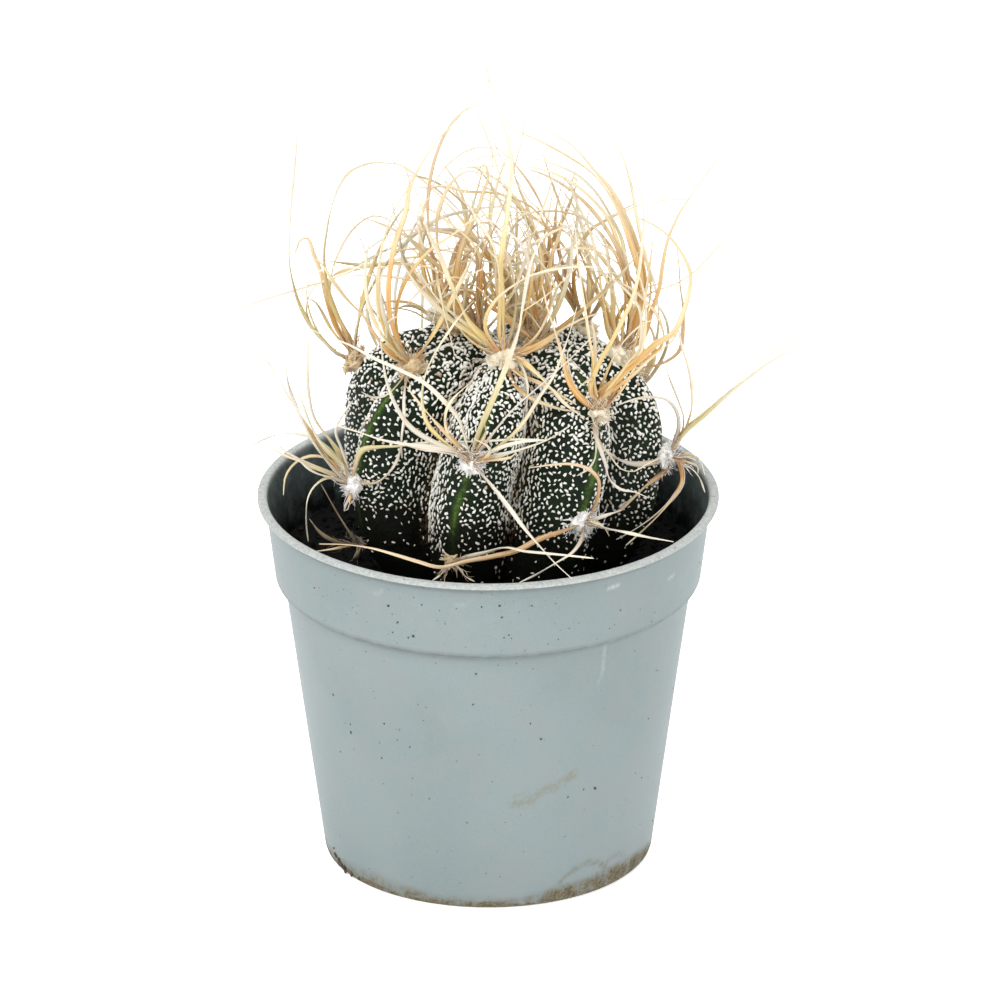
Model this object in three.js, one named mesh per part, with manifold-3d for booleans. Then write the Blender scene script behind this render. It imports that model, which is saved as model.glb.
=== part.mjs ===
// A goat horn cactus (Astrophytum capricorne) growing in a small tapered plastic
// nursery pot. Millimetres, +Z up. The origin is the centre of the pot's flat
// underside, on the plane that the pot stands on.
//
// Pieces: the pot, the plug of potting soil, the cactus stem with its tap root,
// and one tuft for each areole on the rib crests: a felted wool cushion with the
// papery spines that grow out of it.
import * as THREE from 'three';
import { mergeVertices } from 'three/addons/utils/BufferGeometryUtils.js';
import Module from 'manifold-3d';

const wasm = await Module();
wasm.setup();

// ---------------------------------------------------------------- dimensions
const POT_HEIGHT = 53.8;
const LIP_OUTER_RADIUS = 32.5;
const LIP_INNER_RADIUS = 31.1;
const BAND_TOP_RADIUS = 31.45;      // outside of the rim band, just under the lip
const BAND_FOOT_RADIUS = 29.97;     // outside of the rim band at its lower edge
const BAND_FOOT_HEIGHT = 41.7;
const WALL_TOP_RADIUS = 28.8;       // outside of the wall, just under the band
const BASE_RADIUS = 23.1;
const FLOOR_THICKNESS = 1.2;
const DRAIN_HOLES = 5;
const DRAIN_HOLE_RADIUS = 2.6;
const DRAIN_CIRCLE_RADIUS = 14.5;
const POT_FACETS = 60;

const SOIL_LEVEL = 44.0;
const SOIL_FACETS = 40;
const GAP = 0.3;                    // clearance between neighbouring pieces

const LEAN_RIGHT = 5.0;             // degrees the plant leans towards +X
const LEAN_BACK = 7.0;              // degrees the plant leans towards +Y
const STEM_FOOT = new THREE.Vector3(0.2, 0.2, SOIL_LEVEL);
const RIB_TWIST = 8.0;              // degrees of slow spiral over the upper stem
// azimuth of each rib crest, from -Y towards +X
const RIB_AZIMUTH = { 1: -57, 2: -12, 3: 34, 4: 81, 5: 124, 6: 168, 7: 210, 8: 252 };
// radius and height above the soil, from the tip of the tap root to the crown
const CREST = [[0, -16], [2.2, -13], [5, -9], [10, -5], [14.8, -2.5], [17.8, 0],
  [20.8, 4], [22.6, 10], [23.0, 17], [22.6, 21.3], [21.4, 24.9], [19.3, 27.9],
  [16.2, 30.3], [12.4, 31.9], [8, 32.5], [4, 31.7], [0, 29.8]];
const FURROW = [[0, -16], [2.0, -13], [4, -9], [7.5, -5], [10, -2.5], [11.7, 0],
  [13.2, 4], [14.2, 10], [14.3, 17], [13.8, 20.6], [12.8, 23.6], [11.2, 26.1],
  [9.2, 28.1], [6.8, 29.4], [4.2, 30.0], [2, 30.0], [0, 29.8]];
const FACETS_PER_RIB = 8;

const SPINE_SIDES = 3;
const SPINE_TOLERANCE = 0.04;       // largest error allowed in a tuft's faces
const CUSHION_LIFT = 0.3;           // underside of a wool cushion above the crest
const CUSHION_HALF_THICKNESS = 0.75;

// Each areole: its rib, its station along the crest profile, the radius of its
// wool cushion, and the age of its wool (w white, c cream, t tan).
const AREOLES = {
  spines_rib1_low: { rib: 1, station: 6.00, wool: 1.3, kind: 'w' },
  spines_rib1_middle: { rib: 1, station: 7.35, wool: 2.0, kind: 'w' },
  spines_rib1_upper: { rib: 1, station: 11.70, wool: 2.2, kind: 't' },
  spines_rib1_crown: { rib: 1, station: 14.50, wool: 1.6, kind: 't' },
  spines_rib2_low: { rib: 2, station: 6.25, wool: 1.3, kind: 'w' },
  spines_rib2_middle: { rib: 2, station: 8.75, wool: 1.9, kind: 'w' },
  spines_rib2_upper: { rib: 2, station: 13.15, wool: 2.6, kind: 'c' },
  spines_rib3_middle: { rib: 3, station: 7.30, wool: 1.8, kind: 'w' },
  spines_rib3_upper: { rib: 3, station: 10.60, wool: 2.1, kind: 'c' },
  spines_rib3_crown: { rib: 3, station: 14.50, wool: 1.6, kind: 't' },
  spines_rib4_middle: { rib: 4, station: 8.15, wool: 2.1, kind: 'w' },
  spines_rib4_upper: { rib: 4, station: 12.20, wool: 2.4, kind: 'c' },
  spines_rib5_middle: { rib: 5, station: 9.10, wool: 1.9, kind: 'w' },
  spines_rib5_upper: { rib: 5, station: 12.60, wool: 2.2, kind: 'c' },
  spines_rib5_crown: { rib: 5, station: 15.10, wool: 1.7, kind: 't' },
  spines_rib6_low: { rib: 6, station: 6.60, wool: 1.3, kind: 'w' },
  spines_rib6_middle: { rib: 6, station: 9.80, wool: 1.9, kind: 'w' },
  spines_rib6_upper: { rib: 6, station: 13.20, wool: 2.2, kind: 't' },
  spines_rib7_middle: { rib: 7, station: 8.30, wool: 1.9, kind: 'w' },
  spines_rib7_upper: { rib: 7, station: 12.20, wool: 2.2, kind: 'c' },
  spines_rib8_upper: { rib: 8, station: 10.10, wool: 2.2, kind: 't' },
  spines_rib8_crown: { rib: 8, station: 14.00, wool: 2.2, kind: 't' },
};

// Each spine: its width at the widest, its colour group, and the points it
// passes through after it leaves the centre of its wool cushion.
const SPINES = {
  spines_rib1_crown: [
    [1.10, 'g', [-3.08, 0.74, 79.95, -4.77, 0.74, 82.38, -6.18, 0.45, 84.96, -6.54, -0.22, 87.79, -6.83, -1.06, 90.61, -7.17, -1.69, 93.48, -7.17, -2.12, 96.41, -6.50, -2.20, 99.29, -5.22, -1.90, 101.93, -2.90, -1.39, 103.51, -0.18, -1.14, 102.82]],
    [1.15, 'g', [-2.26, 1.04, 79.57, -3.82, 1.31, 81.16, -5.77, 1.36, 82.27, -7.80, 1.33, 83.11, -9.08, 1.80, 84.91, -10.25, 2.64, 86.65, -11.53, 3.63, 88.21]],
    [0.60, 'b', [-1.48, 0.38, 82.22, -1.43, -0.56, 86.73, -0.67, -1.56, 91.17, 0.92, -2.09, 95.46, 2.45, -2.68, 99.76, 3.42, -3.54, 104.19, 4.43, -4.65, 108.57, 5.20, -5.86, 112.96]],
    [1.05, 'g', [-2.63, 0.71, 79.48, -3.89, 0.78, 81.41, -4.80, 0.56, 83.51, -4.61, 0.35, 85.79, -4.36, 0.55, 88.07, -3.94, 0.95, 90.31, -3.16, 1.31, 92.45, -2.27, 1.61, 94.56, -1.33, 1.78, 96.66, -0.76, 1.83, 98.90, -0.00, 1.91, 101.07, -0.54, 2.56, 102.98, -1.86, 2.33, 101.31]],
    [0.60, 'b', [-1.19, 1.26, 80.61, -1.14, 1.60, 83.70, -1.23, 1.59, 86.81, -1.91, 1.60, 89.84, -3.85, 1.91, 92.13, -6.83, 2.33, 92.84, -9.78, 3.17, 92.46, -12.21, 4.19, 90.86, -14.47, 4.53, 88.75]],
    [0.60, 'b', [-0.68, 1.03, 80.20, -0.24, 1.59, 82.83, -0.59, 2.28, 85.44, -1.51, 2.64, 87.96, -3.93, 3.02, 89.10, -6.59, 3.22, 89.66, -9.31, 3.12, 89.93, -12.02, 2.84, 89.80, -14.61, 2.97, 88.94]],
    [0.65, 'g', [-1.30, -0.99, 80.97, -2.20, -2.35, 84.27, -4.06, -3.45, 87.23, -6.43, -4.92, 89.62, -9.37, -6.35, 91.30, -12.63, -7.82, 92.11, -15.92, -9.45, 92.05]],
    [0.82, 'm', [0.69, -0.86, 80.51, 2.22, -2.60, 83.47, 3.58, -4.22, 86.56, 4.68, -5.11, 90.04, 5.39, -7.23, 93.04, 5.63, -9.58, 95.97, 5.59, -11.88, 98.94, 5.21, -14.26, 101.84]],
    [0.69, 'b', [-2.10, 1.55, 80.15, -3.27, 2.55, 82.57, -4.45, 3.05, 85.14, -6.31, 4.37, 86.73, -8.37, 5.11, 88.46, -10.55, 4.89, 90.33, -12.95, 4.80, 91.92, -15.45, 4.45, 93.28, -18.00, 3.79, 94.45]],
  ],
  spines_rib1_low: [
    [0.87, 'w', [-18.43, -11.35, 49.79, -18.58, -13.03, 49.73, -18.54, -14.60, 50.33, -18.25, -15.83, 51.45, -17.73, -16.52, 52.89]],
    [0.65, 'w', [-19.00, -11.27, 52.11, -20.01, -12.07, 54.06, -21.14, -12.16, 56.10, -22.30, -11.53, 58.03, -23.38, -10.08, 59.48]],
    [0.88, 'm', [-20.24, -10.71, 50.81, -22.13, -11.54, 51.77, -23.73, -12.12, 53.27, -25.00, -12.28, 55.15]],
  ],
  spines_rib1_middle: [
    [0.85, 'w', [-22.31, -11.01, 63.15, -24.67, -12.26, 67.27, -26.49, -13.29, 71.71, -27.93, -13.96, 76.34, -28.32, -14.84, 81.15, -28.55, -15.96, 85.93]],
    [0.95, 'm', [-20.53, -10.69, 62.84, -22.67, -11.86, 65.58, -24.26, -13.12, 68.66, -25.45, -14.14, 72.00, -26.43, -14.87, 75.49]],
    [0.90, 'm', [-20.34, -9.58, 63.06, -22.25, -9.54, 66.27, -24.31, -9.59, 69.39, -25.15, -8.83, 72.91, -25.32, -7.77, 76.49, -25.14, -6.60, 80.05]],
    [0.75, 'c', [-22.11, -11.03, 61.65, -25.17, -12.21, 63.51, -27.97, -13.33, 65.78, -30.63, -14.12, 68.32, -32.59, -14.72, 71.49]],
    [0.55, 'm', [-20.54, -9.47, 62.24, -22.41, -9.05, 64.59, -24.97, -8.74, 66.21, -27.94, -8.25, 66.56, -30.87, -7.93, 65.84, -33.51, -8.25, 64.34]],
    [0.70, 'w', [-21.91, -11.27, 61.05, -24.62, -12.53, 62.64, -26.75, -13.54, 65.06]],
    [0.65, 'w', [-19.76, -10.31, 62.62, -20.62, -10.99, 65.63, -21.35, -12.02, 68.55, -20.46, -13.27, 71.36, -19.03, -14.31, 74.04]],
    [0.90, 'c', [-18.73, -10.56, 62.43, -17.75, -11.30, 65.23, -15.28, -12.67, 66.40, -12.63, -14.03, 67.17, -9.70, -14.67, 67.88, -6.83, -15.60, 68.49, -4.36, -17.27, 69.25, -1.87, -18.93, 69.94, 1.13, -18.69, 70.01, 4.18, -18.36, 70.02, 7.21, -18.89, 70.22]],
    [0.80, 'c', [-17.66, -10.94, 60.16, -15.83, -11.73, 60.51, -14.27, -12.03, 61.82, -13.13, -12.35, 63.52, -12.42, -12.59, 65.44, -12.05, -12.39, 67.46]],
    [0.50, 'm', [-21.03, -10.10, 60.57, -22.95, -10.45, 60.61, -24.57, -10.77, 59.36, -25.38, -10.84, 57.47, -25.54, -10.75, 55.40, -25.49, -10.72, 53.31, -25.27, -10.75, 51.24]],
    [0.40, 'w', [-19.39, -10.45, 58.96, -19.52, -11.01, 58.38, -19.71, -11.49, 57.75, -20.03, -11.88, 57.11, -20.18, -12.23, 56.41, -19.75, -12.29, 56.58, -19.50, -12.21, 57.35]],
  ],
  spines_rib1_upper: [
    [0.95, 'g', [-13.63, -8.43, 78.75, -15.70, -9.14, 81.82, -17.47, -9.85, 85.08, -19.79, -10.42, 88.01, -21.76, -11.20, 91.14, -23.42, -12.39, 94.32, -25.81, -13.87, 96.83]],
    [1.05, 'g', [-12.63, -7.84, 80.40, -13.72, -8.50, 84.49, -13.98, -9.28, 88.68, -13.65, -10.07, 92.88, -12.88, -10.81, 97.02, -11.60, -11.23, 101.08, -10.85, -11.06, 105.29, -8.98, -10.70, 109.11, -6.60, -10.59, 112.67, -3.87, -11.02, 115.92, -1.85, -11.59, 119.65]],
    [0.75, 'c', [-13.07, -7.51, 78.82, -14.34, -7.47, 81.78, -15.17, -7.50, 84.90, -15.47, -7.37, 88.10, -15.24, -7.06, 91.30, -14.84, -6.77, 94.49, -13.96, -6.27, 97.55, -12.66, -5.90, 100.47, -11.06, -5.68, 103.26, -11.62, -5.03, 106.00]],
    [0.55, 'w', [-11.47, -9.52, 75.22, -11.81, -11.33, 73.20, -11.78, -12.36, 70.65, -12.12, -13.01, 67.98, -12.07, -13.81, 65.33]],
    [0.85, 'c', [-13.10, -9.88, 79.85, -14.99, -12.26, 83.55, -16.34, -14.42, 87.62, -17.06, -16.39, 91.94, -17.12, -18.24, 96.37, -16.49, -20.02, 100.78]],
    [0.81, 'c', [-8.73, -7.64, 79.70, -6.84, -7.15, 82.88, -5.09, -5.81, 85.90, -3.49, -3.73, 88.52, -2.16, -0.68, 90.23, -0.89, 2.65, 91.34, 0.16, 6.23, 91.40]],
  ],
  spines_rib2_low: [
    [0.50, 'w', [-5.87, -21.45, 51.65, -6.69, -22.32, 51.07, -7.73, -22.93, 50.54]],
    [0.50, 'w', [-4.15, -21.51, 51.78, -3.28, -22.48, 50.99, -2.00, -23.05, 50.43]],
    [0.60, 'w', [-2.89, -22.35, 53.81, -0.23, -24.00, 55.26, 2.39, -25.66, 56.73, 4.92, -27.96, 57.18, 7.87, -29.70, 57.62, 11.23, -30.58, 57.64, 14.58, -31.47, 57.63]],
  ],
  spines_rib2_middle: [
    [0.65, 'w', [-3.14, -21.78, 71.24, -4.11, -22.97, 75.05, -6.19, -24.17, 78.37, -8.87, -24.89, 81.37, -12.29, -25.41, 83.59, -15.84, -25.97, 85.58, -19.27, -26.45, 87.81, -22.96, -26.93, 89.56, -26.56, -27.28, 91.41]],
    [0.75, 'w', [-4.93, -21.98, 69.91, -7.98, -23.27, 71.93, -10.92, -23.92, 74.37, -12.95, -23.71, 77.64, -14.22, -23.23, 81.27, -14.78, -23.21, 85.11, -15.13, -23.62, 88.96, -15.60, -24.16, 92.78, -16.15, -24.58, 96.61]],
    [0.75, 'b', [-4.46, -22.01, 70.92, -6.91, -23.31, 74.28, -9.17, -24.82, 77.69, -11.31, -26.10, 81.28]],
    [0.95, 'c', [-1.60, -22.29, 71.98, -0.22, -24.04, 76.44, 1.33, -25.50, 80.96, 2.88, -26.50, 85.60, 4.15, -27.82, 90.24, 4.80, -29.55, 94.88, 5.39, -31.38, 99.48, 6.28, -33.11, 104.07, 8.12, -34.67, 108.44]],
    [0.65, 'w', [-0.59, -21.93, 70.63, 1.38, -22.98, 73.94, 3.66, -23.72, 77.12, 6.51, -23.85, 79.90, 9.36, -24.04, 82.68, 11.97, -24.77, 85.59, 14.41, -25.64, 88.62]],
    [0.55, 'c', [0.25, -22.30, 69.84, 2.93, -23.66, 72.51, 5.21, -24.56, 75.75, 7.14, -24.92, 79.30, 9.20, -25.28, 82.78, 10.40, -26.03, 86.58, 11.46, -27.06, 90.36, 12.31, -28.15, 94.19]],
    [0.85, 'w', [-4.70, -22.03, 69.75, -7.82, -23.40, 71.05, -11.29, -24.31, 71.81, -14.81, -24.80, 72.72, -18.13, -25.36, 74.17, -21.33, -26.35, 75.65]],
    [1.00, 'w', [-0.03, -22.27, 68.77, 2.67, -23.57, 70.18, 5.61, -24.35, 71.47, 8.62, -24.57, 72.83, 11.38, -24.30, 74.63]],
    [0.75, 'w', [-0.33, -22.09, 69.33, 2.08, -23.42, 71.13, 4.86, -24.63, 72.39, 7.89, -25.68, 73.09]],
    [0.80, 'w', [-0.83, -23.19, 66.72, 1.07, -25.49, 65.33, 3.06, -26.81, 63.08, 5.02, -27.73, 60.58, 7.16, -28.47, 58.17, 9.34, -29.92, 56.20, 11.66, -31.64, 54.59]],
    [0.70, 'b', [-1.71, -21.31, 69.43, -0.84, -22.12, 71.40, -0.30, -22.82, 73.52, -1.16, -23.54, 75.52]],
    [0.70, 'w', [-4.34, -21.89, 69.09, -6.82, -23.08, 70.16, -9.55, -23.88, 70.99, -12.30, -24.43, 71.96]],
  ],
  spines_rib2_upper: [
    [1.05, 'c', [-0.43, -8.58, 81.14, -2.72, -9.73, 84.33, -4.18, -11.04, 87.97, -5.45, -12.30, 91.70, -6.61, -13.43, 95.50, -8.15, -14.31, 99.23, -9.16, -14.78, 103.21, -10.46, -15.14, 107.12, -12.27, -15.56, 110.77]],
    [0.70, 'c', [-0.84, -8.48, 80.97, -4.13, -9.39, 83.55, -7.20, -10.33, 86.36, -9.75, -10.83, 89.74, -11.90, -10.74, 93.42]],
    [0.85, 'c', [2.13, -8.12, 83.05, 1.92, -8.95, 87.96, 1.71, -9.76, 92.87, 2.28, -10.23, 97.79, 2.91, -10.36, 102.73, 3.29, -10.24, 107.70, 2.56, -10.14, 112.62, 1.31, -10.28, 117.44, -0.12, -10.61, 122.20, -1.64, -11.04, 126.93]],
    [0.60, 'c', [1.53, -8.31, 81.79, 1.57, -9.16, 85.50, 1.60, -10.17, 89.18, 1.40, -10.64, 92.95, 0.51, -10.39, 96.61, -1.58, -10.12, 99.79, -2.97, -10.27, 103.28, -3.52, -10.82, 107.02]],
    [1.10, 'g', [5.15, -8.69, 79.24, 7.89, -9.42, 81.00, 10.31, -10.17, 83.16, 13.02, -10.62, 84.98, 16.15, -10.61, 86.11]],
    [1.15, 'g', [3.26, -9.22, 77.07, 4.89, -10.24, 76.33, 6.78, -10.88, 75.58, 8.69, -11.18, 74.71, 10.45, -11.35, 73.51, 12.26, -11.98, 72.61]],
    [0.90, 'c', [4.60, -9.59, 78.24, 6.75, -11.44, 77.16, 8.79, -12.73, 75.27, 10.92, -13.71, 73.29, 13.37, -14.87, 71.85]],
    [0.80, 'g', [2.80, -9.76, 76.83, 3.76, -11.38, 75.23, 5.65, -11.96, 73.76, 7.93, -12.33, 72.79, 10.29, -12.96, 72.26, 12.67, -13.74, 72.28]],
    [0.51, 'm', [3.34, -5.81, 81.05, 3.84, -3.59, 83.95, 3.56, -2.33, 87.38, 2.69, -0.52, 90.46, 1.12, 1.30, 93.25, -0.94, 3.20, 95.64, -3.49, 5.10, 97.50, -6.36, 7.02, 98.76]],
    [0.84, 'm', [-1.74, -8.13, 80.93, -5.48, -8.01, 84.07, -8.88, -7.33, 87.51, -11.84, -6.16, 91.21, -14.28, -4.60, 95.15]],
  ],
  spines_rib3_crown: [
    [0.45, 'c', [4.27, -0.12, 79.59, 1.93, -0.41, 82.47, 1.12, -0.64, 86.07, 1.00, -0.32, 89.78, 0.13, 0.36, 93.33, -1.97, 0.87, 96.34, -4.49, 1.08, 99.08, -6.92, 1.07, 101.91]],
    [1.15, 'g', [7.79, 0.33, 79.81, 8.71, 0.27, 82.67, 8.66, -0.33, 85.60, 7.90, -1.26, 88.35, 6.60, -1.55, 91.05, 5.55, -2.18, 93.80]],
    [1.10, 'g', [6.94, 0.71, 80.39, 6.31, 0.60, 83.85, 5.46, -0.24, 87.17, 4.27, -0.76, 90.46, 3.73, -1.02, 93.93]],
    [0.52, 'c', [6.19, 2.25, 80.37, 5.35, 3.88, 84.16, 4.36, 4.92, 88.11, 3.19, 5.10, 92.15, 1.84, 4.45, 96.09, 0.24, 3.19, 99.77, -1.51, 1.09, 102.96, -3.30, -1.72, 105.53]],
    [0.60, 'c', [9.80, 0.65, 78.65, 12.53, 0.83, 80.73, 14.96, 0.32, 83.10, 16.97, -0.85, 85.62, 18.48, -2.64, 88.13, 19.41, -4.97, 90.47, 19.73, -7.72, 92.50]],
    [0.88, 'm', [8.73, -1.21, 80.74, 10.14, -2.61, 84.58, 11.11, -4.30, 88.44, 11.60, -6.25, 92.28, 11.61, -8.40, 96.03, 11.13, -10.70, 99.67]],
    [0.78, 'g', [3.92, 1.36, 78.78, 1.00, 3.09, 80.49, -1.83, 2.84, 82.86, -4.36, 1.90, 85.53, -7.04, 1.09, 88.10, -9.28, -0.27, 90.84, -11.11, -2.04, 93.67, -12.38, -4.24, 96.49, -13.03, -6.87, 99.17, -13.38, -9.29, 102.07]],
  ],
  spines_rib3_middle: [
    [0.85, 'b', [10.45, -21.20, 57.31, 7.19, -23.17, 56.98, 3.99, -25.04, 55.98, 0.56, -26.65, 55.76, -3.13, -27.65, 55.45, -6.66, -29.04, 55.17, -10.00, -30.20, 56.62, -13.23, -31.48, 58.24, -16.49, -32.78, 59.78, -19.89, -34.17, 60.88, -23.40, -35.54, 61.57]],
    [0.60, 'w', [13.11, -21.43, 56.25, 11.73, -23.70, 55.09, 9.45, -25.32, 54.21, 6.98, -26.48, 53.10, 4.42, -27.63, 52.25]],
    [0.75, 'w', [14.91, -20.00, 58.54, 16.65, -21.08, 59.70, 18.52, -22.00, 60.77]],
    [0.60, 'w', [16.07, -21.13, 57.78, 19.19, -23.02, 57.89, 22.49, -24.60, 57.80, 25.76, -26.24, 57.88]],
    [0.70, 'b', [14.60, -19.93, 59.79, 15.32, -20.95, 62.50, 15.40, -21.93, 65.34, 13.94, -23.10, 67.60, 11.46, -24.22, 68.81, 8.63, -25.18, 69.07, 5.81, -26.22, 69.09]],
  ],
  spines_rib3_upper: [
    [0.60, 'c', [14.29, -14.25, 75.93, 15.32, -15.73, 80.01, 16.98, -17.24, 83.97, 18.66, -18.51, 88.00, 20.18, -19.59, 92.15, 21.01, -20.59, 96.51, 21.42, -21.62, 100.92, 21.65, -22.71, 105.33, 21.20, -23.85, 109.70, 19.96, -24.93, 113.94, 18.25, -25.67, 118.08, 16.01, -26.19, 122.01]],
    [1.10, 'g', [15.65, -13.80, 74.97, 17.57, -15.10, 77.26, 19.39, -16.30, 79.74, 21.41, -17.50, 82.06, 23.36, -18.39, 84.53, 25.84, -19.21, 86.56, 27.09, -19.57, 89.51, 27.90, -19.88, 92.70, 28.17, -20.23, 95.93, 27.07, -20.72, 99.00, 25.39, -21.40, 101.75, 23.20, -22.29, 104.05, 20.63, -23.39, 105.81]],
    [0.90, 'g', [16.25, -13.46, 74.42, 18.13, -14.07, 76.28, 20.16, -14.45, 78.06, 21.97, -14.70, 80.07, 23.97, -14.72, 81.91, 25.92, -14.92, 83.80, 26.86, -15.37, 86.29]],
    [0.85, 'c', [14.77, -13.95, 76.12, 14.66, -15.14, 80.47, 14.07, -16.44, 84.75, 13.53, -17.27, 89.16, 12.96, -17.99, 93.58, 12.47, -18.70, 98.01, 12.13, -19.46, 102.45]],
    [1.00, 'g', [13.03, -14.43, 74.51, 11.20, -15.63, 77.88, 10.41, -16.72, 81.76, 9.42, -17.34, 85.69, 8.30, -17.89, 89.60, 7.61, -18.92, 93.50]],
    [1.00, 'b', [14.66, -13.37, 74.50, 14.67, -13.62, 77.35, 14.86, -13.82, 80.24, 14.92, -13.78, 83.13, 14.47, -12.74, 85.79]],
    [0.65, 'w', [14.90, -14.71, 71.08, 15.02, -16.45, 69.81, 15.73, -17.79, 68.22, 16.39, -18.71, 66.35, 17.00, -19.48, 64.39, 18.50, -20.52, 63.35, 20.45, -21.53, 63.39, 22.28, -22.68, 63.04]],
    [0.60, 'w', [15.06, -14.37, 71.09, 15.15, -15.76, 69.88, 15.12, -16.92, 68.47, 14.94, -17.17, 66.65, 14.06, -17.33, 65.11, 12.53, -17.29, 64.08]],
    [0.68, 'c', [18.47, -11.46, 74.36, 20.49, -10.23, 77.55, 21.69, -9.36, 81.23, 22.05, -9.02, 85.16, 21.62, -9.32, 89.10, 20.50, -10.34, 92.77, 18.87, -12.07, 95.94]],
  ],
  spines_rib4_middle: [
    [0.85, 'c', [27.49, -2.06, 63.82, 30.20, -3.26, 67.06, 32.86, -4.57, 70.32, 35.83, -5.64, 73.38, 38.87, -6.70, 76.38, 42.25, -7.89, 78.93, 45.93, -9.18, 80.97]],
    [0.75, 'c', [27.51, -1.18, 63.80, 30.49, -1.49, 67.01, 33.65, -1.69, 70.07, 36.78, -1.50, 73.17, 40.05, -1.30, 76.10, 43.60, -1.07, 78.70]],
    [0.65, 'm', [27.35, -1.33, 63.48, 28.48, -1.76, 67.28, 28.61, -2.76, 71.18, 27.99, -3.73, 75.04, 27.03, -4.80, 78.81, 26.53, -5.48, 82.76]],
    [0.55, 'c', [26.84, -0.83, 62.43, 27.51, -0.10, 65.14, 26.69, 0.17, 67.98, 25.65, 0.35, 70.76, 24.73, 0.47, 73.59]],
    [0.60, 'w', [26.15, -1.63, 62.40, 26.76, -1.71, 64.83, 26.43, -1.99, 67.29, 25.05, -2.53, 69.25, 22.71, -3.06, 69.89, 20.25, -3.39, 69.62, 17.89, -3.83, 68.86]],
    [0.85, 'w', [24.01, -3.10, 60.14, 22.87, -4.59, 60.49, 21.17, -5.45, 60.66, 19.38, -5.92, 61.17, 18.00, -6.67, 62.07, 17.58, -8.28, 63.02, 17.33, -9.96, 63.91, 17.11, -11.65, 64.81, 16.90, -13.33, 65.71, 16.63, -14.98, 66.67, 16.09, -16.34, 67.85, 15.23, -15.02, 68.67]],
    [0.75, 'b', [25.40, -2.57, 59.42, 24.51, -3.59, 58.46, 23.31, -4.63, 57.98, 22.14, -5.65, 57.40, 20.95, -6.50, 56.60, 19.74, -7.13, 55.65, 18.56, -7.54, 54.57, 17.02, -7.75, 53.97, 15.39, -7.84, 53.67]],
    [0.70, 'w', [27.09, -3.16, 59.56, 27.29, -4.91, 57.69, 25.98, -6.24, 55.91, 24.20, -7.31, 54.35, 22.25, -8.59, 53.22, 20.19, -9.92, 52.37, 18.04, -11.19, 51.66]],
    [0.50, 'm', [26.95, -1.67, 60.16, 28.66, -1.58, 60.12, 29.95, -1.67, 59.12, 30.42, -1.78, 57.48]],
    [0.45, 'w', [27.54, -2.48, 59.41, 29.47, -3.19, 57.97, 30.42, -3.62, 55.67]],
  ],
  spines_rib4_upper: [
    [0.60, 'm', [19.76, 3.63, 77.25, 20.05, 3.45, 80.79, 19.91, 3.00, 84.33, 19.32, 2.87, 87.85, 18.67, 3.44, 91.30, 17.14, 4.36, 94.37, 15.29, 5.11, 97.32, 12.86, 5.21, 99.92, 9.99, 4.45, 101.84, 6.91, 3.40, 103.31, 3.60, 2.67, 104.37, 0.06, 2.57, 104.15, -3.26, 3.10, 102.96]],
    [0.65, 'c', [19.00, 3.46, 78.12, 19.27, 3.20, 82.39, 19.03, 3.01, 86.66, 18.16, 3.02, 90.86, 16.69, 2.57, 94.85, 14.35, 1.59, 98.30, 11.43, 0.45, 101.22, 7.89, -0.59, 103.37, 3.74, -1.07, 104.20, -0.50, -0.64, 103.98, -4.51, 0.58, 103.09]],
    [1.20, 'g', [20.41, 3.64, 77.75, 21.35, 3.41, 81.89, 21.27, 3.05, 86.13, 20.17, 2.95, 90.24, 18.87, 2.92, 94.30, 17.03, 2.84, 98.13, 14.53, 2.71, 101.58, 11.21, 2.45, 104.19, 7.58, 2.28, 106.40, 3.73, 2.41, 108.23]],
    [1.00, 'g', [20.62, 3.67, 77.61, 21.73, 3.60, 81.68, 21.82, 3.57, 85.87, 20.88, 4.13, 89.94, 19.35, 5.03, 93.77, 17.38, 5.99, 97.38, 14.68, 6.75, 100.53, 11.91, 7.42, 103.62, 8.36, 7.81, 105.87]],
    [0.85, 'g', [21.68, 2.78, 76.51, 22.82, 2.17, 80.52, 23.93, 1.27, 84.49, 24.45, 0.62, 88.62, 25.23, 0.15, 92.74, 26.76, -0.24, 96.65, 28.89, -0.69, 100.27, 31.07, -1.25, 103.84, 33.17, -1.92, 107.44]],
    [0.75, 'b', [21.19, 2.15, 72.23, 24.30, 2.12, 72.75, 26.81, 2.30, 74.63, 27.35, 2.54, 77.74, 27.38, 2.68, 80.94, 26.97, 2.78, 84.12, 26.77, 2.87, 87.32, 26.43, 3.00, 90.50, 26.28, 3.19, 93.70]],
    [0.45, 'c', [19.71, 3.67, 77.12, 20.64, 3.56, 80.42, 22.53, 3.00, 83.01, 25.65, 2.69, 84.41, 28.55, 2.68, 86.22, 30.89, 2.72, 88.73, 33.14, 2.71, 91.32]],
    [0.95, 'c', [17.63, 3.53, 77.72, 17.52, 3.16, 81.76, 17.18, 2.56, 85.76, 16.57, 2.69, 89.77, 16.06, 2.99, 93.78]],
    [0.70, 'c', [17.02, 3.35, 76.67, 16.38, 3.07, 79.94, 15.94, 2.45, 83.20, 15.59, 2.06, 86.51, 15.02, 2.23, 89.80, 14.16, 2.72, 93.00, 12.84, 2.82, 96.07, 11.65, 2.80, 99.20, 12.40, 2.52, 102.30]],
    [0.93, 'b', [19.76, 2.36, 77.41, 20.11, 1.83, 81.20, 19.76, 1.80, 85.03, 18.73, 2.25, 88.70, 17.07, 3.13, 92.05, 14.83, 4.39, 94.90, 12.11, 5.95, 97.12, 9.03, 7.71, 98.61, 5.72, 9.54, 99.30]],
    [0.63, 'g', [17.18, 5.78, 77.25, 15.47, 7.79, 80.86, 13.69, 9.29, 84.69, 11.94, 10.28, 88.68, 10.30, 10.74, 92.82, 8.85, 10.71, 97.06, 7.67, 10.24, 101.35]],
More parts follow.
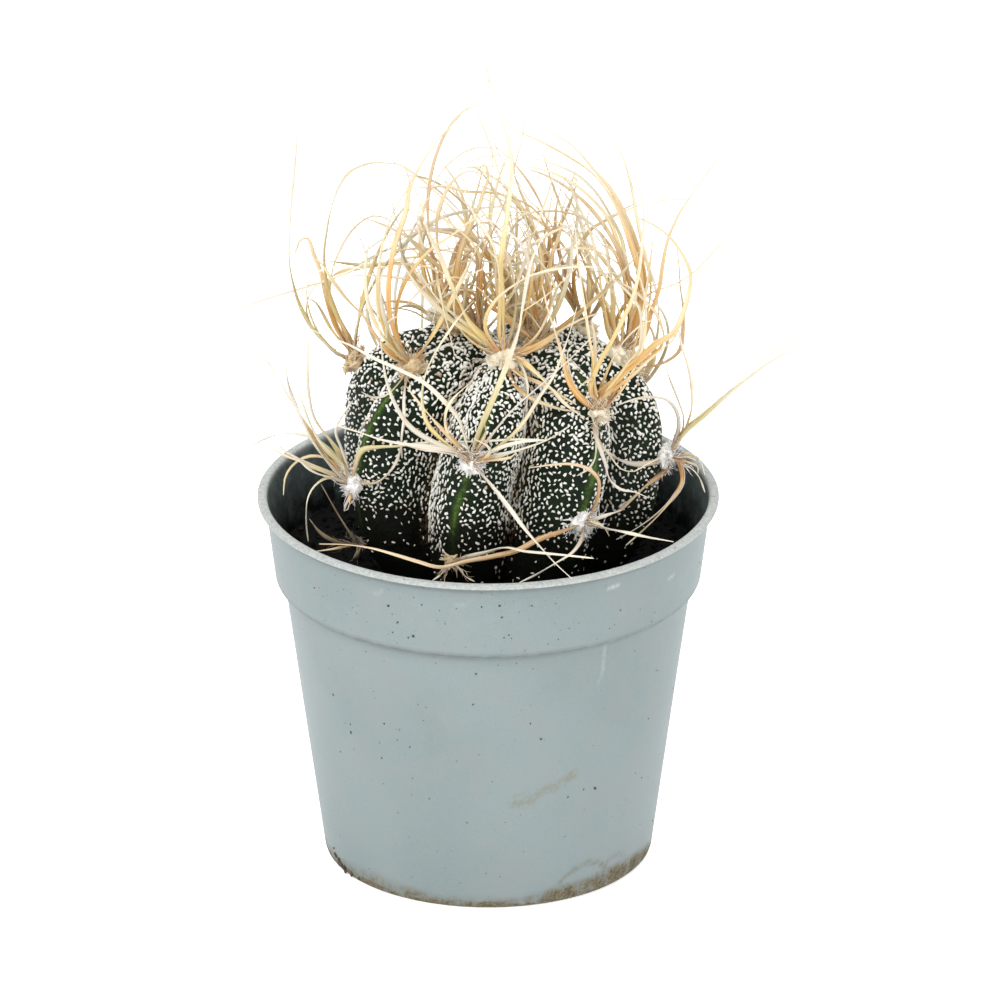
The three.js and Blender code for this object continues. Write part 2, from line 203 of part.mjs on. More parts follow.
  ],
  spines_rib5_crown: [
    [0.80, 'g', [6.62, 6.28, 78.54, 7.69, 6.24, 81.58, 8.37, 6.05, 84.72, 9.01, 6.05, 87.88, 10.09, 6.61, 90.80, 10.42, 8.19, 93.55, 11.33, 9.04, 96.52, 12.15, 9.44, 99.61]],
    [0.75, 'g', [6.87, 6.21, 78.56, 8.21, 6.20, 81.62, 8.91, 6.23, 84.89, 9.07, 6.33, 88.22, 8.25, 6.58, 91.44, 6.47, 7.43, 94.03, 3.59, 8.24, 95.43, 0.38, 8.10, 96.33, -2.95, 8.15, 96.46, -6.14, 9.01, 96.88, -9.31, 9.83, 96.36, -12.56, 10.46, 96.06, -15.82, 10.79, 96.70]],
    [0.50, 'c', [6.23, 5.71, 79.07, 6.37, 5.05, 82.65, 6.11, 4.10, 86.16, 5.70, 3.36, 89.70, 4.51, 3.10, 93.13, 2.39, 2.84, 96.06, -0.74, 2.60, 97.87]],
    [0.71, 'c', [6.73, 7.94, 78.38, 7.47, 9.97, 81.21, 7.59, 12.32, 83.87, 7.11, 14.99, 86.17, 5.85, 16.99, 88.81, 3.94, 19.33, 90.65, 1.86, 21.87, 91.99, -0.90, 23.85, 93.05, -4.02, 25.46, 93.65]],
    [0.81, 'c', [2.93, 6.82, 79.21, 1.25, 7.67, 83.25, 0.41, 8.86, 87.46, 0.40, 10.44, 91.63, 1.16, 12.46, 95.53, 2.57, 14.89, 98.98]],
    [0.57, 'm', [5.46, 8.21, 78.91, 5.56, 10.86, 81.77, 5.64, 14.12, 83.91, 5.64, 17.80, 85.19, 5.48, 21.68, 85.54, 5.13, 25.51, 84.95, 4.54, 29.06, 83.47, 3.65, 32.10, 81.20]],
    [0.71, 'm', [4.40, 4.73, 78.57, 4.38, 3.22, 81.74, 5.38, 1.75, 84.76, 7.35, 0.31, 87.28, 9.85, -1.40, 89.05, 12.75, -3.15, 89.98, 15.84, -4.81, 89.91]],
  ],
  spines_rib5_middle: [
    [0.58, 'm', [21.61, 19.88, 62.06, 21.84, 23.44, 62.75, 21.50, 26.70, 64.31, 20.54, 29.40, 66.54, 18.95, 31.32, 69.18, 16.80, 32.40, 71.91]],
    [0.58, 'm', [20.65, 19.55, 64.96, 20.51, 22.25, 68.11, 20.68, 24.33, 71.69, 21.27, 25.79, 75.53, 22.41, 26.67, 79.42]],
    [0.77, 'w', [20.64, 18.69, 65.12, 19.72, 20.57, 68.10, 18.21, 21.84, 71.16, 16.17, 22.45, 74.11, 13.71, 22.36, 76.80, 10.95, 21.59, 79.05, 8.03, 20.22, 80.72]],
    [0.80, 'c', [22.64, 17.26, 65.75, 23.71, 17.93, 69.44, 24.04, 18.41, 73.31, 23.59, 18.82, 77.17, 22.37, 19.26, 80.86, 20.46, 19.84, 84.22]],
    [0.50, 'c', [23.15, 16.08, 65.17, 24.69, 15.32, 68.33, 25.37, 14.11, 71.65, 25.09, 12.61, 74.90, 23.87, 11.00, 77.87, 21.77, 9.49, 80.37, 18.99, 8.20, 82.25]],
    [0.73, 'c', [21.67, 19.30, 64.94, 21.65, 22.13, 67.76, 20.87, 24.68, 70.74, 19.36, 26.86, 73.74, 17.18, 28.56, 76.63, 14.43, 29.72, 79.30, 11.23, 30.28, 81.63, 7.69, 30.27, 83.50]],
  ],
  spines_rib5_upper: [
    [0.85, 'g', [11.77, 13.19, 77.67, 9.99, 12.66, 81.58, 8.26, 11.81, 85.45, 6.56, 10.62, 89.25, 4.90, 8.89, 92.83, 3.24, 6.94, 96.29, 1.16, 5.33, 99.71]],
    [0.71, 'm', [15.45, 12.04, 77.28, 16.63, 10.34, 80.90, 17.10, 8.36, 84.54, 16.84, 6.18, 88.08, 15.87, 3.88, 91.42, 14.22, 1.55, 94.46, 11.86, -0.63, 97.12, 8.99, -2.70, 99.32]],
    [0.80, 'm', [14.10, 15.58, 76.59, 14.23, 17.12, 79.80, 13.97, 17.90, 83.27, 13.30, 17.91, 86.77, 12.20, 17.17, 90.08, 10.70, 15.74, 92.99, 8.84, 13.76, 95.30]],
    [0.84, 'g', [13.80, 11.88, 77.27, 13.38, 10.53, 80.82, 12.37, 9.39, 84.32, 10.79, 8.50, 87.67, 8.61, 7.98, 90.76, 5.91, 7.19, 93.31, 3.21, 6.53, 95.90, -0.16, 6.45, 97.69, -3.74, 6.28, 98.99]],
    [0.89, 'c', [11.73, 15.15, 76.60, 9.88, 16.52, 79.65, 8.16, 17.55, 82.89, 6.59, 18.05, 86.34, 5.39, 18.86, 89.84, 4.24, 17.66, 93.26, 3.39, 16.84, 96.89]],
    [0.68, 'b', [12.27, 12.27, 77.88, 11.10, 10.77, 81.94, 10.19, 9.03, 85.96, 9.41, 7.50, 90.07, 9.41, 4.58, 93.45, 9.62, 2.01, 97.10, 10.22, -0.61, 100.68, 11.24, -3.29, 104.12]],
  ],
  spines_rib6_low: [
    [0.95, 'c', [7.56, 25.32, 49.77, 8.10, 27.06, 52.28, 8.47, 27.97, 55.21, 8.75, 27.97, 58.30]],
    [0.53, 'w', [4.59, 25.04, 47.74, 2.45, 27.03, 48.62, 0.61, 28.62, 50.46]],
    [0.60, 'm', [7.43, 24.69, 49.61, 7.98, 25.84, 51.77, 8.11, 26.40, 54.21]],
    [0.60, 'm', [5.91, 25.92, 49.81, 5.59, 28.49, 52.34, 5.87, 30.50, 55.35]],
  ],
  spines_rib6_middle: [
    [0.62, 'w', [5.09, 27.19, 68.95, 4.63, 28.45, 72.87, 4.18, 28.95, 76.95, 3.66, 28.66, 81.04, 3.03, 27.60, 84.99, 2.21, 25.85, 88.65]],
    [0.72, 'w', [4.79, 28.41, 67.86, 3.45, 30.98, 70.79, 1.69, 32.79, 74.04, -0.40, 33.74, 77.46, -2.68, 33.79, 80.89, -5.01, 32.91, 84.17, -7.26, 31.15, 87.14, -9.31, 28.61, 89.66]],
    [0.63, 'c', [3.65, 28.47, 67.00, 1.68, 31.31, 69.24, -0.33, 33.63, 71.99, -2.39, 35.35, 75.12, -4.50, 36.39, 78.50, -6.67, 36.71, 81.99, -8.93, 36.37, 85.42]],
    [0.70, 'w', [7.44, 27.25, 68.25, 9.16, 28.61, 71.56, 10.65, 29.21, 75.19, 11.79, 29.01, 78.99, 12.46, 28.07, 82.79, 12.59, 26.46, 86.41, 12.10, 24.29, 89.70, 10.99, 21.71, 92.51, 9.27, 18.89, 94.72]],
    [0.53, 'w', [6.80, 25.80, 69.14, 7.24, 26.32, 73.10, 6.90, 26.77, 77.09, 5.79, 27.15, 80.94, 3.97, 27.44, 84.51]],
    [0.78, 'm', [4.29, 26.83, 68.52, 3.20, 27.62, 72.06, 2.54, 27.54, 75.79, 2.44, 26.66, 79.47, 3.01, 25.10, 82.88, 4.30, 23.05, 85.79, 6.26, 20.72, 88.04]],
  ],
  spines_rib6_upper: [
    [0.50, 'c', [0.73, 16.48, 77.44, 0.25, 16.97, 81.51, 0.31, 17.13, 85.64, 0.19, 17.54, 89.76, 0.47, 18.10, 93.84, 0.54, 18.77, 97.92, 0.34, 19.47, 101.99, 0.20, 20.11, 106.08, -0.11, 20.67, 110.17]],
    [0.50, 'c', [3.82, 16.66, 78.48, 4.03, 16.95, 81.95, 3.94, 16.95, 85.44, 4.03, 17.30, 88.91, 3.91, 18.77, 92.03, 3.66, 20.43, 95.08, 3.20, 21.67, 98.31, 2.77, 22.62, 101.64]],
    [0.55, 'm', [2.64, 16.30, 77.33, 2.64, 16.43, 79.87, 3.19, 16.11, 82.36, 4.01, 15.56, 84.73, 5.66, 14.94, 86.58, 7.97, 14.91, 87.62, 10.42, 15.48, 88.15, 12.88, 15.99, 87.73, 14.98, 16.48, 86.36, 16.42, 16.83, 84.26]],
    [0.65, 'b', [6.18, 15.55, 77.98, 7.76, 15.21, 81.28, 8.49, 14.84, 84.87, 8.32, 14.60, 88.53, 7.30, 14.63, 92.07, 5.54, 15.02, 95.27, 3.19, 15.87, 97.97, 0.45, 17.14, 100.08]],
    [0.92, 'm', [3.42, 15.49, 78.32, 2.35, 15.08, 81.35, 0.68, 14.58, 84.07, -1.63, 14.31, 86.31, -4.26, 13.70, 88.01, -6.70, 11.88, 89.07, -9.51, 10.50, 89.80, -12.40, 9.10, 89.97, -15.12, 7.47, 89.33, -17.53, 5.68, 88.12]],
    [0.61, 'g', [2.61, 16.43, 79.23, 1.08, 16.47, 83.29, -0.69, 15.86, 87.19, -2.74, 14.76, 90.84, -4.85, 12.77, 94.05, -7.19, 10.41, 96.83, -9.53, 7.47, 98.99, -11.95, 4.24, 100.55]],
    [0.66, 'g', [5.76, 16.48, 78.60, 7.52, 16.52, 82.20, 9.12, 16.00, 85.85, 10.45, 14.75, 89.41, 11.45, 12.78, 92.76, 12.10, 10.21, 95.76, 12.34, 7.10, 98.28, 12.31, 3.61, 100.25, 11.88, -0.03, 101.85, 10.91, -3.87, 102.50]],
  ],
  spines_rib7_middle: [
    [0.83, 'w', [-11.91, 25.52, 63.14, -12.95, 27.79, 65.97, -13.31, 29.61, 69.27, -13.06, 30.77, 72.86, -12.30, 31.16, 76.54, -11.17, 30.70, 80.11, -9.83, 29.37, 83.38, -8.45, 27.24, 86.19]],
    [0.82, 'w', [-11.07, 23.67, 63.62, -12.09, 23.58, 66.37, -13.09, 22.67, 68.98, -13.90, 21.02, 71.26, -14.37, 18.75, 73.06, -14.37, 16.08, 74.29, -13.84, 13.26, 74.89]],
    [0.85, 'c', [-13.06, 24.30, 62.36, -15.29, 25.66, 64.64, -16.72, 26.86, 67.56, -17.26, 27.72, 70.87, -16.90, 28.08, 74.30, -15.72, 27.85, 77.55]],
    [0.77, 'c', [-9.72, 25.80, 63.63, -9.46, 28.08, 66.83, -9.34, 29.71, 70.41, -9.32, 30.63, 74.24, -9.32, 30.78, 78.18, -9.28, 30.17, 82.07, -9.12, 28.86, 85.78]],
    [0.54, 'c', [-11.78, 24.92, 63.33, -12.75, 26.55, 66.24, -13.01, 27.89, 69.44, -12.47, 28.94, 72.72, -11.15, 29.75, 75.83, -9.10, 30.40, 78.56, -6.43, 30.93, 80.73]],
    [0.55, 'c', [-11.78, 26.15, 63.39, -13.29, 28.67, 66.54, -14.76, 30.36, 70.22, -16.19, 31.13, 74.21, -17.60, 30.93, 78.28, -19.01, 29.77, 82.18, -20.44, 27.73, 85.70]],
  ],
  spines_rib7_upper: [
    [0.45, 'c', [-7.86, 17.88, 77.79, -9.08, 18.31, 81.33, -11.53, 18.39, 83.83, -15.15, 18.28, 82.92, -18.35, 18.35, 80.94, -21.61, 18.55, 79.06, -25.08, 18.87, 77.63, -28.59, 19.22, 76.30, -32.09, 19.58, 74.96, -35.56, 19.90, 73.53]],
    [0.55, 'b', [-7.85, 16.78, 73.69, -9.32, 17.42, 74.54, -10.89, 17.92, 75.29, -12.68, 18.22, 75.46, -14.46, 18.47, 75.24, -16.12, 18.73, 74.55, -17.66, 19.00, 73.60]],
    [0.50, 'b', [-6.97, 17.00, 73.36, -7.23, 17.78, 72.53, -7.84, 18.59, 72.10, -8.51, 17.96, 72.72, -9.18, 17.30, 73.40, -10.15, 17.37, 74.03, -11.25, 17.55, 74.40, -12.40, 17.66, 74.58, -13.57, 17.74, 74.58, -14.71, 17.82, 74.34, -15.82, 17.81, 73.95]],
    [0.81, 'b', [-6.15, 16.88, 78.02, -5.37, 16.43, 81.53, -4.47, 14.99, 84.71, -3.46, 12.90, 87.51, -1.93, 10.90, 90.10, -0.51, 8.04, 91.81, 0.85, 4.80, 92.73, 2.17, 1.43, 92.87, 3.25, -1.98, 92.26]],
    [0.80, 'g', [-5.58, 15.38, 77.03, -4.82, 13.67, 79.50, -4.41, 11.54, 81.70, -4.33, 9.04, 83.53, -4.62, 6.26, 84.85, -5.48, 3.33, 85.13, -5.51, 0.32, 85.88, -6.28, -2.62, 85.80, -7.15, -5.36, 84.64, -7.88, -8.00, 83.18]],
    [0.59, 'm', [-8.02, 17.21, 77.12, -8.91, 17.32, 80.04, -9.32, 16.76, 82.99, -9.27, 15.40, 85.73, -8.70, 13.81, 88.26, -7.79, 11.48, 89.92, -7.39, 8.69, 91.07, -6.39, 5.82, 91.38]],
    [0.58, 'c', [-6.19, 20.01, 75.34, -5.42, 23.00, 77.00, -4.45, 25.41, 79.34, -3.39, 27.11, 82.22, -2.35, 27.98, 85.45, -1.45, 27.97, 88.83, -0.77, 27.13, 92.17]],
    [0.83, 'g', [-5.12, 19.44, 75.70, -3.85, 21.93, 77.67, -3.03, 24.03, 80.24, -2.80, 25.70, 83.22, -3.27, 26.92, 86.38, -4.45, 27.70, 89.50, -6.34, 28.12, 92.32]],
  ],
  spines_rib8_crown: [
    [0.80, 'b', [-6.23, 5.55, 81.19, -7.44, 4.73, 84.81, -7.94, 4.09, 88.66, -8.36, 3.87, 92.58, -8.50, 3.54, 96.51, -8.13, 3.35, 100.43, -7.26, 3.11, 104.28, -5.79, 2.75, 107.90, -3.50, 2.28, 111.08, -0.18, 1.47, 112.98]],
    [1.10, 'g', [-5.35, 5.92, 79.46, -6.73, 5.94, 80.92, -7.30, 5.92, 82.87, -7.71, 5.67, 84.84, -8.03, 5.21, 86.80]],
    [0.90, 'g', [-3.65, 6.21, 79.95, -2.46, 6.44, 82.36, -1.75, 6.39, 84.96, -0.92, 6.28, 87.52, -0.18, 6.99, 90.01]],
    [0.67, 'g', [-5.83, 5.18, 81.74, -6.85, 3.80, 85.75, -7.75, 2.09, 89.66, -8.58, -0.18, 93.29, -9.17, -3.25, 96.34, -9.54, -6.83, 98.81, -9.68, -10.79, 100.63, -9.58, -15.01, 101.76, -9.24, -19.34, 102.18]],
    [0.76, 'm', [-7.63, 5.82, 80.05, -9.92, 5.60, 83.11, -11.48, 4.91, 86.53, -12.27, 3.62, 90.04, -12.31, 1.93, 93.48, -11.62, -0.26, 96.53, -10.33, -2.89, 98.99]],
    [0.52, 'm', [-2.97, 5.06, 81.39, -1.84, 4.44, 85.49, -1.39, 3.92, 89.72, -1.63, 3.28, 93.95, -2.55, 2.69, 98.11, -4.13, 2.21, 102.07]],
    [0.58, 'm', [-1.76, 3.58, 79.58, 1.11, 1.63, 81.92, 3.48, -0.41, 84.69, 4.98, -3.08, 87.53, 5.60, -6.17, 90.28, 5.52, -8.87, 93.47, 4.62, -11.45, 96.64, 2.99, -14.02, 99.51, 0.70, -16.39, 102.10, -2.15, -18.47, 104.35]],
  ],
  spines_rib8_upper: [
    [0.60, 'm', [-21.95, 9.02, 72.03, -24.51, 9.20, 74.75, -26.25, 9.20, 78.06, -27.36, 9.14, 81.64, -27.97, 8.77, 85.31, -27.97, 8.09, 89.00, -27.79, 7.34, 92.67, -27.52, 6.76, 96.36, -27.20, 6.50, 100.09, -26.89, 6.63, 103.82, -26.69, 7.06, 107.54]],
    [0.50, 'm', [-21.46, 9.36, 71.41, -23.43, 9.93, 73.34, -25.11, 10.06, 75.61, -25.57, 10.16, 78.36, -24.53, 10.40, 80.95, -22.07, 10.46, 82.26, -19.43, 10.58, 83.27, -16.99, 10.79, 84.68, -14.68, 11.01, 86.30, -12.32, 11.22, 87.84, -9.73, 11.33, 88.97]],
    [1.00, 'g', [-19.97, 9.59, 72.50, -21.21, 10.16, 74.44, -22.09, 10.47, 76.62, -22.65, 10.55, 78.93, -23.13, 10.68, 81.25, -23.73, 10.88, 83.54, -24.55, 10.92, 85.78, -25.26, 10.94, 88.04, -26.38, 10.72, 88.02, -27.28, 10.46, 85.84]],
    [0.75, 'c', [-19.78, 9.66, 73.67, -21.29, 9.99, 76.72, -22.36, 9.97, 79.96, -22.95, 9.94, 83.32, -23.06, 9.73, 86.73, -22.69, 9.21, 90.09, -22.13, 8.61, 93.41, -21.17, 8.19, 96.66, -19.37, 8.16, 99.51, -16.27, 8.45, 100.70, -12.93, 8.98, 100.32]],
    [0.95, 'g', [-19.49, 10.20, 72.84, -20.69, 11.23, 75.10, -21.72, 11.79, 77.60, -22.51, 12.22, 80.21, -21.13, 12.75, 81.98, -18.48, 13.18, 82.64, -15.78, 13.74, 82.90, -13.15, 14.58, 82.87, -10.59, 15.54, 82.45, -8.20, 16.73, 81.72]],
    [0.65, 'c', [-18.49, 10.87, 74.09, -17.74, 12.39, 77.86, -16.67, 13.17, 81.77, -15.29, 13.17, 85.67, -13.68, 12.39, 89.40, -11.88, 10.88, 92.79, -9.96, 8.67, 95.71, -8.00, 5.88, 98.04, -6.07, 2.61, 99.68]],
    [0.94, 'm', [-18.67, 8.73, 74.17, -17.89, 9.00, 77.69, -16.56, 9.56, 81.01, -14.69, 10.34, 84.01, -12.34, 11.17, 86.63, -9.72, 11.61, 89.09, -6.69, 12.35, 90.71, -3.31, 13.53, 91.21, 0.19, 14.40, 91.49, 3.77, 14.87, 91.22]],
  ],
};

// ------------------------------------------------------------------ materials
const material = (color, roughness) =>
  new THREE.MeshStandardMaterial({ color, roughness, metalness: 0 });
const POT_PLASTIC = material(0xa8b8ba, 0.42);
const SOIL = material(0x1c1712, 0.95);
const SKIN = material(0x1d2b16, 0.6);
const SPINE_PAPER = material(0xcdb27a, 0.55);

// --------------------------------------------------------------------- solids
function bare(geometry) {
  const g = geometry.index ? geometry.toNonIndexed() : geometry.clone();
  g.deleteAttribute('normal');
  g.deleteAttribute('uv');
  return mergeVertices(g, 1e-4);
}

function toSolid(geometry) {
  const g = bare(geometry);
  const index = Array.from(g.index.array);
  const triVerts = [];
  for (let i = 0; i < index.length; i += 3) {
    const [a, b, c] = [index[i], index[i + 1], index[i + 2]];
    if (a !== b && b !== c && c !== a) triVerts.push(a, b, c);
  }
  return new wasm.Manifold(new wasm.Mesh({
    numProp: 3,
    vertProperties: new Float32Array(g.attributes.position.array),
    triVerts: new Uint32Array(triVerts),
  }));
}

function toGeometry(solid) {
  const m = solid.getMesh();
  const g = new THREE.BufferGeometry();
  g.setAttribute('position', new THREE.BufferAttribute(new Float32Array(m.vertProperties), 3));
  g.setIndex(new THREE.BufferAttribute(new Uint32Array(m.triVerts), 1));
  g.computeVertexNormals();
  return g;
}

// The outer body of a union, with any pocket closed off between its parts filled.
function whole(solid) {
  return solid.decompose().reduce((best, s) => (s.volume() > best.volume() ? s : best));
}

// A profile of [radius, height] turned about +Z.
function turned(profile, facets) {
  const g = new THREE.LatheGeometry(profile.map(([r, z]) => new THREE.Vector2(r, z)), facets);
  g.rotateX(Math.PI / 2);
  return g;
}

// Reverses the faces of a geometry whose profile was drawn the other way round.
function outward(geometry) {
  const g = bare(geometry);
  const p = g.attributes.position, idx = g.index.array;
  let volume = 0;
  const [a, b, c] = [new THREE.Vector3(), new THREE.Vector3(), new THREE.Vector3()];
  for (let i = 0; i < idx.length; i += 3) {
    a.fromBufferAttribute(p, idx[i]);
    b.fromBufferAttribute(p, idx[i + 1]);
    c.fromBufferAttribute(p, idx[i + 2]);
    volume += a.dot(b.cross(c));
  }
  if (volume < 0) {
    for (let i = 0; i < idx.length; i += 3) {
      const t = idx[i + 1]; idx[i + 1] = idx[i + 2]; idx[i + 2] = t;
    }
  }
  return g;
}

// ------------------------------------------------------------------------ pot
function makePot() {
  const profile = [
    [0, 0], [22.3, 0], [BASE_RADIUS, 0.8],
    [WALL_TOP_RADIUS, BAND_FOOT_HEIGHT - 0.1], [BAND_FOOT_RADIUS, BAND_FOOT_HEIGHT],
    [BAND_TOP_RADIUS, 52.9], [LIP_OUTER_RADIUS, 53.15], [LIP_OUTER_RADIUS, 53.6],
    [LIP_OUTER_RADIUS - 0.25, POT_HEIGHT], [LIP_INNER_RADIUS + 0.2, POT_HEIGHT],
    [LIP_INNER_RADIUS, 53.5], [29.2, 42.7], [27.95, 41.3],
    [22.35, FLOOR_THICKNESS + 0.6], [21.8, FLOOR_THICKNESS], [0, FLOOR_THICKNESS],
  ];
  let pot = toSolid(outward(turned(profile, POT_FACETS)));
  for (let i = 0; i < DRAIN_HOLES; i++) {
    const drill = new THREE.CylinderGeometry(DRAIN_HOLE_RADIUS, DRAIN_HOLE_RADIUS, 6, 16);
    drill.rotateX(Math.PI / 2);
    const a = (i + 0.5) * 2 * Math.PI / DRAIN_HOLES;
    drill.translate(DRAIN_CIRCLE_RADIUS * Math.cos(a), DRAIN_CIRCLE_RADIUS * Math.sin(a), 1);
    pot = pot.subtract(toSolid(drill));
  }
  return toGeometry(pot);
}

// ----------------------------------------------------------------------- stem
const lean = (() => {
  const w = new THREE.Vector3(Math.sin(THREE.MathUtils.degToRad(LEAN_RIGHT)),
    Math.sin(THREE.MathUtils.degToRad(LEAN_BACK)), 1).normalize();
  const u = new THREE.Vector3(1, 0, 0).addScaledVector(w, -w.x).normalize();
  const v = new THREE.Vector3().crossVectors(w, u);
  return { u, v, w };
})();

// A smooth reading of a profile table at a fractional station.
function station(table, t) {
  const n = table.length - 1;
  t = Math.min(Math.max(t, 0), n - 1e-9);
  const i = Math.floor(t), f = t - i;
  const p = [table[Math.max(i - 1, 0)], table[i], table[i + 1], table[Math.min(i + 2, n)]];
  return [0, 1].map((k) => 0.5 * (2 * p[1][k] + (p[2][k] - p[0][k]) * f
    + (2 * p[0][k] - 5 * p[1][k] + 4 * p[2][k] - p[3][k]) * f * f
    + (-p[0][k] + 3 * p[1][k] - 3 * p[2][k] + p[3][k]) * f ** 3));
}

const twist = (h) => RIB_TWIST * Math.min(Math.max((h - 18) / 14, -0.4), 1);

// Radius, azimuth in degrees and height in the leaning plant, to the pot's frame.
function plantPoint(r, azimuth, h) {
  const a = THREE.MathUtils.degToRad(azimuth);
  return STEM_FOOT.clone().addScaledVector(lean.u, r * Math.sin(a))
    .addScaledVector(lean.v, -r * Math.cos(a)).addScaledVector(lean.w, h);
}

// How far a flank bulges towards the crest: 1 on the crest, 0 in the furrow.
const flank = (u) => 1 - (0.35 * u + 0.65 * Math.pow(u, 2.2));

function ribRange(i) {
  const a = RIB_AZIMUTH[i + 1];
  let b = RIB_AZIMUTH[(i + 1) % 8 + 1];
  while (b <= a) b += 360;
  return [a, b];
}

// The stem: a turned crest profile whose rings are drawn in between the ribs.
// `grow` moves the whole surface outward, for the pocket in the soil.
function makeStem(grow) {
  const rows = CREST.length;
  const facets = 8 * FACETS_PER_RIB;
  const lathe = new THREE.LatheGeometry(CREST.map(([r, h]) => new THREE.Vector2(r, h)), facets);
  const p = lathe.attributes.position;
  for (let ring = 0; ring <= facets; ring++) {
    const k = ring % facets;
    const [a, b] = ribRange(Math.floor(k / FACETS_PER_RIB));
    const f = (k % FACETS_PER_RIB) / FACETS_PER_RIB;
    const u = 1 - Math.abs(2 * f - 1);
    for (let row = 0; row < rows; row++) {
      const [rc, hc] = CREST[row], [rf, hf] = FURROW[row];
      const g = flank(u);
      let r = rf + (rc - rf) * g;
      let h = hf + (hc - hf) * g;
      if (row > 0 && row < rows - 1) r += grow;
      if (row === 0) h -= grow;
      const q = plantPoint(row === 0 || row === rows - 1 ? 0 : r, a + (b - a) * f + twist(h), h);
      p.setXYZ(ring * rows + row, q.x, q.y, q.z);
    }
  }
  return outward(lathe);
}

// ----------------------------------------------------------------------- soil
function makeSoil() {
  const wall = [[0, FLOOR_THICKNESS + GAP], [21.3, FLOOR_THICKNESS + GAP],
    [21.95, FLOOR_THICKNESS + GAP + 0.7], [27.6, 41.5], [28.85, 42.9], [28.98, SOIL_LEVEL - 0.1]];
  const top = [[26.5, SOIL_LEVEL], [23.5, SOIL_LEVEL], [20, SOIL_LEVEL], [10, SOIL_LEVEL], [0, SOIL_LEVEL]];
  const g = turned([...wall, ...top], SOIL_FACETS);
  // a loose, slightly heaped surface
  const p = g.attributes.position;
  for (let i = 0; i < p.count; i++) {
    const [x, y, z] = [p.getX(i), p.getY(i), p.getZ(i)];
    if (z < SOIL_LEVEL - 0.05) continue;
    const rough = 0.35 * Math.sin(0.55 * x + 0.8) * Math.cos(0.47 * y - 0.4)
      + 0.2 * Math.sin(1.3 * x - 0.9 * y);
    p.setZ(i, z + rough + 0.15);
  }
  return toGeometry(toSolid(outward(g)).subtract(toSolid(makeStem(GAP + 0.05))));
}

// --------------------------------------------------------------- spine tufts
function areole({ rib, station: t }) {
  const [r, h] = station(CREST, t);
  const [a, b] = [station(CREST, t - 0.05), station(CREST, t + 0.05)];
  const n = new THREE.Vector2(b[1] - a[1], -(b[0] - a[0])).normalize();
  const azimuth = RIB_AZIMUTH[rib] + twist(h);
  const rad = THREE.MathUtils.degToRad(azimuth);
  const normal = new THREE.Vector3().addScaledVector(lean.u, n.x * Math.sin(rad))
    .addScaledVector(lean.v, -n.x * Math.cos(rad)).addScaledVector(lean.w, n.y);
  return { point: plantPoint(r, azimuth, h), normal };
}

// A tapering spine: a closed cylinder whose rings are set along the curve.
function makeSpine(start, width, flat) {
  const points = [start];
  for (let i = 0; i < flat.length; i += 3) points.push(new THREE.Vector3(flat[i], flat[i + 1], flat[i + 2]));
  const steps = points.length - 1;
  const g = new THREE.CylinderGeometry(1, 1, 1, SPINE_SIDES, steps);
  const tangents = points.map((q, i) => points[Math.min(i + 1, steps)].clone()
    .sub(points[Math.max(i - 1, 0)]).normalize());
  let side = new THREE.Vector3(0, 0, 1);
  if (Math.abs(tangents[0].z) > 0.9) side = new THREE.Vector3(1, 0, 0);
  const frames = tangents.map((t) => {
    side = side.clone().addScaledVector(t, -side.dot(t)).normalize();
    return { side, other: new THREE.Vector3().crossVectors(t, side).normalize() };
  });
  const p = g.attributes.position;
  const q = new THREE.Vector3();
  for (let i = 0; i < p.count; i++) {
    const k = Math.round((p.getY(i) + 0.5) * steps);
    const s = k / steps;
    const r = (0.2 + 0.12 * width) * Math.pow(1 - s, 0.7) + 0.13;
    q.copy(points[k]).addScaledVector(frames[k].side, p.getX(i) * r)
      .addScaledVector(frames[k].other, p.getZ(i) * r);
    p.setXYZ(i, q.x, q.y, q.z);
  }
  return toSolid(outward(g));
}

function makeTuft(name) {
  const { point, normal } = areole(AREOLES[name]);
  const centre = point.clone().addScaledVector(normal, CUSHION_LIFT + CUSHION_HALF_THICKNESS);
  const wool = AREOLES[name].wool;
  const cushion = new THREE.IcosahedronGeometry(1, 1);
  cushion.scale(wool, wool, CUSHION_HALF_THICKNESS);
  cushion.applyQuaternion(new THREE.Quaternion().setFromUnitVectors(new THREE.Vector3(0, 0, 1), normal));
  cushion.translate(centre.x, centre.y, centre.z);
  let tuft = toSolid(cushion);
  for (const [width, , flat] of SPINES[name] || []) {
    tuft = tuft.add(makeSpine(centre, width, flat));
  }
  return toGeometry(whole(whole(tuft).simplify(SPINE_TOLERANCE)));
}

// ------------------------------------------------------------------- assembly
function mesh(name, geometry, mat) {
  const m = new THREE.Mesh(geometry, mat);
  m.name = name;
  return m;
}

const potted_cactus = new THREE.Group();
potted_cactus.add(mesh('nursery_pot', makePot(), POT_PLASTIC));
potted_cactus.add(mesh('potting_soil', makeSoil(), SOIL));
potted_cactus.add(mesh('cactus_stem', toGeometry(toSolid(makeStem(0))), SKIN));
for (const name of Object.keys(AREOLES)) {
  potted_cactus.add(mesh(name, makeTuft(name), SPINE_PAPER));
}

export default potted_cactus;
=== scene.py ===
import math

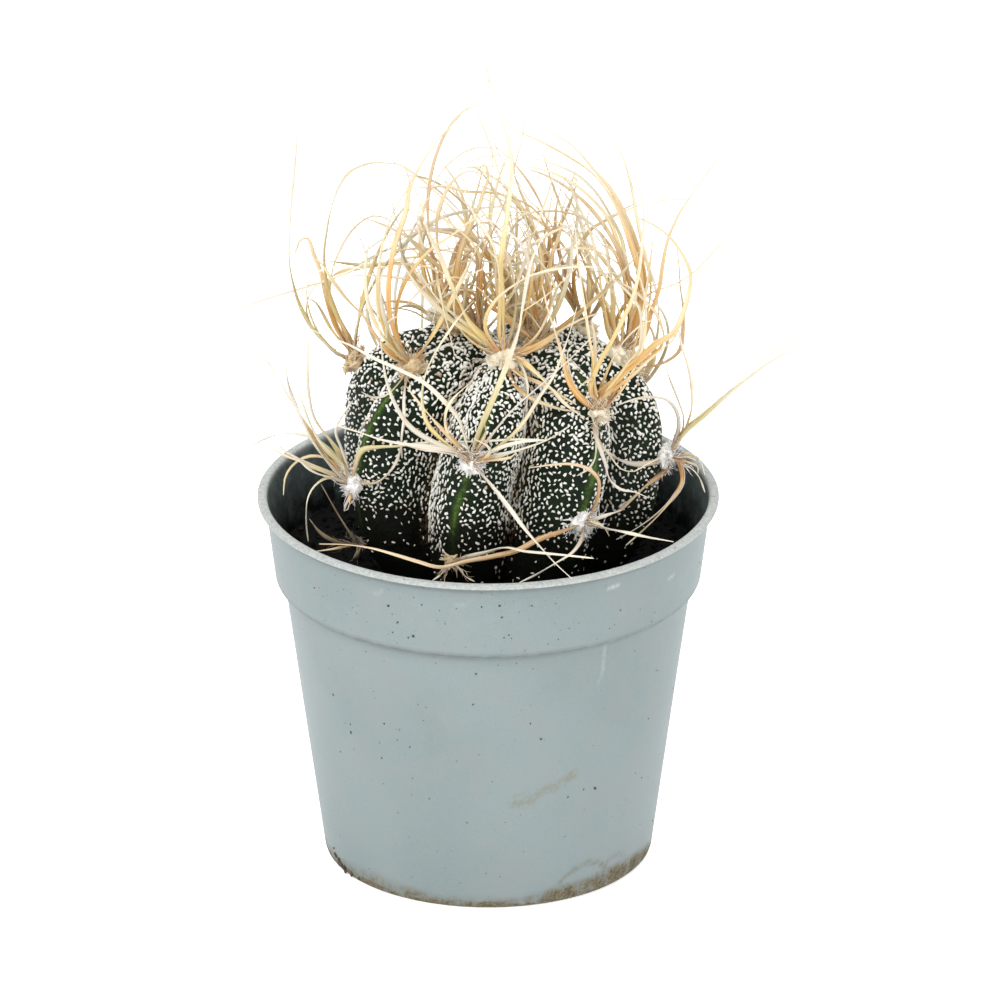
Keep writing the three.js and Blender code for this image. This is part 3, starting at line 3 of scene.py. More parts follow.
import bpy
import numpy as np
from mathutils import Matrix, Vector


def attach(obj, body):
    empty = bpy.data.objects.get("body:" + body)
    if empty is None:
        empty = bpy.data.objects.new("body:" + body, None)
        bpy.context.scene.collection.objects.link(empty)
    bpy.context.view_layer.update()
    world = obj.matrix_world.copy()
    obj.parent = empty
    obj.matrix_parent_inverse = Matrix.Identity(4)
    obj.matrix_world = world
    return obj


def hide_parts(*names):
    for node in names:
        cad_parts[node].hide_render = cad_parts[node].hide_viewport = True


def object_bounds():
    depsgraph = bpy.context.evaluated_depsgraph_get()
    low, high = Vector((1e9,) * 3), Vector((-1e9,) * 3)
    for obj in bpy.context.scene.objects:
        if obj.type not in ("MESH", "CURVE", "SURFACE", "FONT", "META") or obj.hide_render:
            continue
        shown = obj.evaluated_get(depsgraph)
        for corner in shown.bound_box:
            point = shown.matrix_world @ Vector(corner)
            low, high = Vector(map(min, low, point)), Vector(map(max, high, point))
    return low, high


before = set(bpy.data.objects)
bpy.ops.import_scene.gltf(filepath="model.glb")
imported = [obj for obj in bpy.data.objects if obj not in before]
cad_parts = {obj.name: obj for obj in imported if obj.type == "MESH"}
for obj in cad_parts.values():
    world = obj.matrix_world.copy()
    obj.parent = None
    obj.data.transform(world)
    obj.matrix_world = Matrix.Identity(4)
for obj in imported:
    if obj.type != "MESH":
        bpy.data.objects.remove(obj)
cad_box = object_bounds()
rng = np.random.default_rng(20817)
MM = 0.001

# ------------------------------------------------------------------ the plant's form (mm, degrees)
SOIL_LEVEL = 44.0
LEAN_RIGHT, LEAN_BACK = 5.0, 7.0
STEM_FOOT = np.array([0.2, 0.2, SOIL_LEVEL])
RIB_AZIMUTH = [-57.0, -12.0, 34.0, 81.0, 124.0, 168.0, 210.0, 252.0]
CREST = np.array([[0, -16], [2.2, -13], [5, -9], [10, -5], [14.8, -2.5], [17.8, 0],
                  [20.8, 4], [22.6, 10], [23.0, 17], [22.6, 21.3], [21.4, 24.9], [19.3, 27.9],
                  [16.2, 30.3], [12.4, 31.9], [8, 32.5], [4, 31.7], [0, 29.8]], float)
FURROW = np.array([[0, -16], [2.0, -13], [4, -9], [7.5, -5], [10, -2.5], [11.7, 0],
                   [13.2, 4], [14.2, 10], [14.3, 17], [13.8, 20.6], [12.8, 23.6], [11.2, 26.1],
                   [9.2, 28.1], [6.8, 29.4], [4.2, 30.0], [2, 30.0], [0, 29.8]], float)

# each areole: rib, station on the crest, wool radius, wool age (w white, c cream, t tan)
AREOLES = {
    "spines_rib1_low": (1, 6.00, 1.3, "w"),
    "spines_rib1_middle": (1, 7.35, 2.0, "w"),
    "spines_rib1_upper": (1, 11.70, 2.2, "t"),
    "spines_rib1_crown": (1, 14.50, 1.6, "t"),
    "spines_rib2_low": (2, 6.25, 1.3, "w"),
    "spines_rib2_middle": (2, 8.75, 1.9, "w"),
    "spines_rib2_upper": (2, 13.15, 2.6, "c"),
    "spines_rib3_middle": (3, 7.30, 1.8, "w"),
    "spines_rib3_upper": (3, 10.60, 2.1, "c"),
    "spines_rib3_crown": (3, 14.50, 1.6, "t"),
    "spines_rib4_middle": (4, 8.15, 2.1, "w"),
    "spines_rib4_upper": (4, 12.20, 2.4, "c"),
    "spines_rib5_middle": (5, 9.10, 1.9, "w"),
    "spines_rib5_upper": (5, 12.60, 2.2, "c"),
    "spines_rib5_crown": (5, 15.10, 1.7, "t"),
    "spines_rib6_low": (6, 6.60, 1.3, "w"),
    "spines_rib6_middle": (6, 9.80, 1.9, "w"),
    "spines_rib6_upper": (6, 13.20, 2.2, "t"),
    "spines_rib7_middle": (7, 8.30, 1.9, "w"),
    "spines_rib7_upper": (7, 12.20, 2.2, "c"),
    "spines_rib8_upper": (8, 10.10, 2.2, "t"),
    "spines_rib8_crown": (8, 14.00, 2.2, "t"),
}

# each spine: widest width, colour group, and the points it passes after its wool
SPINES = {
  "spines_rib1_crown": [
    [1.10, 'g', [-3.08, 0.74, 79.95, -4.77, 0.74, 82.38, -6.18, 0.45, 84.96, -6.54, -0.22, 87.79, -6.83, -1.06, 90.61, -7.17, -1.69, 93.48, -7.17, -2.12, 96.41, -6.50, -2.20, 99.29, -5.22, -1.90, 101.93, -2.90, -1.39, 103.51, -0.18, -1.14, 102.82]],
    [1.15, 'g', [-2.26, 1.04, 79.57, -3.82, 1.31, 81.16, -5.77, 1.36, 82.27, -7.80, 1.33, 83.11, -9.08, 1.80, 84.91, -10.25, 2.64, 86.65, -11.53, 3.63, 88.21]],
    [0.60, 'b', [-1.48, 0.38, 82.22, -1.43, -0.56, 86.73, -0.67, -1.56, 91.17, 0.92, -2.09, 95.46, 2.45, -2.68, 99.76, 3.42, -3.54, 104.19, 4.43, -4.65, 108.57, 5.20, -5.86, 112.96]],
    [1.05, 'g', [-2.63, 0.71, 79.48, -3.89, 0.78, 81.41, -4.80, 0.56, 83.51, -4.61, 0.35, 85.79, -4.36, 0.55, 88.07, -3.94, 0.95, 90.31, -3.16, 1.31, 92.45, -2.27, 1.61, 94.56, -1.33, 1.78, 96.66, -0.76, 1.83, 98.90, -0.00, 1.91, 101.07, -0.54, 2.56, 102.98, -1.86, 2.33, 101.31]],
    [0.60, 'b', [-1.19, 1.26, 80.61, -1.14, 1.60, 83.70, -1.23, 1.59, 86.81, -1.91, 1.60, 89.84, -3.85, 1.91, 92.13, -6.83, 2.33, 92.84, -9.78, 3.17, 92.46, -12.21, 4.19, 90.86, -14.47, 4.53, 88.75]],
    [0.60, 'b', [-0.68, 1.03, 80.20, -0.24, 1.59, 82.83, -0.59, 2.28, 85.44, -1.51, 2.64, 87.96, -3.93, 3.02, 89.10, -6.59, 3.22, 89.66, -9.31, 3.12, 89.93, -12.02, 2.84, 89.80, -14.61, 2.97, 88.94]],
    [0.65, 'g', [-1.30, -0.99, 80.97, -2.20, -2.35, 84.27, -4.06, -3.45, 87.23, -6.43, -4.92, 89.62, -9.37, -6.35, 91.30, -12.63, -7.82, 92.11, -15.92, -9.45, 92.05]],
    [0.82, 'm', [0.69, -0.86, 80.51, 2.22, -2.60, 83.47, 3.58, -4.22, 86.56, 4.68, -5.11, 90.04, 5.39, -7.23, 93.04, 5.63, -9.58, 95.97, 5.59, -11.88, 98.94, 5.21, -14.26, 101.84]],
    [0.69, 'b', [-2.10, 1.55, 80.15, -3.27, 2.55, 82.57, -4.45, 3.05, 85.14, -6.31, 4.37, 86.73, -8.37, 5.11, 88.46, -10.55, 4.89, 90.33, -12.95, 4.80, 91.92, -15.45, 4.45, 93.28, -18.00, 3.79, 94.45]],
  ],
  "spines_rib1_low": [
    [0.87, 'w', [-18.43, -11.35, 49.79, -18.58, -13.03, 49.73, -18.54, -14.60, 50.33, -18.25, -15.83, 51.45, -17.73, -16.52, 52.89]],
    [0.65, 'w', [-19.00, -11.27, 52.11, -20.01, -12.07, 54.06, -21.14, -12.16, 56.10, -22.30, -11.53, 58.03, -23.38, -10.08, 59.48]],
    [0.88, 'm', [-20.24, -10.71, 50.81, -22.13, -11.54, 51.77, -23.73, -12.12, 53.27, -25.00, -12.28, 55.15]],
  ],
  "spines_rib1_middle": [
    [0.85, 'w', [-22.31, -11.01, 63.15, -24.67, -12.26, 67.27, -26.49, -13.29, 71.71, -27.93, -13.96, 76.34, -28.32, -14.84, 81.15, -28.55, -15.96, 85.93]],
    [0.95, 'm', [-20.53, -10.69, 62.84, -22.67, -11.86, 65.58, -24.26, -13.12, 68.66, -25.45, -14.14, 72.00, -26.43, -14.87, 75.49]],
    [0.90, 'm', [-20.34, -9.58, 63.06, -22.25, -9.54, 66.27, -24.31, -9.59, 69.39, -25.15, -8.83, 72.91, -25.32, -7.77, 76.49, -25.14, -6.60, 80.05]],
    [0.75, 'c', [-22.11, -11.03, 61.65, -25.17, -12.21, 63.51, -27.97, -13.33, 65.78, -30.63, -14.12, 68.32, -32.59, -14.72, 71.49]],
    [0.55, 'm', [-20.54, -9.47, 62.24, -22.41, -9.05, 64.59, -24.97, -8.74, 66.21, -27.94, -8.25, 66.56, -30.87, -7.93, 65.84, -33.51, -8.25, 64.34]],
    [0.70, 'w', [-21.91, -11.27, 61.05, -24.62, -12.53, 62.64, -26.75, -13.54, 65.06]],
    [0.65, 'w', [-19.76, -10.31, 62.62, -20.62, -10.99, 65.63, -21.35, -12.02, 68.55, -20.46, -13.27, 71.36, -19.03, -14.31, 74.04]],
    [0.90, 'c', [-18.73, -10.56, 62.43, -17.75, -11.30, 65.23, -15.28, -12.67, 66.40, -12.63, -14.03, 67.17, -9.70, -14.67, 67.88, -6.83, -15.60, 68.49, -4.36, -17.27, 69.25, -1.87, -18.93, 69.94, 1.13, -18.69, 70.01, 4.18, -18.36, 70.02, 7.21, -18.89, 70.22]],
    [0.80, 'c', [-17.66, -10.94, 60.16, -15.83, -11.73, 60.51, -14.27, -12.03, 61.82, -13.13, -12.35, 63.52, -12.42, -12.59, 65.44, -12.05, -12.39, 67.46]],
    [0.50, 'm', [-21.03, -10.10, 60.57, -22.95, -10.45, 60.61, -24.57, -10.77, 59.36, -25.38, -10.84, 57.47, -25.54, -10.75, 55.40, -25.49, -10.72, 53.31, -25.27, -10.75, 51.24]],
    [0.40, 'w', [-19.39, -10.45, 58.96, -19.52, -11.01, 58.38, -19.71, -11.49, 57.75, -20.03, -11.88, 57.11, -20.18, -12.23, 56.41, -19.75, -12.29, 56.58, -19.50, -12.21, 57.35]],
  ],
  "spines_rib1_upper": [
    [0.95, 'g', [-13.63, -8.43, 78.75, -15.70, -9.14, 81.82, -17.47, -9.85, 85.08, -19.79, -10.42, 88.01, -21.76, -11.20, 91.14, -23.42, -12.39, 94.32, -25.81, -13.87, 96.83]],
    [1.05, 'g', [-12.63, -7.84, 80.40, -13.72, -8.50, 84.49, -13.98, -9.28, 88.68, -13.65, -10.07, 92.88, -12.88, -10.81, 97.02, -11.60, -11.23, 101.08, -10.85, -11.06, 105.29, -8.98, -10.70, 109.11, -6.60, -10.59, 112.67, -3.87, -11.02, 115.92, -1.85, -11.59, 119.65]],
    [0.75, 'c', [-13.07, -7.51, 78.82, -14.34, -7.47, 81.78, -15.17, -7.50, 84.90, -15.47, -7.37, 88.10, -15.24, -7.06, 91.30, -14.84, -6.77, 94.49, -13.96, -6.27, 97.55, -12.66, -5.90, 100.47, -11.06, -5.68, 103.26, -11.62, -5.03, 106.00]],
    [0.55, 'w', [-11.47, -9.52, 75.22, -11.81, -11.33, 73.20, -11.78, -12.36, 70.65, -12.12, -13.01, 67.98, -12.07, -13.81, 65.33]],
    [0.85, 'c', [-13.10, -9.88, 79.85, -14.99, -12.26, 83.55, -16.34, -14.42, 87.62, -17.06, -16.39, 91.94, -17.12, -18.24, 96.37, -16.49, -20.02, 100.78]],
    [0.81, 'c', [-8.73, -7.64, 79.70, -6.84, -7.15, 82.88, -5.09, -5.81, 85.90, -3.49, -3.73, 88.52, -2.16, -0.68, 90.23, -0.89, 2.65, 91.34, 0.16, 6.23, 91.40]],
  ],
  "spines_rib2_low": [
    [0.50, 'w', [-5.87, -21.45, 51.65, -6.69, -22.32, 51.07, -7.73, -22.93, 50.54]],
    [0.50, 'w', [-4.15, -21.51, 51.78, -3.28, -22.48, 50.99, -2.00, -23.05, 50.43]],
    [0.60, 'w', [-2.89, -22.35, 53.81, -0.23, -24.00, 55.26, 2.39, -25.66, 56.73, 4.92, -27.96, 57.18, 7.87, -29.70, 57.62, 11.23, -30.58, 57.64, 14.58, -31.47, 57.63]],
  ],
  "spines_rib2_middle": [
    [0.65, 'w', [-3.14, -21.78, 71.24, -4.11, -22.97, 75.05, -6.19, -24.17, 78.37, -8.87, -24.89, 81.37, -12.29, -25.41, 83.59, -15.84, -25.97, 85.58, -19.27, -26.45, 87.81, -22.96, -26.93, 89.56, -26.56, -27.28, 91.41]],
    [0.75, 'w', [-4.93, -21.98, 69.91, -7.98, -23.27, 71.93, -10.92, -23.92, 74.37, -12.95, -23.71, 77.64, -14.22, -23.23, 81.27, -14.78, -23.21, 85.11, -15.13, -23.62, 88.96, -15.60, -24.16, 92.78, -16.15, -24.58, 96.61]],
    [0.75, 'b', [-4.46, -22.01, 70.92, -6.91, -23.31, 74.28, -9.17, -24.82, 77.69, -11.31, -26.10, 81.28]],
    [0.95, 'c', [-1.60, -22.29, 71.98, -0.22, -24.04, 76.44, 1.33, -25.50, 80.96, 2.88, -26.50, 85.60, 4.15, -27.82, 90.24, 4.80, -29.55, 94.88, 5.39, -31.38, 99.48, 6.28, -33.11, 104.07, 8.12, -34.67, 108.44]],
    [0.65, 'w', [-0.59, -21.93, 70.63, 1.38, -22.98, 73.94, 3.66, -23.72, 77.12, 6.51, -23.85, 79.90, 9.36, -24.04, 82.68, 11.97, -24.77, 85.59, 14.41, -25.64, 88.62]],
    [0.55, 'c', [0.25, -22.30, 69.84, 2.93, -23.66, 72.51, 5.21, -24.56, 75.75, 7.14, -24.92, 79.30, 9.20, -25.28, 82.78, 10.40, -26.03, 86.58, 11.46, -27.06, 90.36, 12.31, -28.15, 94.19]],
    [0.85, 'w', [-4.70, -22.03, 69.75, -7.82, -23.40, 71.05, -11.29, -24.31, 71.81, -14.81, -24.80, 72.72, -18.13, -25.36, 74.17, -21.33, -26.35, 75.65]],
    [1.00, 'w', [-0.03, -22.27, 68.77, 2.67, -23.57, 70.18, 5.61, -24.35, 71.47, 8.62, -24.57, 72.83, 11.38, -24.30, 74.63]],
    [0.75, 'w', [-0.33, -22.09, 69.33, 2.08, -23.42, 71.13, 4.86, -24.63, 72.39, 7.89, -25.68, 73.09]],
    [0.80, 'w', [-0.83, -23.19, 66.72, 1.07, -25.49, 65.33, 3.06, -26.81, 63.08, 5.02, -27.73, 60.58, 7.16, -28.47, 58.17, 9.34, -29.92, 56.20, 11.66, -31.64, 54.59]],
    [0.70, 'b', [-1.71, -21.31, 69.43, -0.84, -22.12, 71.40, -0.30, -22.82, 73.52, -1.16, -23.54, 75.52]],
    [0.70, 'w', [-4.34, -21.89, 69.09, -6.82, -23.08, 70.16, -9.55, -23.88, 70.99, -12.30, -24.43, 71.96]],
  ],
  "spines_rib2_upper": [
    [1.05, 'c', [-0.43, -8.58, 81.14, -2.72, -9.73, 84.33, -4.18, -11.04, 87.97, -5.45, -12.30, 91.70, -6.61, -13.43, 95.50, -8.15, -14.31, 99.23, -9.16, -14.78, 103.21, -10.46, -15.14, 107.12, -12.27, -15.56, 110.77]],
    [0.70, 'c', [-0.84, -8.48, 80.97, -4.13, -9.39, 83.55, -7.20, -10.33, 86.36, -9.75, -10.83, 89.74, -11.90, -10.74, 93.42]],
    [0.85, 'c', [2.13, -8.12, 83.05, 1.92, -8.95, 87.96, 1.71, -9.76, 92.87, 2.28, -10.23, 97.79, 2.91, -10.36, 102.73, 3.29, -10.24, 107.70, 2.56, -10.14, 112.62, 1.31, -10.28, 117.44, -0.12, -10.61, 122.20, -1.64, -11.04, 126.93]],
    [0.60, 'c', [1.53, -8.31, 81.79, 1.57, -9.16, 85.50, 1.60, -10.17, 89.18, 1.40, -10.64, 92.95, 0.51, -10.39, 96.61, -1.58, -10.12, 99.79, -2.97, -10.27, 103.28, -3.52, -10.82, 107.02]],
    [1.10, 'g', [5.15, -8.69, 79.24, 7.89, -9.42, 81.00, 10.31, -10.17, 83.16, 13.02, -10.62, 84.98, 16.15, -10.61, 86.11]],
    [1.15, 'g', [3.26, -9.22, 77.07, 4.89, -10.24, 76.33, 6.78, -10.88, 75.58, 8.69, -11.18, 74.71, 10.45, -11.35, 73.51, 12.26, -11.98, 72.61]],
    [0.90, 'c', [4.60, -9.59, 78.24, 6.75, -11.44, 77.16, 8.79, -12.73, 75.27, 10.92, -13.71, 73.29, 13.37, -14.87, 71.85]],
    [0.80, 'g', [2.80, -9.76, 76.83, 3.76, -11.38, 75.23, 5.65, -11.96, 73.76, 7.93, -12.33, 72.79, 10.29, -12.96, 72.26, 12.67, -13.74, 72.28]],
    [0.51, 'm', [3.34, -5.81, 81.05, 3.84, -3.59, 83.95, 3.56, -2.33, 87.38, 2.69, -0.52, 90.46, 1.12, 1.30, 93.25, -0.94, 3.20, 95.64, -3.49, 5.10, 97.50, -6.36, 7.02, 98.76]],
    [0.84, 'm', [-1.74, -8.13, 80.93, -5.48, -8.01, 84.07, -8.88, -7.33, 87.51, -11.84, -6.16, 91.21, -14.28, -4.60, 95.15]],
  ],
  "spines_rib3_crown": [
    [0.45, 'c', [4.27, -0.12, 79.59, 1.93, -0.41, 82.47, 1.12, -0.64, 86.07, 1.00, -0.32, 89.78, 0.13, 0.36, 93.33, -1.97, 0.87, 96.34, -4.49, 1.08, 99.08, -6.92, 1.07, 101.91]],
    [1.15, 'g', [7.79, 0.33, 79.81, 8.71, 0.27, 82.67, 8.66, -0.33, 85.60, 7.90, -1.26, 88.35, 6.60, -1.55, 91.05, 5.55, -2.18, 93.80]],
    [1.10, 'g', [6.94, 0.71, 80.39, 6.31, 0.60, 83.85, 5.46, -0.24, 87.17, 4.27, -0.76, 90.46, 3.73, -1.02, 93.93]],
    [0.52, 'c', [6.19, 2.25, 80.37, 5.35, 3.88, 84.16, 4.36, 4.92, 88.11, 3.19, 5.10, 92.15, 1.84, 4.45, 96.09, 0.24, 3.19, 99.77, -1.51, 1.09, 102.96, -3.30, -1.72, 105.53]],
    [0.60, 'c', [9.80, 0.65, 78.65, 12.53, 0.83, 80.73, 14.96, 0.32, 83.10, 16.97, -0.85, 85.62, 18.48, -2.64, 88.13, 19.41, -4.97, 90.47, 19.73, -7.72, 92.50]],
    [0.88, 'm', [8.73, -1.21, 80.74, 10.14, -2.61, 84.58, 11.11, -4.30, 88.44, 11.60, -6.25, 92.28, 11.61, -8.40, 96.03, 11.13, -10.70, 99.67]],
    [0.78, 'g', [3.92, 1.36, 78.78, 1.00, 3.09, 80.49, -1.83, 2.84, 82.86, -4.36, 1.90, 85.53, -7.04, 1.09, 88.10, -9.28, -0.27, 90.84, -11.11, -2.04, 93.67, -12.38, -4.24, 96.49, -13.03, -6.87, 99.17, -13.38, -9.29, 102.07]],
  ],
  "spines_rib3_middle": [
    [0.85, 'b', [10.45, -21.20, 57.31, 7.19, -23.17, 56.98, 3.99, -25.04, 55.98, 0.56, -26.65, 55.76, -3.13, -27.65, 55.45, -6.66, -29.04, 55.17, -10.00, -30.20, 56.62, -13.23, -31.48, 58.24, -16.49, -32.78, 59.78, -19.89, -34.17, 60.88, -23.40, -35.54, 61.57]],
    [0.60, 'w', [13.11, -21.43, 56.25, 11.73, -23.70, 55.09, 9.45, -25.32, 54.21, 6.98, -26.48, 53.10, 4.42, -27.63, 52.25]],
    [0.75, 'w', [14.91, -20.00, 58.54, 16.65, -21.08, 59.70, 18.52, -22.00, 60.77]],
    [0.60, 'w', [16.07, -21.13, 57.78, 19.19, -23.02, 57.89, 22.49, -24.60, 57.80, 25.76, -26.24, 57.88]],
    [0.70, 'b', [14.60, -19.93, 59.79, 15.32, -20.95, 62.50, 15.40, -21.93, 65.34, 13.94, -23.10, 67.60, 11.46, -24.22, 68.81, 8.63, -25.18, 69.07, 5.81, -26.22, 69.09]],
  ],
  "spines_rib3_upper": [
    [0.60, 'c', [14.29, -14.25, 75.93, 15.32, -15.73, 80.01, 16.98, -17.24, 83.97, 18.66, -18.51, 88.00, 20.18, -19.59, 92.15, 21.01, -20.59, 96.51, 21.42, -21.62, 100.92, 21.65, -22.71, 105.33, 21.20, -23.85, 109.70, 19.96, -24.93, 113.94, 18.25, -25.67, 118.08, 16.01, -26.19, 122.01]],
    [1.10, 'g', [15.65, -13.80, 74.97, 17.57, -15.10, 77.26, 19.39, -16.30, 79.74, 21.41, -17.50, 82.06, 23.36, -18.39, 84.53, 25.84, -19.21, 86.56, 27.09, -19.57, 89.51, 27.90, -19.88, 92.70, 28.17, -20.23, 95.93, 27.07, -20.72, 99.00, 25.39, -21.40, 101.75, 23.20, -22.29, 104.05, 20.63, -23.39, 105.81]],
    [0.90, 'g', [16.25, -13.46, 74.42, 18.13, -14.07, 76.28, 20.16, -14.45, 78.06, 21.97, -14.70, 80.07, 23.97, -14.72, 81.91, 25.92, -14.92, 83.80, 26.86, -15.37, 86.29]],
    [0.85, 'c', [14.77, -13.95, 76.12, 14.66, -15.14, 80.47, 14.07, -16.44, 84.75, 13.53, -17.27, 89.16, 12.96, -17.99, 93.58, 12.47, -18.70, 98.01, 12.13, -19.46, 102.45]],
    [1.00, 'g', [13.03, -14.43, 74.51, 11.20, -15.63, 77.88, 10.41, -16.72, 81.76, 9.42, -17.34, 85.69, 8.30, -17.89, 89.60, 7.61, -18.92, 93.50]],
    [1.00, 'b', [14.66, -13.37, 74.50, 14.67, -13.62, 77.35, 14.86, -13.82, 80.24, 14.92, -13.78, 83.13, 14.47, -12.74, 85.79]],
    [0.65, 'w', [14.90, -14.71, 71.08, 15.02, -16.45, 69.81, 15.73, -17.79, 68.22, 16.39, -18.71, 66.35, 17.00, -19.48, 64.39, 18.50, -20.52, 63.35, 20.45, -21.53, 63.39, 22.28, -22.68, 63.04]],
    [0.60, 'w', [15.06, -14.37, 71.09, 15.15, -15.76, 69.88, 15.12, -16.92, 68.47, 14.94, -17.17, 66.65, 14.06, -17.33, 65.11, 12.53, -17.29, 64.08]],
    [0.68, 'c', [18.47, -11.46, 74.36, 20.49, -10.23, 77.55, 21.69, -9.36, 81.23, 22.05, -9.02, 85.16, 21.62, -9.32, 89.10, 20.50, -10.34, 92.77, 18.87, -12.07, 95.94]],
  ],
  "spines_rib4_middle": [
    [0.85, 'c', [27.49, -2.06, 63.82, 30.20, -3.26, 67.06, 32.86, -4.57, 70.32, 35.83, -5.64, 73.38, 38.87, -6.70, 76.38, 42.25, -7.89, 78.93, 45.93, -9.18, 80.97]],
    [0.75, 'c', [27.51, -1.18, 63.80, 30.49, -1.49, 67.01, 33.65, -1.69, 70.07, 36.78, -1.50, 73.17, 40.05, -1.30, 76.10, 43.60, -1.07, 78.70]],
    [0.65, 'm', [27.35, -1.33, 63.48, 28.48, -1.76, 67.28, 28.61, -2.76, 71.18, 27.99, -3.73, 75.04, 27.03, -4.80, 78.81, 26.53, -5.48, 82.76]],
    [0.55, 'c', [26.84, -0.83, 62.43, 27.51, -0.10, 65.14, 26.69, 0.17, 67.98, 25.65, 0.35, 70.76, 24.73, 0.47, 73.59]],
    [0.60, 'w', [26.15, -1.63, 62.40, 26.76, -1.71, 64.83, 26.43, -1.99, 67.29, 25.05, -2.53, 69.25, 22.71, -3.06, 69.89, 20.25, -3.39, 69.62, 17.89, -3.83, 68.86]],
    [0.85, 'w', [24.01, -3.10, 60.14, 22.87, -4.59, 60.49, 21.17, -5.45, 60.66, 19.38, -5.92, 61.17, 18.00, -6.67, 62.07, 17.58, -8.28, 63.02, 17.33, -9.96, 63.91, 17.11, -11.65, 64.81, 16.90, -13.33, 65.71, 16.63, -14.98, 66.67, 16.09, -16.34, 67.85, 15.23, -15.02, 68.67]],
    [0.75, 'b', [25.40, -2.57, 59.42, 24.51, -3.59, 58.46, 23.31, -4.63, 57.98, 22.14, -5.65, 57.40, 20.95, -6.50, 56.60, 19.74, -7.13, 55.65, 18.56, -7.54, 54.57, 17.02, -7.75, 53.97, 15.39, -7.84, 53.67]],
    [0.70, 'w', [27.09, -3.16, 59.56, 27.29, -4.91, 57.69, 25.98, -6.24, 55.91, 24.20, -7.31, 54.35, 22.25, -8.59, 53.22, 20.19, -9.92, 52.37, 18.04, -11.19, 51.66]],
    [0.50, 'm', [26.95, -1.67, 60.16, 28.66, -1.58, 60.12, 29.95, -1.67, 59.12, 30.42, -1.78, 57.48]],
    [0.45, 'w', [27.54, -2.48, 59.41, 29.47, -3.19, 57.97, 30.42, -3.62, 55.67]],
  ],
  "spines_rib4_upper": [
    [0.60, 'm', [19.76, 3.63, 77.25, 20.05, 3.45, 80.79, 19.91, 3.00, 84.33, 19.32, 2.87, 87.85, 18.67, 3.44, 91.30, 17.14, 4.36, 94.37, 15.29, 5.11, 97.32, 12.86, 5.21, 99.92, 9.99, 4.45, 101.84, 6.91, 3.40, 103.31, 3.60, 2.67, 104.37, 0.06, 2.57, 104.15, -3.26, 3.10, 102.96]],
    [0.65, 'c', [19.00, 3.46, 78.12, 19.27, 3.20, 82.39, 19.03, 3.01, 86.66, 18.16, 3.02, 90.86, 16.69, 2.57, 94.85, 14.35, 1.59, 98.30, 11.43, 0.45, 101.22, 7.89, -0.59, 103.37, 3.74, -1.07, 104.20, -0.50, -0.64, 103.98, -4.51, 0.58, 103.09]],
    [1.20, 'g', [20.41, 3.64, 77.75, 21.35, 3.41, 81.89, 21.27, 3.05, 86.13, 20.17, 2.95, 90.24, 18.87, 2.92, 94.30, 17.03, 2.84, 98.13, 14.53, 2.71, 101.58, 11.21, 2.45, 104.19, 7.58, 2.28, 106.40, 3.73, 2.41, 108.23]],
    [1.00, 'g', [20.62, 3.67, 77.61, 21.73, 3.60, 81.68, 21.82, 3.57, 85.87, 20.88, 4.13, 89.94, 19.35, 5.03, 93.77, 17.38, 5.99, 97.38, 14.68, 6.75, 100.53, 11.91, 7.42, 103.62, 8.36, 7.81, 105.87]],
    [0.85, 'g', [21.68, 2.78, 76.51, 22.82, 2.17, 80.52, 23.93, 1.27, 84.49, 24.45, 0.62, 88.62, 25.23, 0.15, 92.74, 26.76, -0.24, 96.65, 28.89, -0.69, 100.27, 31.07, -1.25, 103.84, 33.17, -1.92, 107.44]],
    [0.75, 'b', [21.19, 2.15, 72.23, 24.30, 2.12, 72.75, 26.81, 2.30, 74.63, 27.35, 2.54, 77.74, 27.38, 2.68, 80.94, 26.97, 2.78, 84.12, 26.77, 2.87, 87.32, 26.43, 3.00, 90.50, 26.28, 3.19, 93.70]],
    [0.45, 'c', [19.71, 3.67, 77.12, 20.64, 3.56, 80.42, 22.53, 3.00, 83.01, 25.65, 2.69, 84.41, 28.55, 2.68, 86.22, 30.89, 2.72, 88.73, 33.14, 2.71, 91.32]],
    [0.95, 'c', [17.63, 3.53, 77.72, 17.52, 3.16, 81.76, 17.18, 2.56, 85.76, 16.57, 2.69, 89.77, 16.06, 2.99, 93.78]],
    [0.70, 'c', [17.02, 3.35, 76.67, 16.38, 3.07, 79.94, 15.94, 2.45, 83.20, 15.59, 2.06, 86.51, 15.02, 2.23, 89.80, 14.16, 2.72, 93.00, 12.84, 2.82, 96.07, 11.65, 2.80, 99.20, 12.40, 2.52, 102.30]],
    [0.93, 'b', [19.76, 2.36, 77.41, 20.11, 1.83, 81.20, 19.76, 1.80, 85.03, 18.73, 2.25, 88.70, 17.07, 3.13, 92.05, 14.83, 4.39, 94.90, 12.11, 5.95, 97.12, 9.03, 7.71, 98.61, 5.72, 9.54, 99.30]],
    [0.63, 'g', [17.18, 5.78, 77.25, 15.47, 7.79, 80.86, 13.69, 9.29, 84.69, 11.94, 10.28, 88.68, 10.30, 10.74, 92.82, 8.85, 10.71, 97.06, 7.67, 10.24, 101.35]],
  ],
  "spines_rib5_crown": [
    [0.80, 'g', [6.62, 6.28, 78.54, 7.69, 6.24, 81.58, 8.37, 6.05, 84.72, 9.01, 6.05, 87.88, 10.09, 6.61, 90.80, 10.42, 8.19, 93.55, 11.33, 9.04, 96.52, 12.15, 9.44, 99.61]],
    [0.75, 'g', [6.87, 6.21, 78.56, 8.21, 6.20, 81.62, 8.91, 6.23, 84.89, 9.07, 6.33, 88.22, 8.25, 6.58, 91.44, 6.47, 7.43, 94.03, 3.59, 8.24, 95.43, 0.38, 8.10, 96.33, -2.95, 8.15, 96.46, -6.14, 9.01, 96.88, -9.31, 9.83, 96.36, -12.56, 10.46, 96.06, -15.82, 10.79, 96.70]],
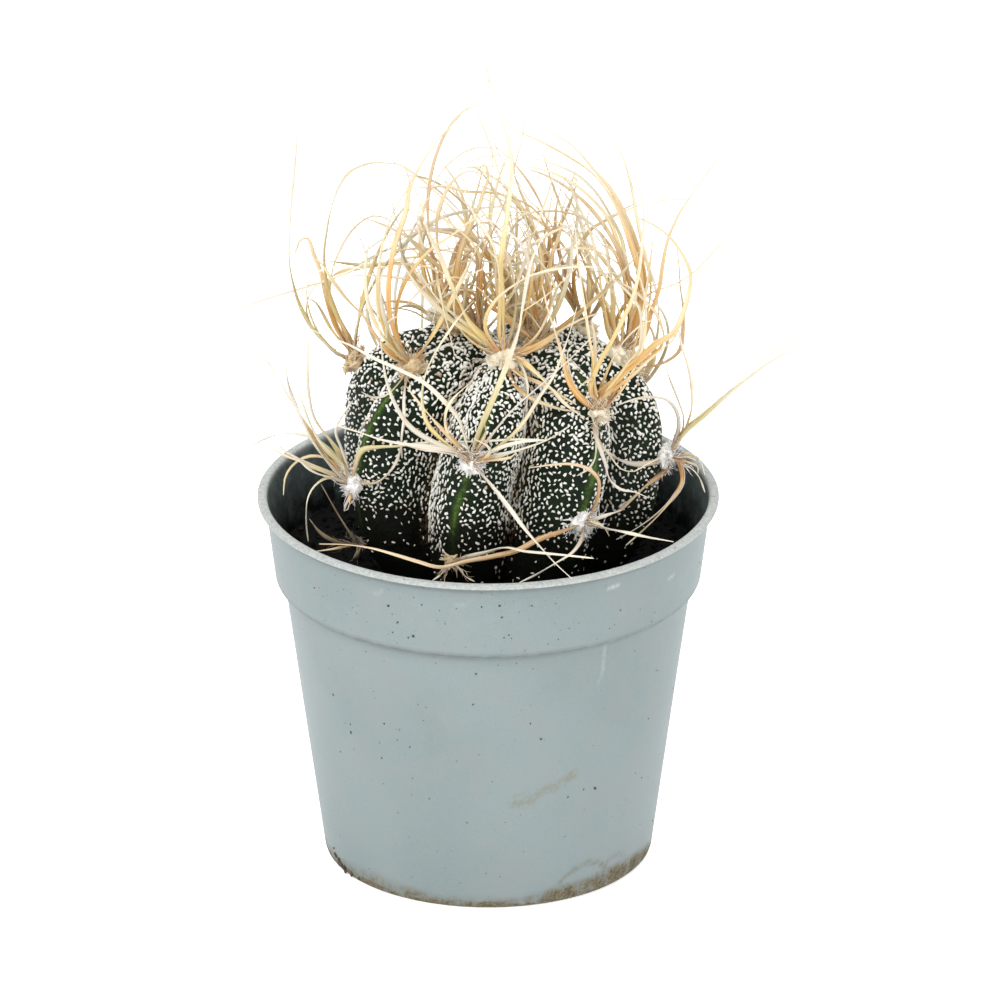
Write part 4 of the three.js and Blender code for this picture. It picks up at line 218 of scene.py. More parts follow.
    [0.50, 'c', [6.23, 5.71, 79.07, 6.37, 5.05, 82.65, 6.11, 4.10, 86.16, 5.70, 3.36, 89.70, 4.51, 3.10, 93.13, 2.39, 2.84, 96.06, -0.74, 2.60, 97.87]],
    [0.71, 'c', [6.73, 7.94, 78.38, 7.47, 9.97, 81.21, 7.59, 12.32, 83.87, 7.11, 14.99, 86.17, 5.85, 16.99, 88.81, 3.94, 19.33, 90.65, 1.86, 21.87, 91.99, -0.90, 23.85, 93.05, -4.02, 25.46, 93.65]],
    [0.81, 'c', [2.93, 6.82, 79.21, 1.25, 7.67, 83.25, 0.41, 8.86, 87.46, 0.40, 10.44, 91.63, 1.16, 12.46, 95.53, 2.57, 14.89, 98.98]],
    [0.57, 'm', [5.46, 8.21, 78.91, 5.56, 10.86, 81.77, 5.64, 14.12, 83.91, 5.64, 17.80, 85.19, 5.48, 21.68, 85.54, 5.13, 25.51, 84.95, 4.54, 29.06, 83.47, 3.65, 32.10, 81.20]],
    [0.71, 'm', [4.40, 4.73, 78.57, 4.38, 3.22, 81.74, 5.38, 1.75, 84.76, 7.35, 0.31, 87.28, 9.85, -1.40, 89.05, 12.75, -3.15, 89.98, 15.84, -4.81, 89.91]],
  ],
  "spines_rib5_middle": [
    [0.58, 'm', [21.61, 19.88, 62.06, 21.84, 23.44, 62.75, 21.50, 26.70, 64.31, 20.54, 29.40, 66.54, 18.95, 31.32, 69.18, 16.80, 32.40, 71.91]],
    [0.58, 'm', [20.65, 19.55, 64.96, 20.51, 22.25, 68.11, 20.68, 24.33, 71.69, 21.27, 25.79, 75.53, 22.41, 26.67, 79.42]],
    [0.77, 'w', [20.64, 18.69, 65.12, 19.72, 20.57, 68.10, 18.21, 21.84, 71.16, 16.17, 22.45, 74.11, 13.71, 22.36, 76.80, 10.95, 21.59, 79.05, 8.03, 20.22, 80.72]],
    [0.80, 'c', [22.64, 17.26, 65.75, 23.71, 17.93, 69.44, 24.04, 18.41, 73.31, 23.59, 18.82, 77.17, 22.37, 19.26, 80.86, 20.46, 19.84, 84.22]],
    [0.50, 'c', [23.15, 16.08, 65.17, 24.69, 15.32, 68.33, 25.37, 14.11, 71.65, 25.09, 12.61, 74.90, 23.87, 11.00, 77.87, 21.77, 9.49, 80.37, 18.99, 8.20, 82.25]],
    [0.73, 'c', [21.67, 19.30, 64.94, 21.65, 22.13, 67.76, 20.87, 24.68, 70.74, 19.36, 26.86, 73.74, 17.18, 28.56, 76.63, 14.43, 29.72, 79.30, 11.23, 30.28, 81.63, 7.69, 30.27, 83.50]],
  ],
  "spines_rib5_upper": [
    [0.85, 'g', [11.77, 13.19, 77.67, 9.99, 12.66, 81.58, 8.26, 11.81, 85.45, 6.56, 10.62, 89.25, 4.90, 8.89, 92.83, 3.24, 6.94, 96.29, 1.16, 5.33, 99.71]],
    [0.71, 'm', [15.45, 12.04, 77.28, 16.63, 10.34, 80.90, 17.10, 8.36, 84.54, 16.84, 6.18, 88.08, 15.87, 3.88, 91.42, 14.22, 1.55, 94.46, 11.86, -0.63, 97.12, 8.99, -2.70, 99.32]],
    [0.80, 'm', [14.10, 15.58, 76.59, 14.23, 17.12, 79.80, 13.97, 17.90, 83.27, 13.30, 17.91, 86.77, 12.20, 17.17, 90.08, 10.70, 15.74, 92.99, 8.84, 13.76, 95.30]],
    [0.84, 'g', [13.80, 11.88, 77.27, 13.38, 10.53, 80.82, 12.37, 9.39, 84.32, 10.79, 8.50, 87.67, 8.61, 7.98, 90.76, 5.91, 7.19, 93.31, 3.21, 6.53, 95.90, -0.16, 6.45, 97.69, -3.74, 6.28, 98.99]],
    [0.89, 'c', [11.73, 15.15, 76.60, 9.88, 16.52, 79.65, 8.16, 17.55, 82.89, 6.59, 18.05, 86.34, 5.39, 18.86, 89.84, 4.24, 17.66, 93.26, 3.39, 16.84, 96.89]],
    [0.68, 'b', [12.27, 12.27, 77.88, 11.10, 10.77, 81.94, 10.19, 9.03, 85.96, 9.41, 7.50, 90.07, 9.41, 4.58, 93.45, 9.62, 2.01, 97.10, 10.22, -0.61, 100.68, 11.24, -3.29, 104.12]],
  ],
  "spines_rib6_low": [
    [0.95, 'c', [7.56, 25.32, 49.77, 8.10, 27.06, 52.28, 8.47, 27.97, 55.21, 8.75, 27.97, 58.30]],
    [0.53, 'w', [4.59, 25.04, 47.74, 2.45, 27.03, 48.62, 0.61, 28.62, 50.46]],
    [0.60, 'm', [7.43, 24.69, 49.61, 7.98, 25.84, 51.77, 8.11, 26.40, 54.21]],
    [0.60, 'm', [5.91, 25.92, 49.81, 5.59, 28.49, 52.34, 5.87, 30.50, 55.35]],
  ],
  "spines_rib6_middle": [
    [0.62, 'w', [5.09, 27.19, 68.95, 4.63, 28.45, 72.87, 4.18, 28.95, 76.95, 3.66, 28.66, 81.04, 3.03, 27.60, 84.99, 2.21, 25.85, 88.65]],
    [0.72, 'w', [4.79, 28.41, 67.86, 3.45, 30.98, 70.79, 1.69, 32.79, 74.04, -0.40, 33.74, 77.46, -2.68, 33.79, 80.89, -5.01, 32.91, 84.17, -7.26, 31.15, 87.14, -9.31, 28.61, 89.66]],
    [0.63, 'c', [3.65, 28.47, 67.00, 1.68, 31.31, 69.24, -0.33, 33.63, 71.99, -2.39, 35.35, 75.12, -4.50, 36.39, 78.50, -6.67, 36.71, 81.99, -8.93, 36.37, 85.42]],
    [0.70, 'w', [7.44, 27.25, 68.25, 9.16, 28.61, 71.56, 10.65, 29.21, 75.19, 11.79, 29.01, 78.99, 12.46, 28.07, 82.79, 12.59, 26.46, 86.41, 12.10, 24.29, 89.70, 10.99, 21.71, 92.51, 9.27, 18.89, 94.72]],
    [0.53, 'w', [6.80, 25.80, 69.14, 7.24, 26.32, 73.10, 6.90, 26.77, 77.09, 5.79, 27.15, 80.94, 3.97, 27.44, 84.51]],
    [0.78, 'm', [4.29, 26.83, 68.52, 3.20, 27.62, 72.06, 2.54, 27.54, 75.79, 2.44, 26.66, 79.47, 3.01, 25.10, 82.88, 4.30, 23.05, 85.79, 6.26, 20.72, 88.04]],
  ],
  "spines_rib6_upper": [
    [0.50, 'c', [0.73, 16.48, 77.44, 0.25, 16.97, 81.51, 0.31, 17.13, 85.64, 0.19, 17.54, 89.76, 0.47, 18.10, 93.84, 0.54, 18.77, 97.92, 0.34, 19.47, 101.99, 0.20, 20.11, 106.08, -0.11, 20.67, 110.17]],
    [0.50, 'c', [3.82, 16.66, 78.48, 4.03, 16.95, 81.95, 3.94, 16.95, 85.44, 4.03, 17.30, 88.91, 3.91, 18.77, 92.03, 3.66, 20.43, 95.08, 3.20, 21.67, 98.31, 2.77, 22.62, 101.64]],
    [0.55, 'm', [2.64, 16.30, 77.33, 2.64, 16.43, 79.87, 3.19, 16.11, 82.36, 4.01, 15.56, 84.73, 5.66, 14.94, 86.58, 7.97, 14.91, 87.62, 10.42, 15.48, 88.15, 12.88, 15.99, 87.73, 14.98, 16.48, 86.36, 16.42, 16.83, 84.26]],
    [0.65, 'b', [6.18, 15.55, 77.98, 7.76, 15.21, 81.28, 8.49, 14.84, 84.87, 8.32, 14.60, 88.53, 7.30, 14.63, 92.07, 5.54, 15.02, 95.27, 3.19, 15.87, 97.97, 0.45, 17.14, 100.08]],
    [0.92, 'm', [3.42, 15.49, 78.32, 2.35, 15.08, 81.35, 0.68, 14.58, 84.07, -1.63, 14.31, 86.31, -4.26, 13.70, 88.01, -6.70, 11.88, 89.07, -9.51, 10.50, 89.80, -12.40, 9.10, 89.97, -15.12, 7.47, 89.33, -17.53, 5.68, 88.12]],
    [0.61, 'g', [2.61, 16.43, 79.23, 1.08, 16.47, 83.29, -0.69, 15.86, 87.19, -2.74, 14.76, 90.84, -4.85, 12.77, 94.05, -7.19, 10.41, 96.83, -9.53, 7.47, 98.99, -11.95, 4.24, 100.55]],
    [0.66, 'g', [5.76, 16.48, 78.60, 7.52, 16.52, 82.20, 9.12, 16.00, 85.85, 10.45, 14.75, 89.41, 11.45, 12.78, 92.76, 12.10, 10.21, 95.76, 12.34, 7.10, 98.28, 12.31, 3.61, 100.25, 11.88, -0.03, 101.85, 10.91, -3.87, 102.50]],
  ],
  "spines_rib7_middle": [
    [0.83, 'w', [-11.91, 25.52, 63.14, -12.95, 27.79, 65.97, -13.31, 29.61, 69.27, -13.06, 30.77, 72.86, -12.30, 31.16, 76.54, -11.17, 30.70, 80.11, -9.83, 29.37, 83.38, -8.45, 27.24, 86.19]],
    [0.82, 'w', [-11.07, 23.67, 63.62, -12.09, 23.58, 66.37, -13.09, 22.67, 68.98, -13.90, 21.02, 71.26, -14.37, 18.75, 73.06, -14.37, 16.08, 74.29, -13.84, 13.26, 74.89]],
    [0.85, 'c', [-13.06, 24.30, 62.36, -15.29, 25.66, 64.64, -16.72, 26.86, 67.56, -17.26, 27.72, 70.87, -16.90, 28.08, 74.30, -15.72, 27.85, 77.55]],
    [0.77, 'c', [-9.72, 25.80, 63.63, -9.46, 28.08, 66.83, -9.34, 29.71, 70.41, -9.32, 30.63, 74.24, -9.32, 30.78, 78.18, -9.28, 30.17, 82.07, -9.12, 28.86, 85.78]],
    [0.54, 'c', [-11.78, 24.92, 63.33, -12.75, 26.55, 66.24, -13.01, 27.89, 69.44, -12.47, 28.94, 72.72, -11.15, 29.75, 75.83, -9.10, 30.40, 78.56, -6.43, 30.93, 80.73]],
    [0.55, 'c', [-11.78, 26.15, 63.39, -13.29, 28.67, 66.54, -14.76, 30.36, 70.22, -16.19, 31.13, 74.21, -17.60, 30.93, 78.28, -19.01, 29.77, 82.18, -20.44, 27.73, 85.70]],
  ],
  "spines_rib7_upper": [
    [0.45, 'c', [-7.86, 17.88, 77.79, -9.08, 18.31, 81.33, -11.53, 18.39, 83.83, -15.15, 18.28, 82.92, -18.35, 18.35, 80.94, -21.61, 18.55, 79.06, -25.08, 18.87, 77.63, -28.59, 19.22, 76.30, -32.09, 19.58, 74.96, -35.56, 19.90, 73.53]],
    [0.55, 'b', [-7.85, 16.78, 73.69, -9.32, 17.42, 74.54, -10.89, 17.92, 75.29, -12.68, 18.22, 75.46, -14.46, 18.47, 75.24, -16.12, 18.73, 74.55, -17.66, 19.00, 73.60]],
    [0.50, 'b', [-6.97, 17.00, 73.36, -7.23, 17.78, 72.53, -7.84, 18.59, 72.10, -8.51, 17.96, 72.72, -9.18, 17.30, 73.40, -10.15, 17.37, 74.03, -11.25, 17.55, 74.40, -12.40, 17.66, 74.58, -13.57, 17.74, 74.58, -14.71, 17.82, 74.34, -15.82, 17.81, 73.95]],
    [0.81, 'b', [-6.15, 16.88, 78.02, -5.37, 16.43, 81.53, -4.47, 14.99, 84.71, -3.46, 12.90, 87.51, -1.93, 10.90, 90.10, -0.51, 8.04, 91.81, 0.85, 4.80, 92.73, 2.17, 1.43, 92.87, 3.25, -1.98, 92.26]],
    [0.80, 'g', [-5.58, 15.38, 77.03, -4.82, 13.67, 79.50, -4.41, 11.54, 81.70, -4.33, 9.04, 83.53, -4.62, 6.26, 84.85, -5.48, 3.33, 85.13, -5.51, 0.32, 85.88, -6.28, -2.62, 85.80, -7.15, -5.36, 84.64, -7.88, -8.00, 83.18]],
    [0.59, 'm', [-8.02, 17.21, 77.12, -8.91, 17.32, 80.04, -9.32, 16.76, 82.99, -9.27, 15.40, 85.73, -8.70, 13.81, 88.26, -7.79, 11.48, 89.92, -7.39, 8.69, 91.07, -6.39, 5.82, 91.38]],
    [0.58, 'c', [-6.19, 20.01, 75.34, -5.42, 23.00, 77.00, -4.45, 25.41, 79.34, -3.39, 27.11, 82.22, -2.35, 27.98, 85.45, -1.45, 27.97, 88.83, -0.77, 27.13, 92.17]],
    [0.83, 'g', [-5.12, 19.44, 75.70, -3.85, 21.93, 77.67, -3.03, 24.03, 80.24, -2.80, 25.70, 83.22, -3.27, 26.92, 86.38, -4.45, 27.70, 89.50, -6.34, 28.12, 92.32]],
  ],
  "spines_rib8_crown": [
    [0.80, 'b', [-6.23, 5.55, 81.19, -7.44, 4.73, 84.81, -7.94, 4.09, 88.66, -8.36, 3.87, 92.58, -8.50, 3.54, 96.51, -8.13, 3.35, 100.43, -7.26, 3.11, 104.28, -5.79, 2.75, 107.90, -3.50, 2.28, 111.08, -0.18, 1.47, 112.98]],
    [1.10, 'g', [-5.35, 5.92, 79.46, -6.73, 5.94, 80.92, -7.30, 5.92, 82.87, -7.71, 5.67, 84.84, -8.03, 5.21, 86.80]],
    [0.90, 'g', [-3.65, 6.21, 79.95, -2.46, 6.44, 82.36, -1.75, 6.39, 84.96, -0.92, 6.28, 87.52, -0.18, 6.99, 90.01]],
    [0.67, 'g', [-5.83, 5.18, 81.74, -6.85, 3.80, 85.75, -7.75, 2.09, 89.66, -8.58, -0.18, 93.29, -9.17, -3.25, 96.34, -9.54, -6.83, 98.81, -9.68, -10.79, 100.63, -9.58, -15.01, 101.76, -9.24, -19.34, 102.18]],
    [0.76, 'm', [-7.63, 5.82, 80.05, -9.92, 5.60, 83.11, -11.48, 4.91, 86.53, -12.27, 3.62, 90.04, -12.31, 1.93, 93.48, -11.62, -0.26, 96.53, -10.33, -2.89, 98.99]],
    [0.52, 'm', [-2.97, 5.06, 81.39, -1.84, 4.44, 85.49, -1.39, 3.92, 89.72, -1.63, 3.28, 93.95, -2.55, 2.69, 98.11, -4.13, 2.21, 102.07]],
    [0.58, 'm', [-1.76, 3.58, 79.58, 1.11, 1.63, 81.92, 3.48, -0.41, 84.69, 4.98, -3.08, 87.53, 5.60, -6.17, 90.28, 5.52, -8.87, 93.47, 4.62, -11.45, 96.64, 2.99, -14.02, 99.51, 0.70, -16.39, 102.10, -2.15, -18.47, 104.35]],
  ],
  "spines_rib8_upper": [
    [0.60, 'm', [-21.95, 9.02, 72.03, -24.51, 9.20, 74.75, -26.25, 9.20, 78.06, -27.36, 9.14, 81.64, -27.97, 8.77, 85.31, -27.97, 8.09, 89.00, -27.79, 7.34, 92.67, -27.52, 6.76, 96.36, -27.20, 6.50, 100.09, -26.89, 6.63, 103.82, -26.69, 7.06, 107.54]],
    [0.50, 'm', [-21.46, 9.36, 71.41, -23.43, 9.93, 73.34, -25.11, 10.06, 75.61, -25.57, 10.16, 78.36, -24.53, 10.40, 80.95, -22.07, 10.46, 82.26, -19.43, 10.58, 83.27, -16.99, 10.79, 84.68, -14.68, 11.01, 86.30, -12.32, 11.22, 87.84, -9.73, 11.33, 88.97]],
    [1.00, 'g', [-19.97, 9.59, 72.50, -21.21, 10.16, 74.44, -22.09, 10.47, 76.62, -22.65, 10.55, 78.93, -23.13, 10.68, 81.25, -23.73, 10.88, 83.54, -24.55, 10.92, 85.78, -25.26, 10.94, 88.04, -26.38, 10.72, 88.02, -27.28, 10.46, 85.84]],
    [0.75, 'c', [-19.78, 9.66, 73.67, -21.29, 9.99, 76.72, -22.36, 9.97, 79.96, -22.95, 9.94, 83.32, -23.06, 9.73, 86.73, -22.69, 9.21, 90.09, -22.13, 8.61, 93.41, -21.17, 8.19, 96.66, -19.37, 8.16, 99.51, -16.27, 8.45, 100.70, -12.93, 8.98, 100.32]],
    [0.95, 'g', [-19.49, 10.20, 72.84, -20.69, 11.23, 75.10, -21.72, 11.79, 77.60, -22.51, 12.22, 80.21, -21.13, 12.75, 81.98, -18.48, 13.18, 82.64, -15.78, 13.74, 82.90, -13.15, 14.58, 82.87, -10.59, 15.54, 82.45, -8.20, 16.73, 81.72]],
    [0.65, 'c', [-18.49, 10.87, 74.09, -17.74, 12.39, 77.86, -16.67, 13.17, 81.77, -15.29, 13.17, 85.67, -13.68, 12.39, 89.40, -11.88, 10.88, 92.79, -9.96, 8.67, 95.71, -8.00, 5.88, 98.04, -6.07, 2.61, 99.68]],
    [0.94, 'm', [-18.67, 8.73, 74.17, -17.89, 9.00, 77.69, -16.56, 9.56, 81.01, -14.69, 10.34, 84.01, -12.34, 11.17, 86.63, -9.72, 11.61, 89.09, -6.69, 12.35, 90.71, -3.31, 13.53, 91.21, 0.19, 14.40, 91.49, 3.77, 14.87, 91.22]],
  ],
}


# ------------------------------------------------------------------ helpers
def smooth(a, b, x):
    t = np.clip((x - a) / (b - a), 0, 1)
    return t * t * (3 - 2 * t)


def make_mesh(name, verts, faces, slots, attrs=None, face_slot=None, flat=False):
    """verts in mm; faces is a list of (M, k) index arrays."""
    me = bpy.data.meshes.new(name)
    verts = np.asarray(verts, float)
    me.vertices.add(len(verts))
    me.vertices.foreach_set("co", (verts * MM).astype(np.float32).ravel())
    loops = np.concatenate([np.asarray(f).ravel() for f in faces]).astype(np.int32)
    sizes = np.concatenate([np.full(len(f), np.asarray(f).shape[1]) for f in faces]).astype(np.int32)
    me.loops.add(len(loops))
    me.loops.foreach_set("vertex_index", loops)
    me.polygons.add(len(sizes))
    me.polygons.foreach_set("loop_start", np.concatenate([[0], np.cumsum(sizes)[:-1]]).astype(np.int32))
    if face_slot is not None:
        me.polygons.foreach_set("material_index", np.asarray(face_slot, np.int32))
    me.update(calc_edges=True)
    me.polygons.foreach_set("use_smooth", np.full(len(sizes), not flat))
    for m in slots:
        me.materials.append(m)
    for key, (kind, values) in (attrs or {}).items():
        a = me.attributes.new(key, kind, "POINT")
        if kind == "FLOAT":
            a.data.foreach_set("value", np.asarray(values, np.float32).ravel())
        elif kind == "FLOAT_VECTOR":
            a.data.foreach_set("vector", np.asarray(values, np.float32).ravel())
        else:
            v = np.ones((len(verts), 4), np.float32)
            v[:, :3] = values
            a.data.foreach_set("color", v.ravel())
    me.validate()
    o = bpy.data.objects.new(name, me)
    bpy.context.scene.collection.objects.link(o)
    return o


class Parts:
    """Collects surfaces that end up in one mesh."""

    def __init__(self):
        self.v, self.f, self.s, self.a, self.n = [], [], [], {}, 0

    def add(self, v, faces, slot=0, **attrs):
        self.v.append(np.asarray(v, float))
        for f in faces:
            f = np.asarray(f)
            if len(f):
                self.f.append(f + self.n)
                self.s.append(np.full(len(f), slot))
        for k, x in attrs.items():
            self.a.setdefault(k, []).append((self.n, np.asarray(x, float)))
        self.n += len(v)

    def build(self, name, slots, kinds, flat=False):
        attrs = {}
        for k, kind in kinds.items():
            width = 1 if kind == "FLOAT" else 3
            out = np.zeros((self.n, width))
            for start, x in self.a.get(k, []):
                out[start:start + len(x)] = x.reshape(len(x), width)
            attrs[k] = (kind, out if width > 1 else out[:, 0])
        # faces of one size stay together in one array, in the order they were added
        return make_mesh(name, np.vstack(self.v), self.f, slots, attrs, np.concatenate(self.s), flat)


def lathe(profile, n):
    """A closed surface of revolution from (r, z) rows that start and end on the axis."""
    prof = np.asarray(profile, float)
    inner = prof[1:-1]
    th = np.arange(n) * 2 * np.pi / n
    ring = np.stack([np.outer(inner[:, 0], np.sin(th)), np.outer(inner[:, 0], -np.cos(th)),
                     np.repeat(inner[:, 1:2], n, 1)], -1).reshape(-1, 3)
    v = np.vstack([ring, [[0, 0, prof[0, 1]], [0, 0, prof[-1, 1]]]])
    i, j = np.meshgrid(np.arange(len(inner) - 1), np.arange(n), indexing="ij")
    a, b = i * n + j, i * n + (j + 1) % n
    quads = np.stack([a, b, b + n, a + n], -1).reshape(-1, 4)
    j = np.arange(n)
    k, last = len(inner) * n, (len(inner) - 1) * n
    caps = np.vstack([np.stack([np.full(n, k), (j + 1) % n, j], -1),
                      np.stack([np.full(n, k + 1), last + j, last + (j + 1) % n], -1)])
    return v, quads, caps


def spread(points, step):
    """Adds points along a profile so that no stretch is longer than step."""
    out = [points[0]]
    for p, q in zip(points[:-1], points[1:]):
        n = max(1, int(math.ceil(math.dist(p, q) / step)))
        out += [(p[0] + (q[0] - p[0]) * k / n, p[1] + (q[1] - p[1]) * k / n) for k in range(1, n + 1)]
    return out


def cat(table, t):
    """Catmull-Rom reading of a profile table at fractional stations."""
    t = np.clip(np.asarray(t, float), 0, len(table) - 1 - 1e-6)
    i = np.floor(t).astype(int)
    f = (t - i)[..., None]
    n = len(table) - 1
    p0, p1, p2, p3 = (table[np.clip(i + k, 0, n)] for k in (-1, 0, 1, 2))
    return 0.5 * (2 * p1 + (p2 - p0) * f + (2 * p0 - 5 * p1 + 4 * p2 - p3) * f ** 2
                  + (-p0 + 3 * p1 - 3 * p2 + p3) * f ** 3)


W = np.array([math.sin(math.radians(LEAN_RIGHT)), math.sin(math.radians(LEAN_BACK)), 1.0])
W /= np.linalg.norm(W)
U = np.array([1.0, 0, 0]) - W[0] * W
U /= np.linalg.norm(U)
V = np.cross(W, U)


def twist(h):
    return 8.0 * np.clip((h - 18) / 14, -0.4, 1)


def plant_point(r, az, h):
    a = np.radians(az)
    return STEM_FOOT + (r * np.sin(a))[..., None] * U - (r * np.cos(a))[..., None] * V + h[..., None] * W


def flank(u):
    return 1 - (0.35 * u + 0.65 * u ** 2.2)


def wobble(p, scale, seed):
    """Cheap smooth noise in about -1..1, the same on every run."""
    g = np.random.default_rng(seed)
    out = np.zeros(p.shape[:-1])
    for _ in range(6):
        k = g.normal(size=3)
        k *= g.uniform(0.6, 1.7) / np.linalg.norm(k) * scale
        out += np.sin(p @ k + g.uniform(0, 6.28))
    return out / 3.2


def skin(c, t):
    """The stem's surface: c runs 0..8 round the ribs, with crests at whole numbers; t is the profile station."""
    c, t = np.broadcast_arrays(np.asarray(c, float), np.asarray(t, float))
    k = np.floor(c).astype(int) % 8
    f = c - np.floor(c)
    az = np.array(RIB_AZIMUTH)
    a = az[k]
    b = az[(k + 1) % 8] + np.where(k == 7, 360, 0)
    u = 1 - np.abs(2 * f - 1)
    g = flank(u)
    rc, hc = np.moveaxis(cat(CREST, t), -1, 0)
    rf, hf = np.moveaxis(cat(FURROW, t), -1, 0)
    r = np.maximum(rf + (rc - rf) * g, 0)
    h = hf + (hc - hf) * g
    # a slightly uneven, plump flank
    r = r + 0.35 * np.sin(np.pi * u) * smooth(4.5, 7, t) * smooth(15.5, 13, t)
    p = plant_point(r, a + (b - a) * f + twist(h), h)
    return p


def unit(v):
    return v / np.maximum(np.linalg.norm(v, axis=-1, keepdims=True), 1e-9)


def srgb(r, g, b):
    c = np.array([r, g, b]) / 255.0
    return np.where(c <= 0.04045, c / 12.92, ((c + 0.055) / 1.055) ** 2.4)


# ------------------------------------------------------------------ materials
class Nodes:
    def __init__(self, name):
        self.m = bpy.data.materials.new(name)
        self.m.use_nodes = True
        self.t = self.m.node_tree
        self.b = self.t.nodes["Principled BSDF"]
        self.obj = None

    def n(self, kind, **k):
        x = self.t.nodes.new(kind)
        for key, v in k.items():
            setattr(x, key, v)
        return x

    def put(self, socket, v):
        if hasattr(v, "is_output"):
            self.t.links.new(v, socket)
        elif hasattr(v, "__len__") and len(v) == 3 and socket.type == "RGBA":
            socket.default_value = (*v, 1)
        else:
            socket.default_value = v

    def at(self):
        """Object coordinates in millimetres."""
        if self.obj is None:
            c = self.n("ShaderNodeTexCoord")
            s = self.n("ShaderNodeVectorMath", operation="SCALE")
            self.t.links.new(c.outputs["Object"], s.inputs[0])
            s.inputs["Scale"].default_value = 1000.0
            self.obj = s.outputs[0]
        return self.obj

    def scaled(self, v, sx, sy, sz):
        s = self.n("ShaderNodeVectorMath", operation="MULTIPLY")
        self.put(s.inputs[0], v)
        s.inputs[1].default_value = (sx, sy, sz)
        return s.outputs[0]

    def noise(self, scale, detail=3.0, rough=0.55, vec=None, distortion=0.0):
        x = self.n("ShaderNodeTexNoise")
        self.put(x.inputs["Vector"], vec if vec is not None else self.at())
        x.inputs["Scale"].default_value = scale
        x.inputs["Detail"].default_value = detail
        x.inputs["Roughness"].default_value = rough
        x.inputs["Distortion"].default_value = distortion
        return x.outputs["Fac"]

    def voronoi(self, scale, vec=None, feature="F1", out="Distance"):
        x = self.n("ShaderNodeTexVoronoi", feature=feature)
        self.put(x.inputs["Vector"], vec if vec is not None else self.at())
        x.inputs["Scale"].default_value = scale
        return x.outputs[out]

    def math(self, op, a, b=0.5, c=None, clamp=False):
        x = self.n("ShaderNodeMath", operation=op, use_clamp=clamp)
        self.put(x.inputs[0], a)
        self.put(x.inputs[1], b)
        if c is not None:
            self.put(x.inputs[2], c)
        return x.outputs[0]

    def remap(self, v, a, b, c=0.0, d=1.0, kind="SMOOTHSTEP"):
        x = self.n("ShaderNodeMapRange", interpolation_type=kind)
        self.put(x.inputs["Value"], v)
        for s, y in zip(("From Min", "From Max", "To Min", "To Max"), (a, b, c, d)):
            x.inputs[s].default_value = y
        return x.outputs["Result"]

    def mix(self, f, a, b, mode="MIX"):
        x = self.n("ShaderNodeMix", data_type="RGBA", blend_type=mode)
        self.put(x.inputs[0], f)
        self.put(x.inputs[6], a)
        self.put(x.inputs[7], b)
        return x.outputs[2]

    def attr(self, name, out="Fac"):
        x = self.n("ShaderNodeAttribute", attribute_name=name)
        return x.outputs[out]

    def axis(self, which):
        x = self.n("ShaderNodeSeparateXYZ")
        self.put(x.inputs[0], self.at())
        return x.outputs[which]

    def bump(self, height, strength, distance, normal=None):
        x = self.n("ShaderNodeBump")
        self.put(x.inputs["Height"], height)
        x.inputs["Strength"].default_value = strength
        x.inputs["Distance"].default_value = distance
        if normal is not None:
            self.put(x.inputs["Normal"], normal)
        return x.outputs[0]

    def set(self, **k):
        for key, v in k.items():
            self.put(self.b.inputs[key.replace("_", " ")], v)
        return self.m


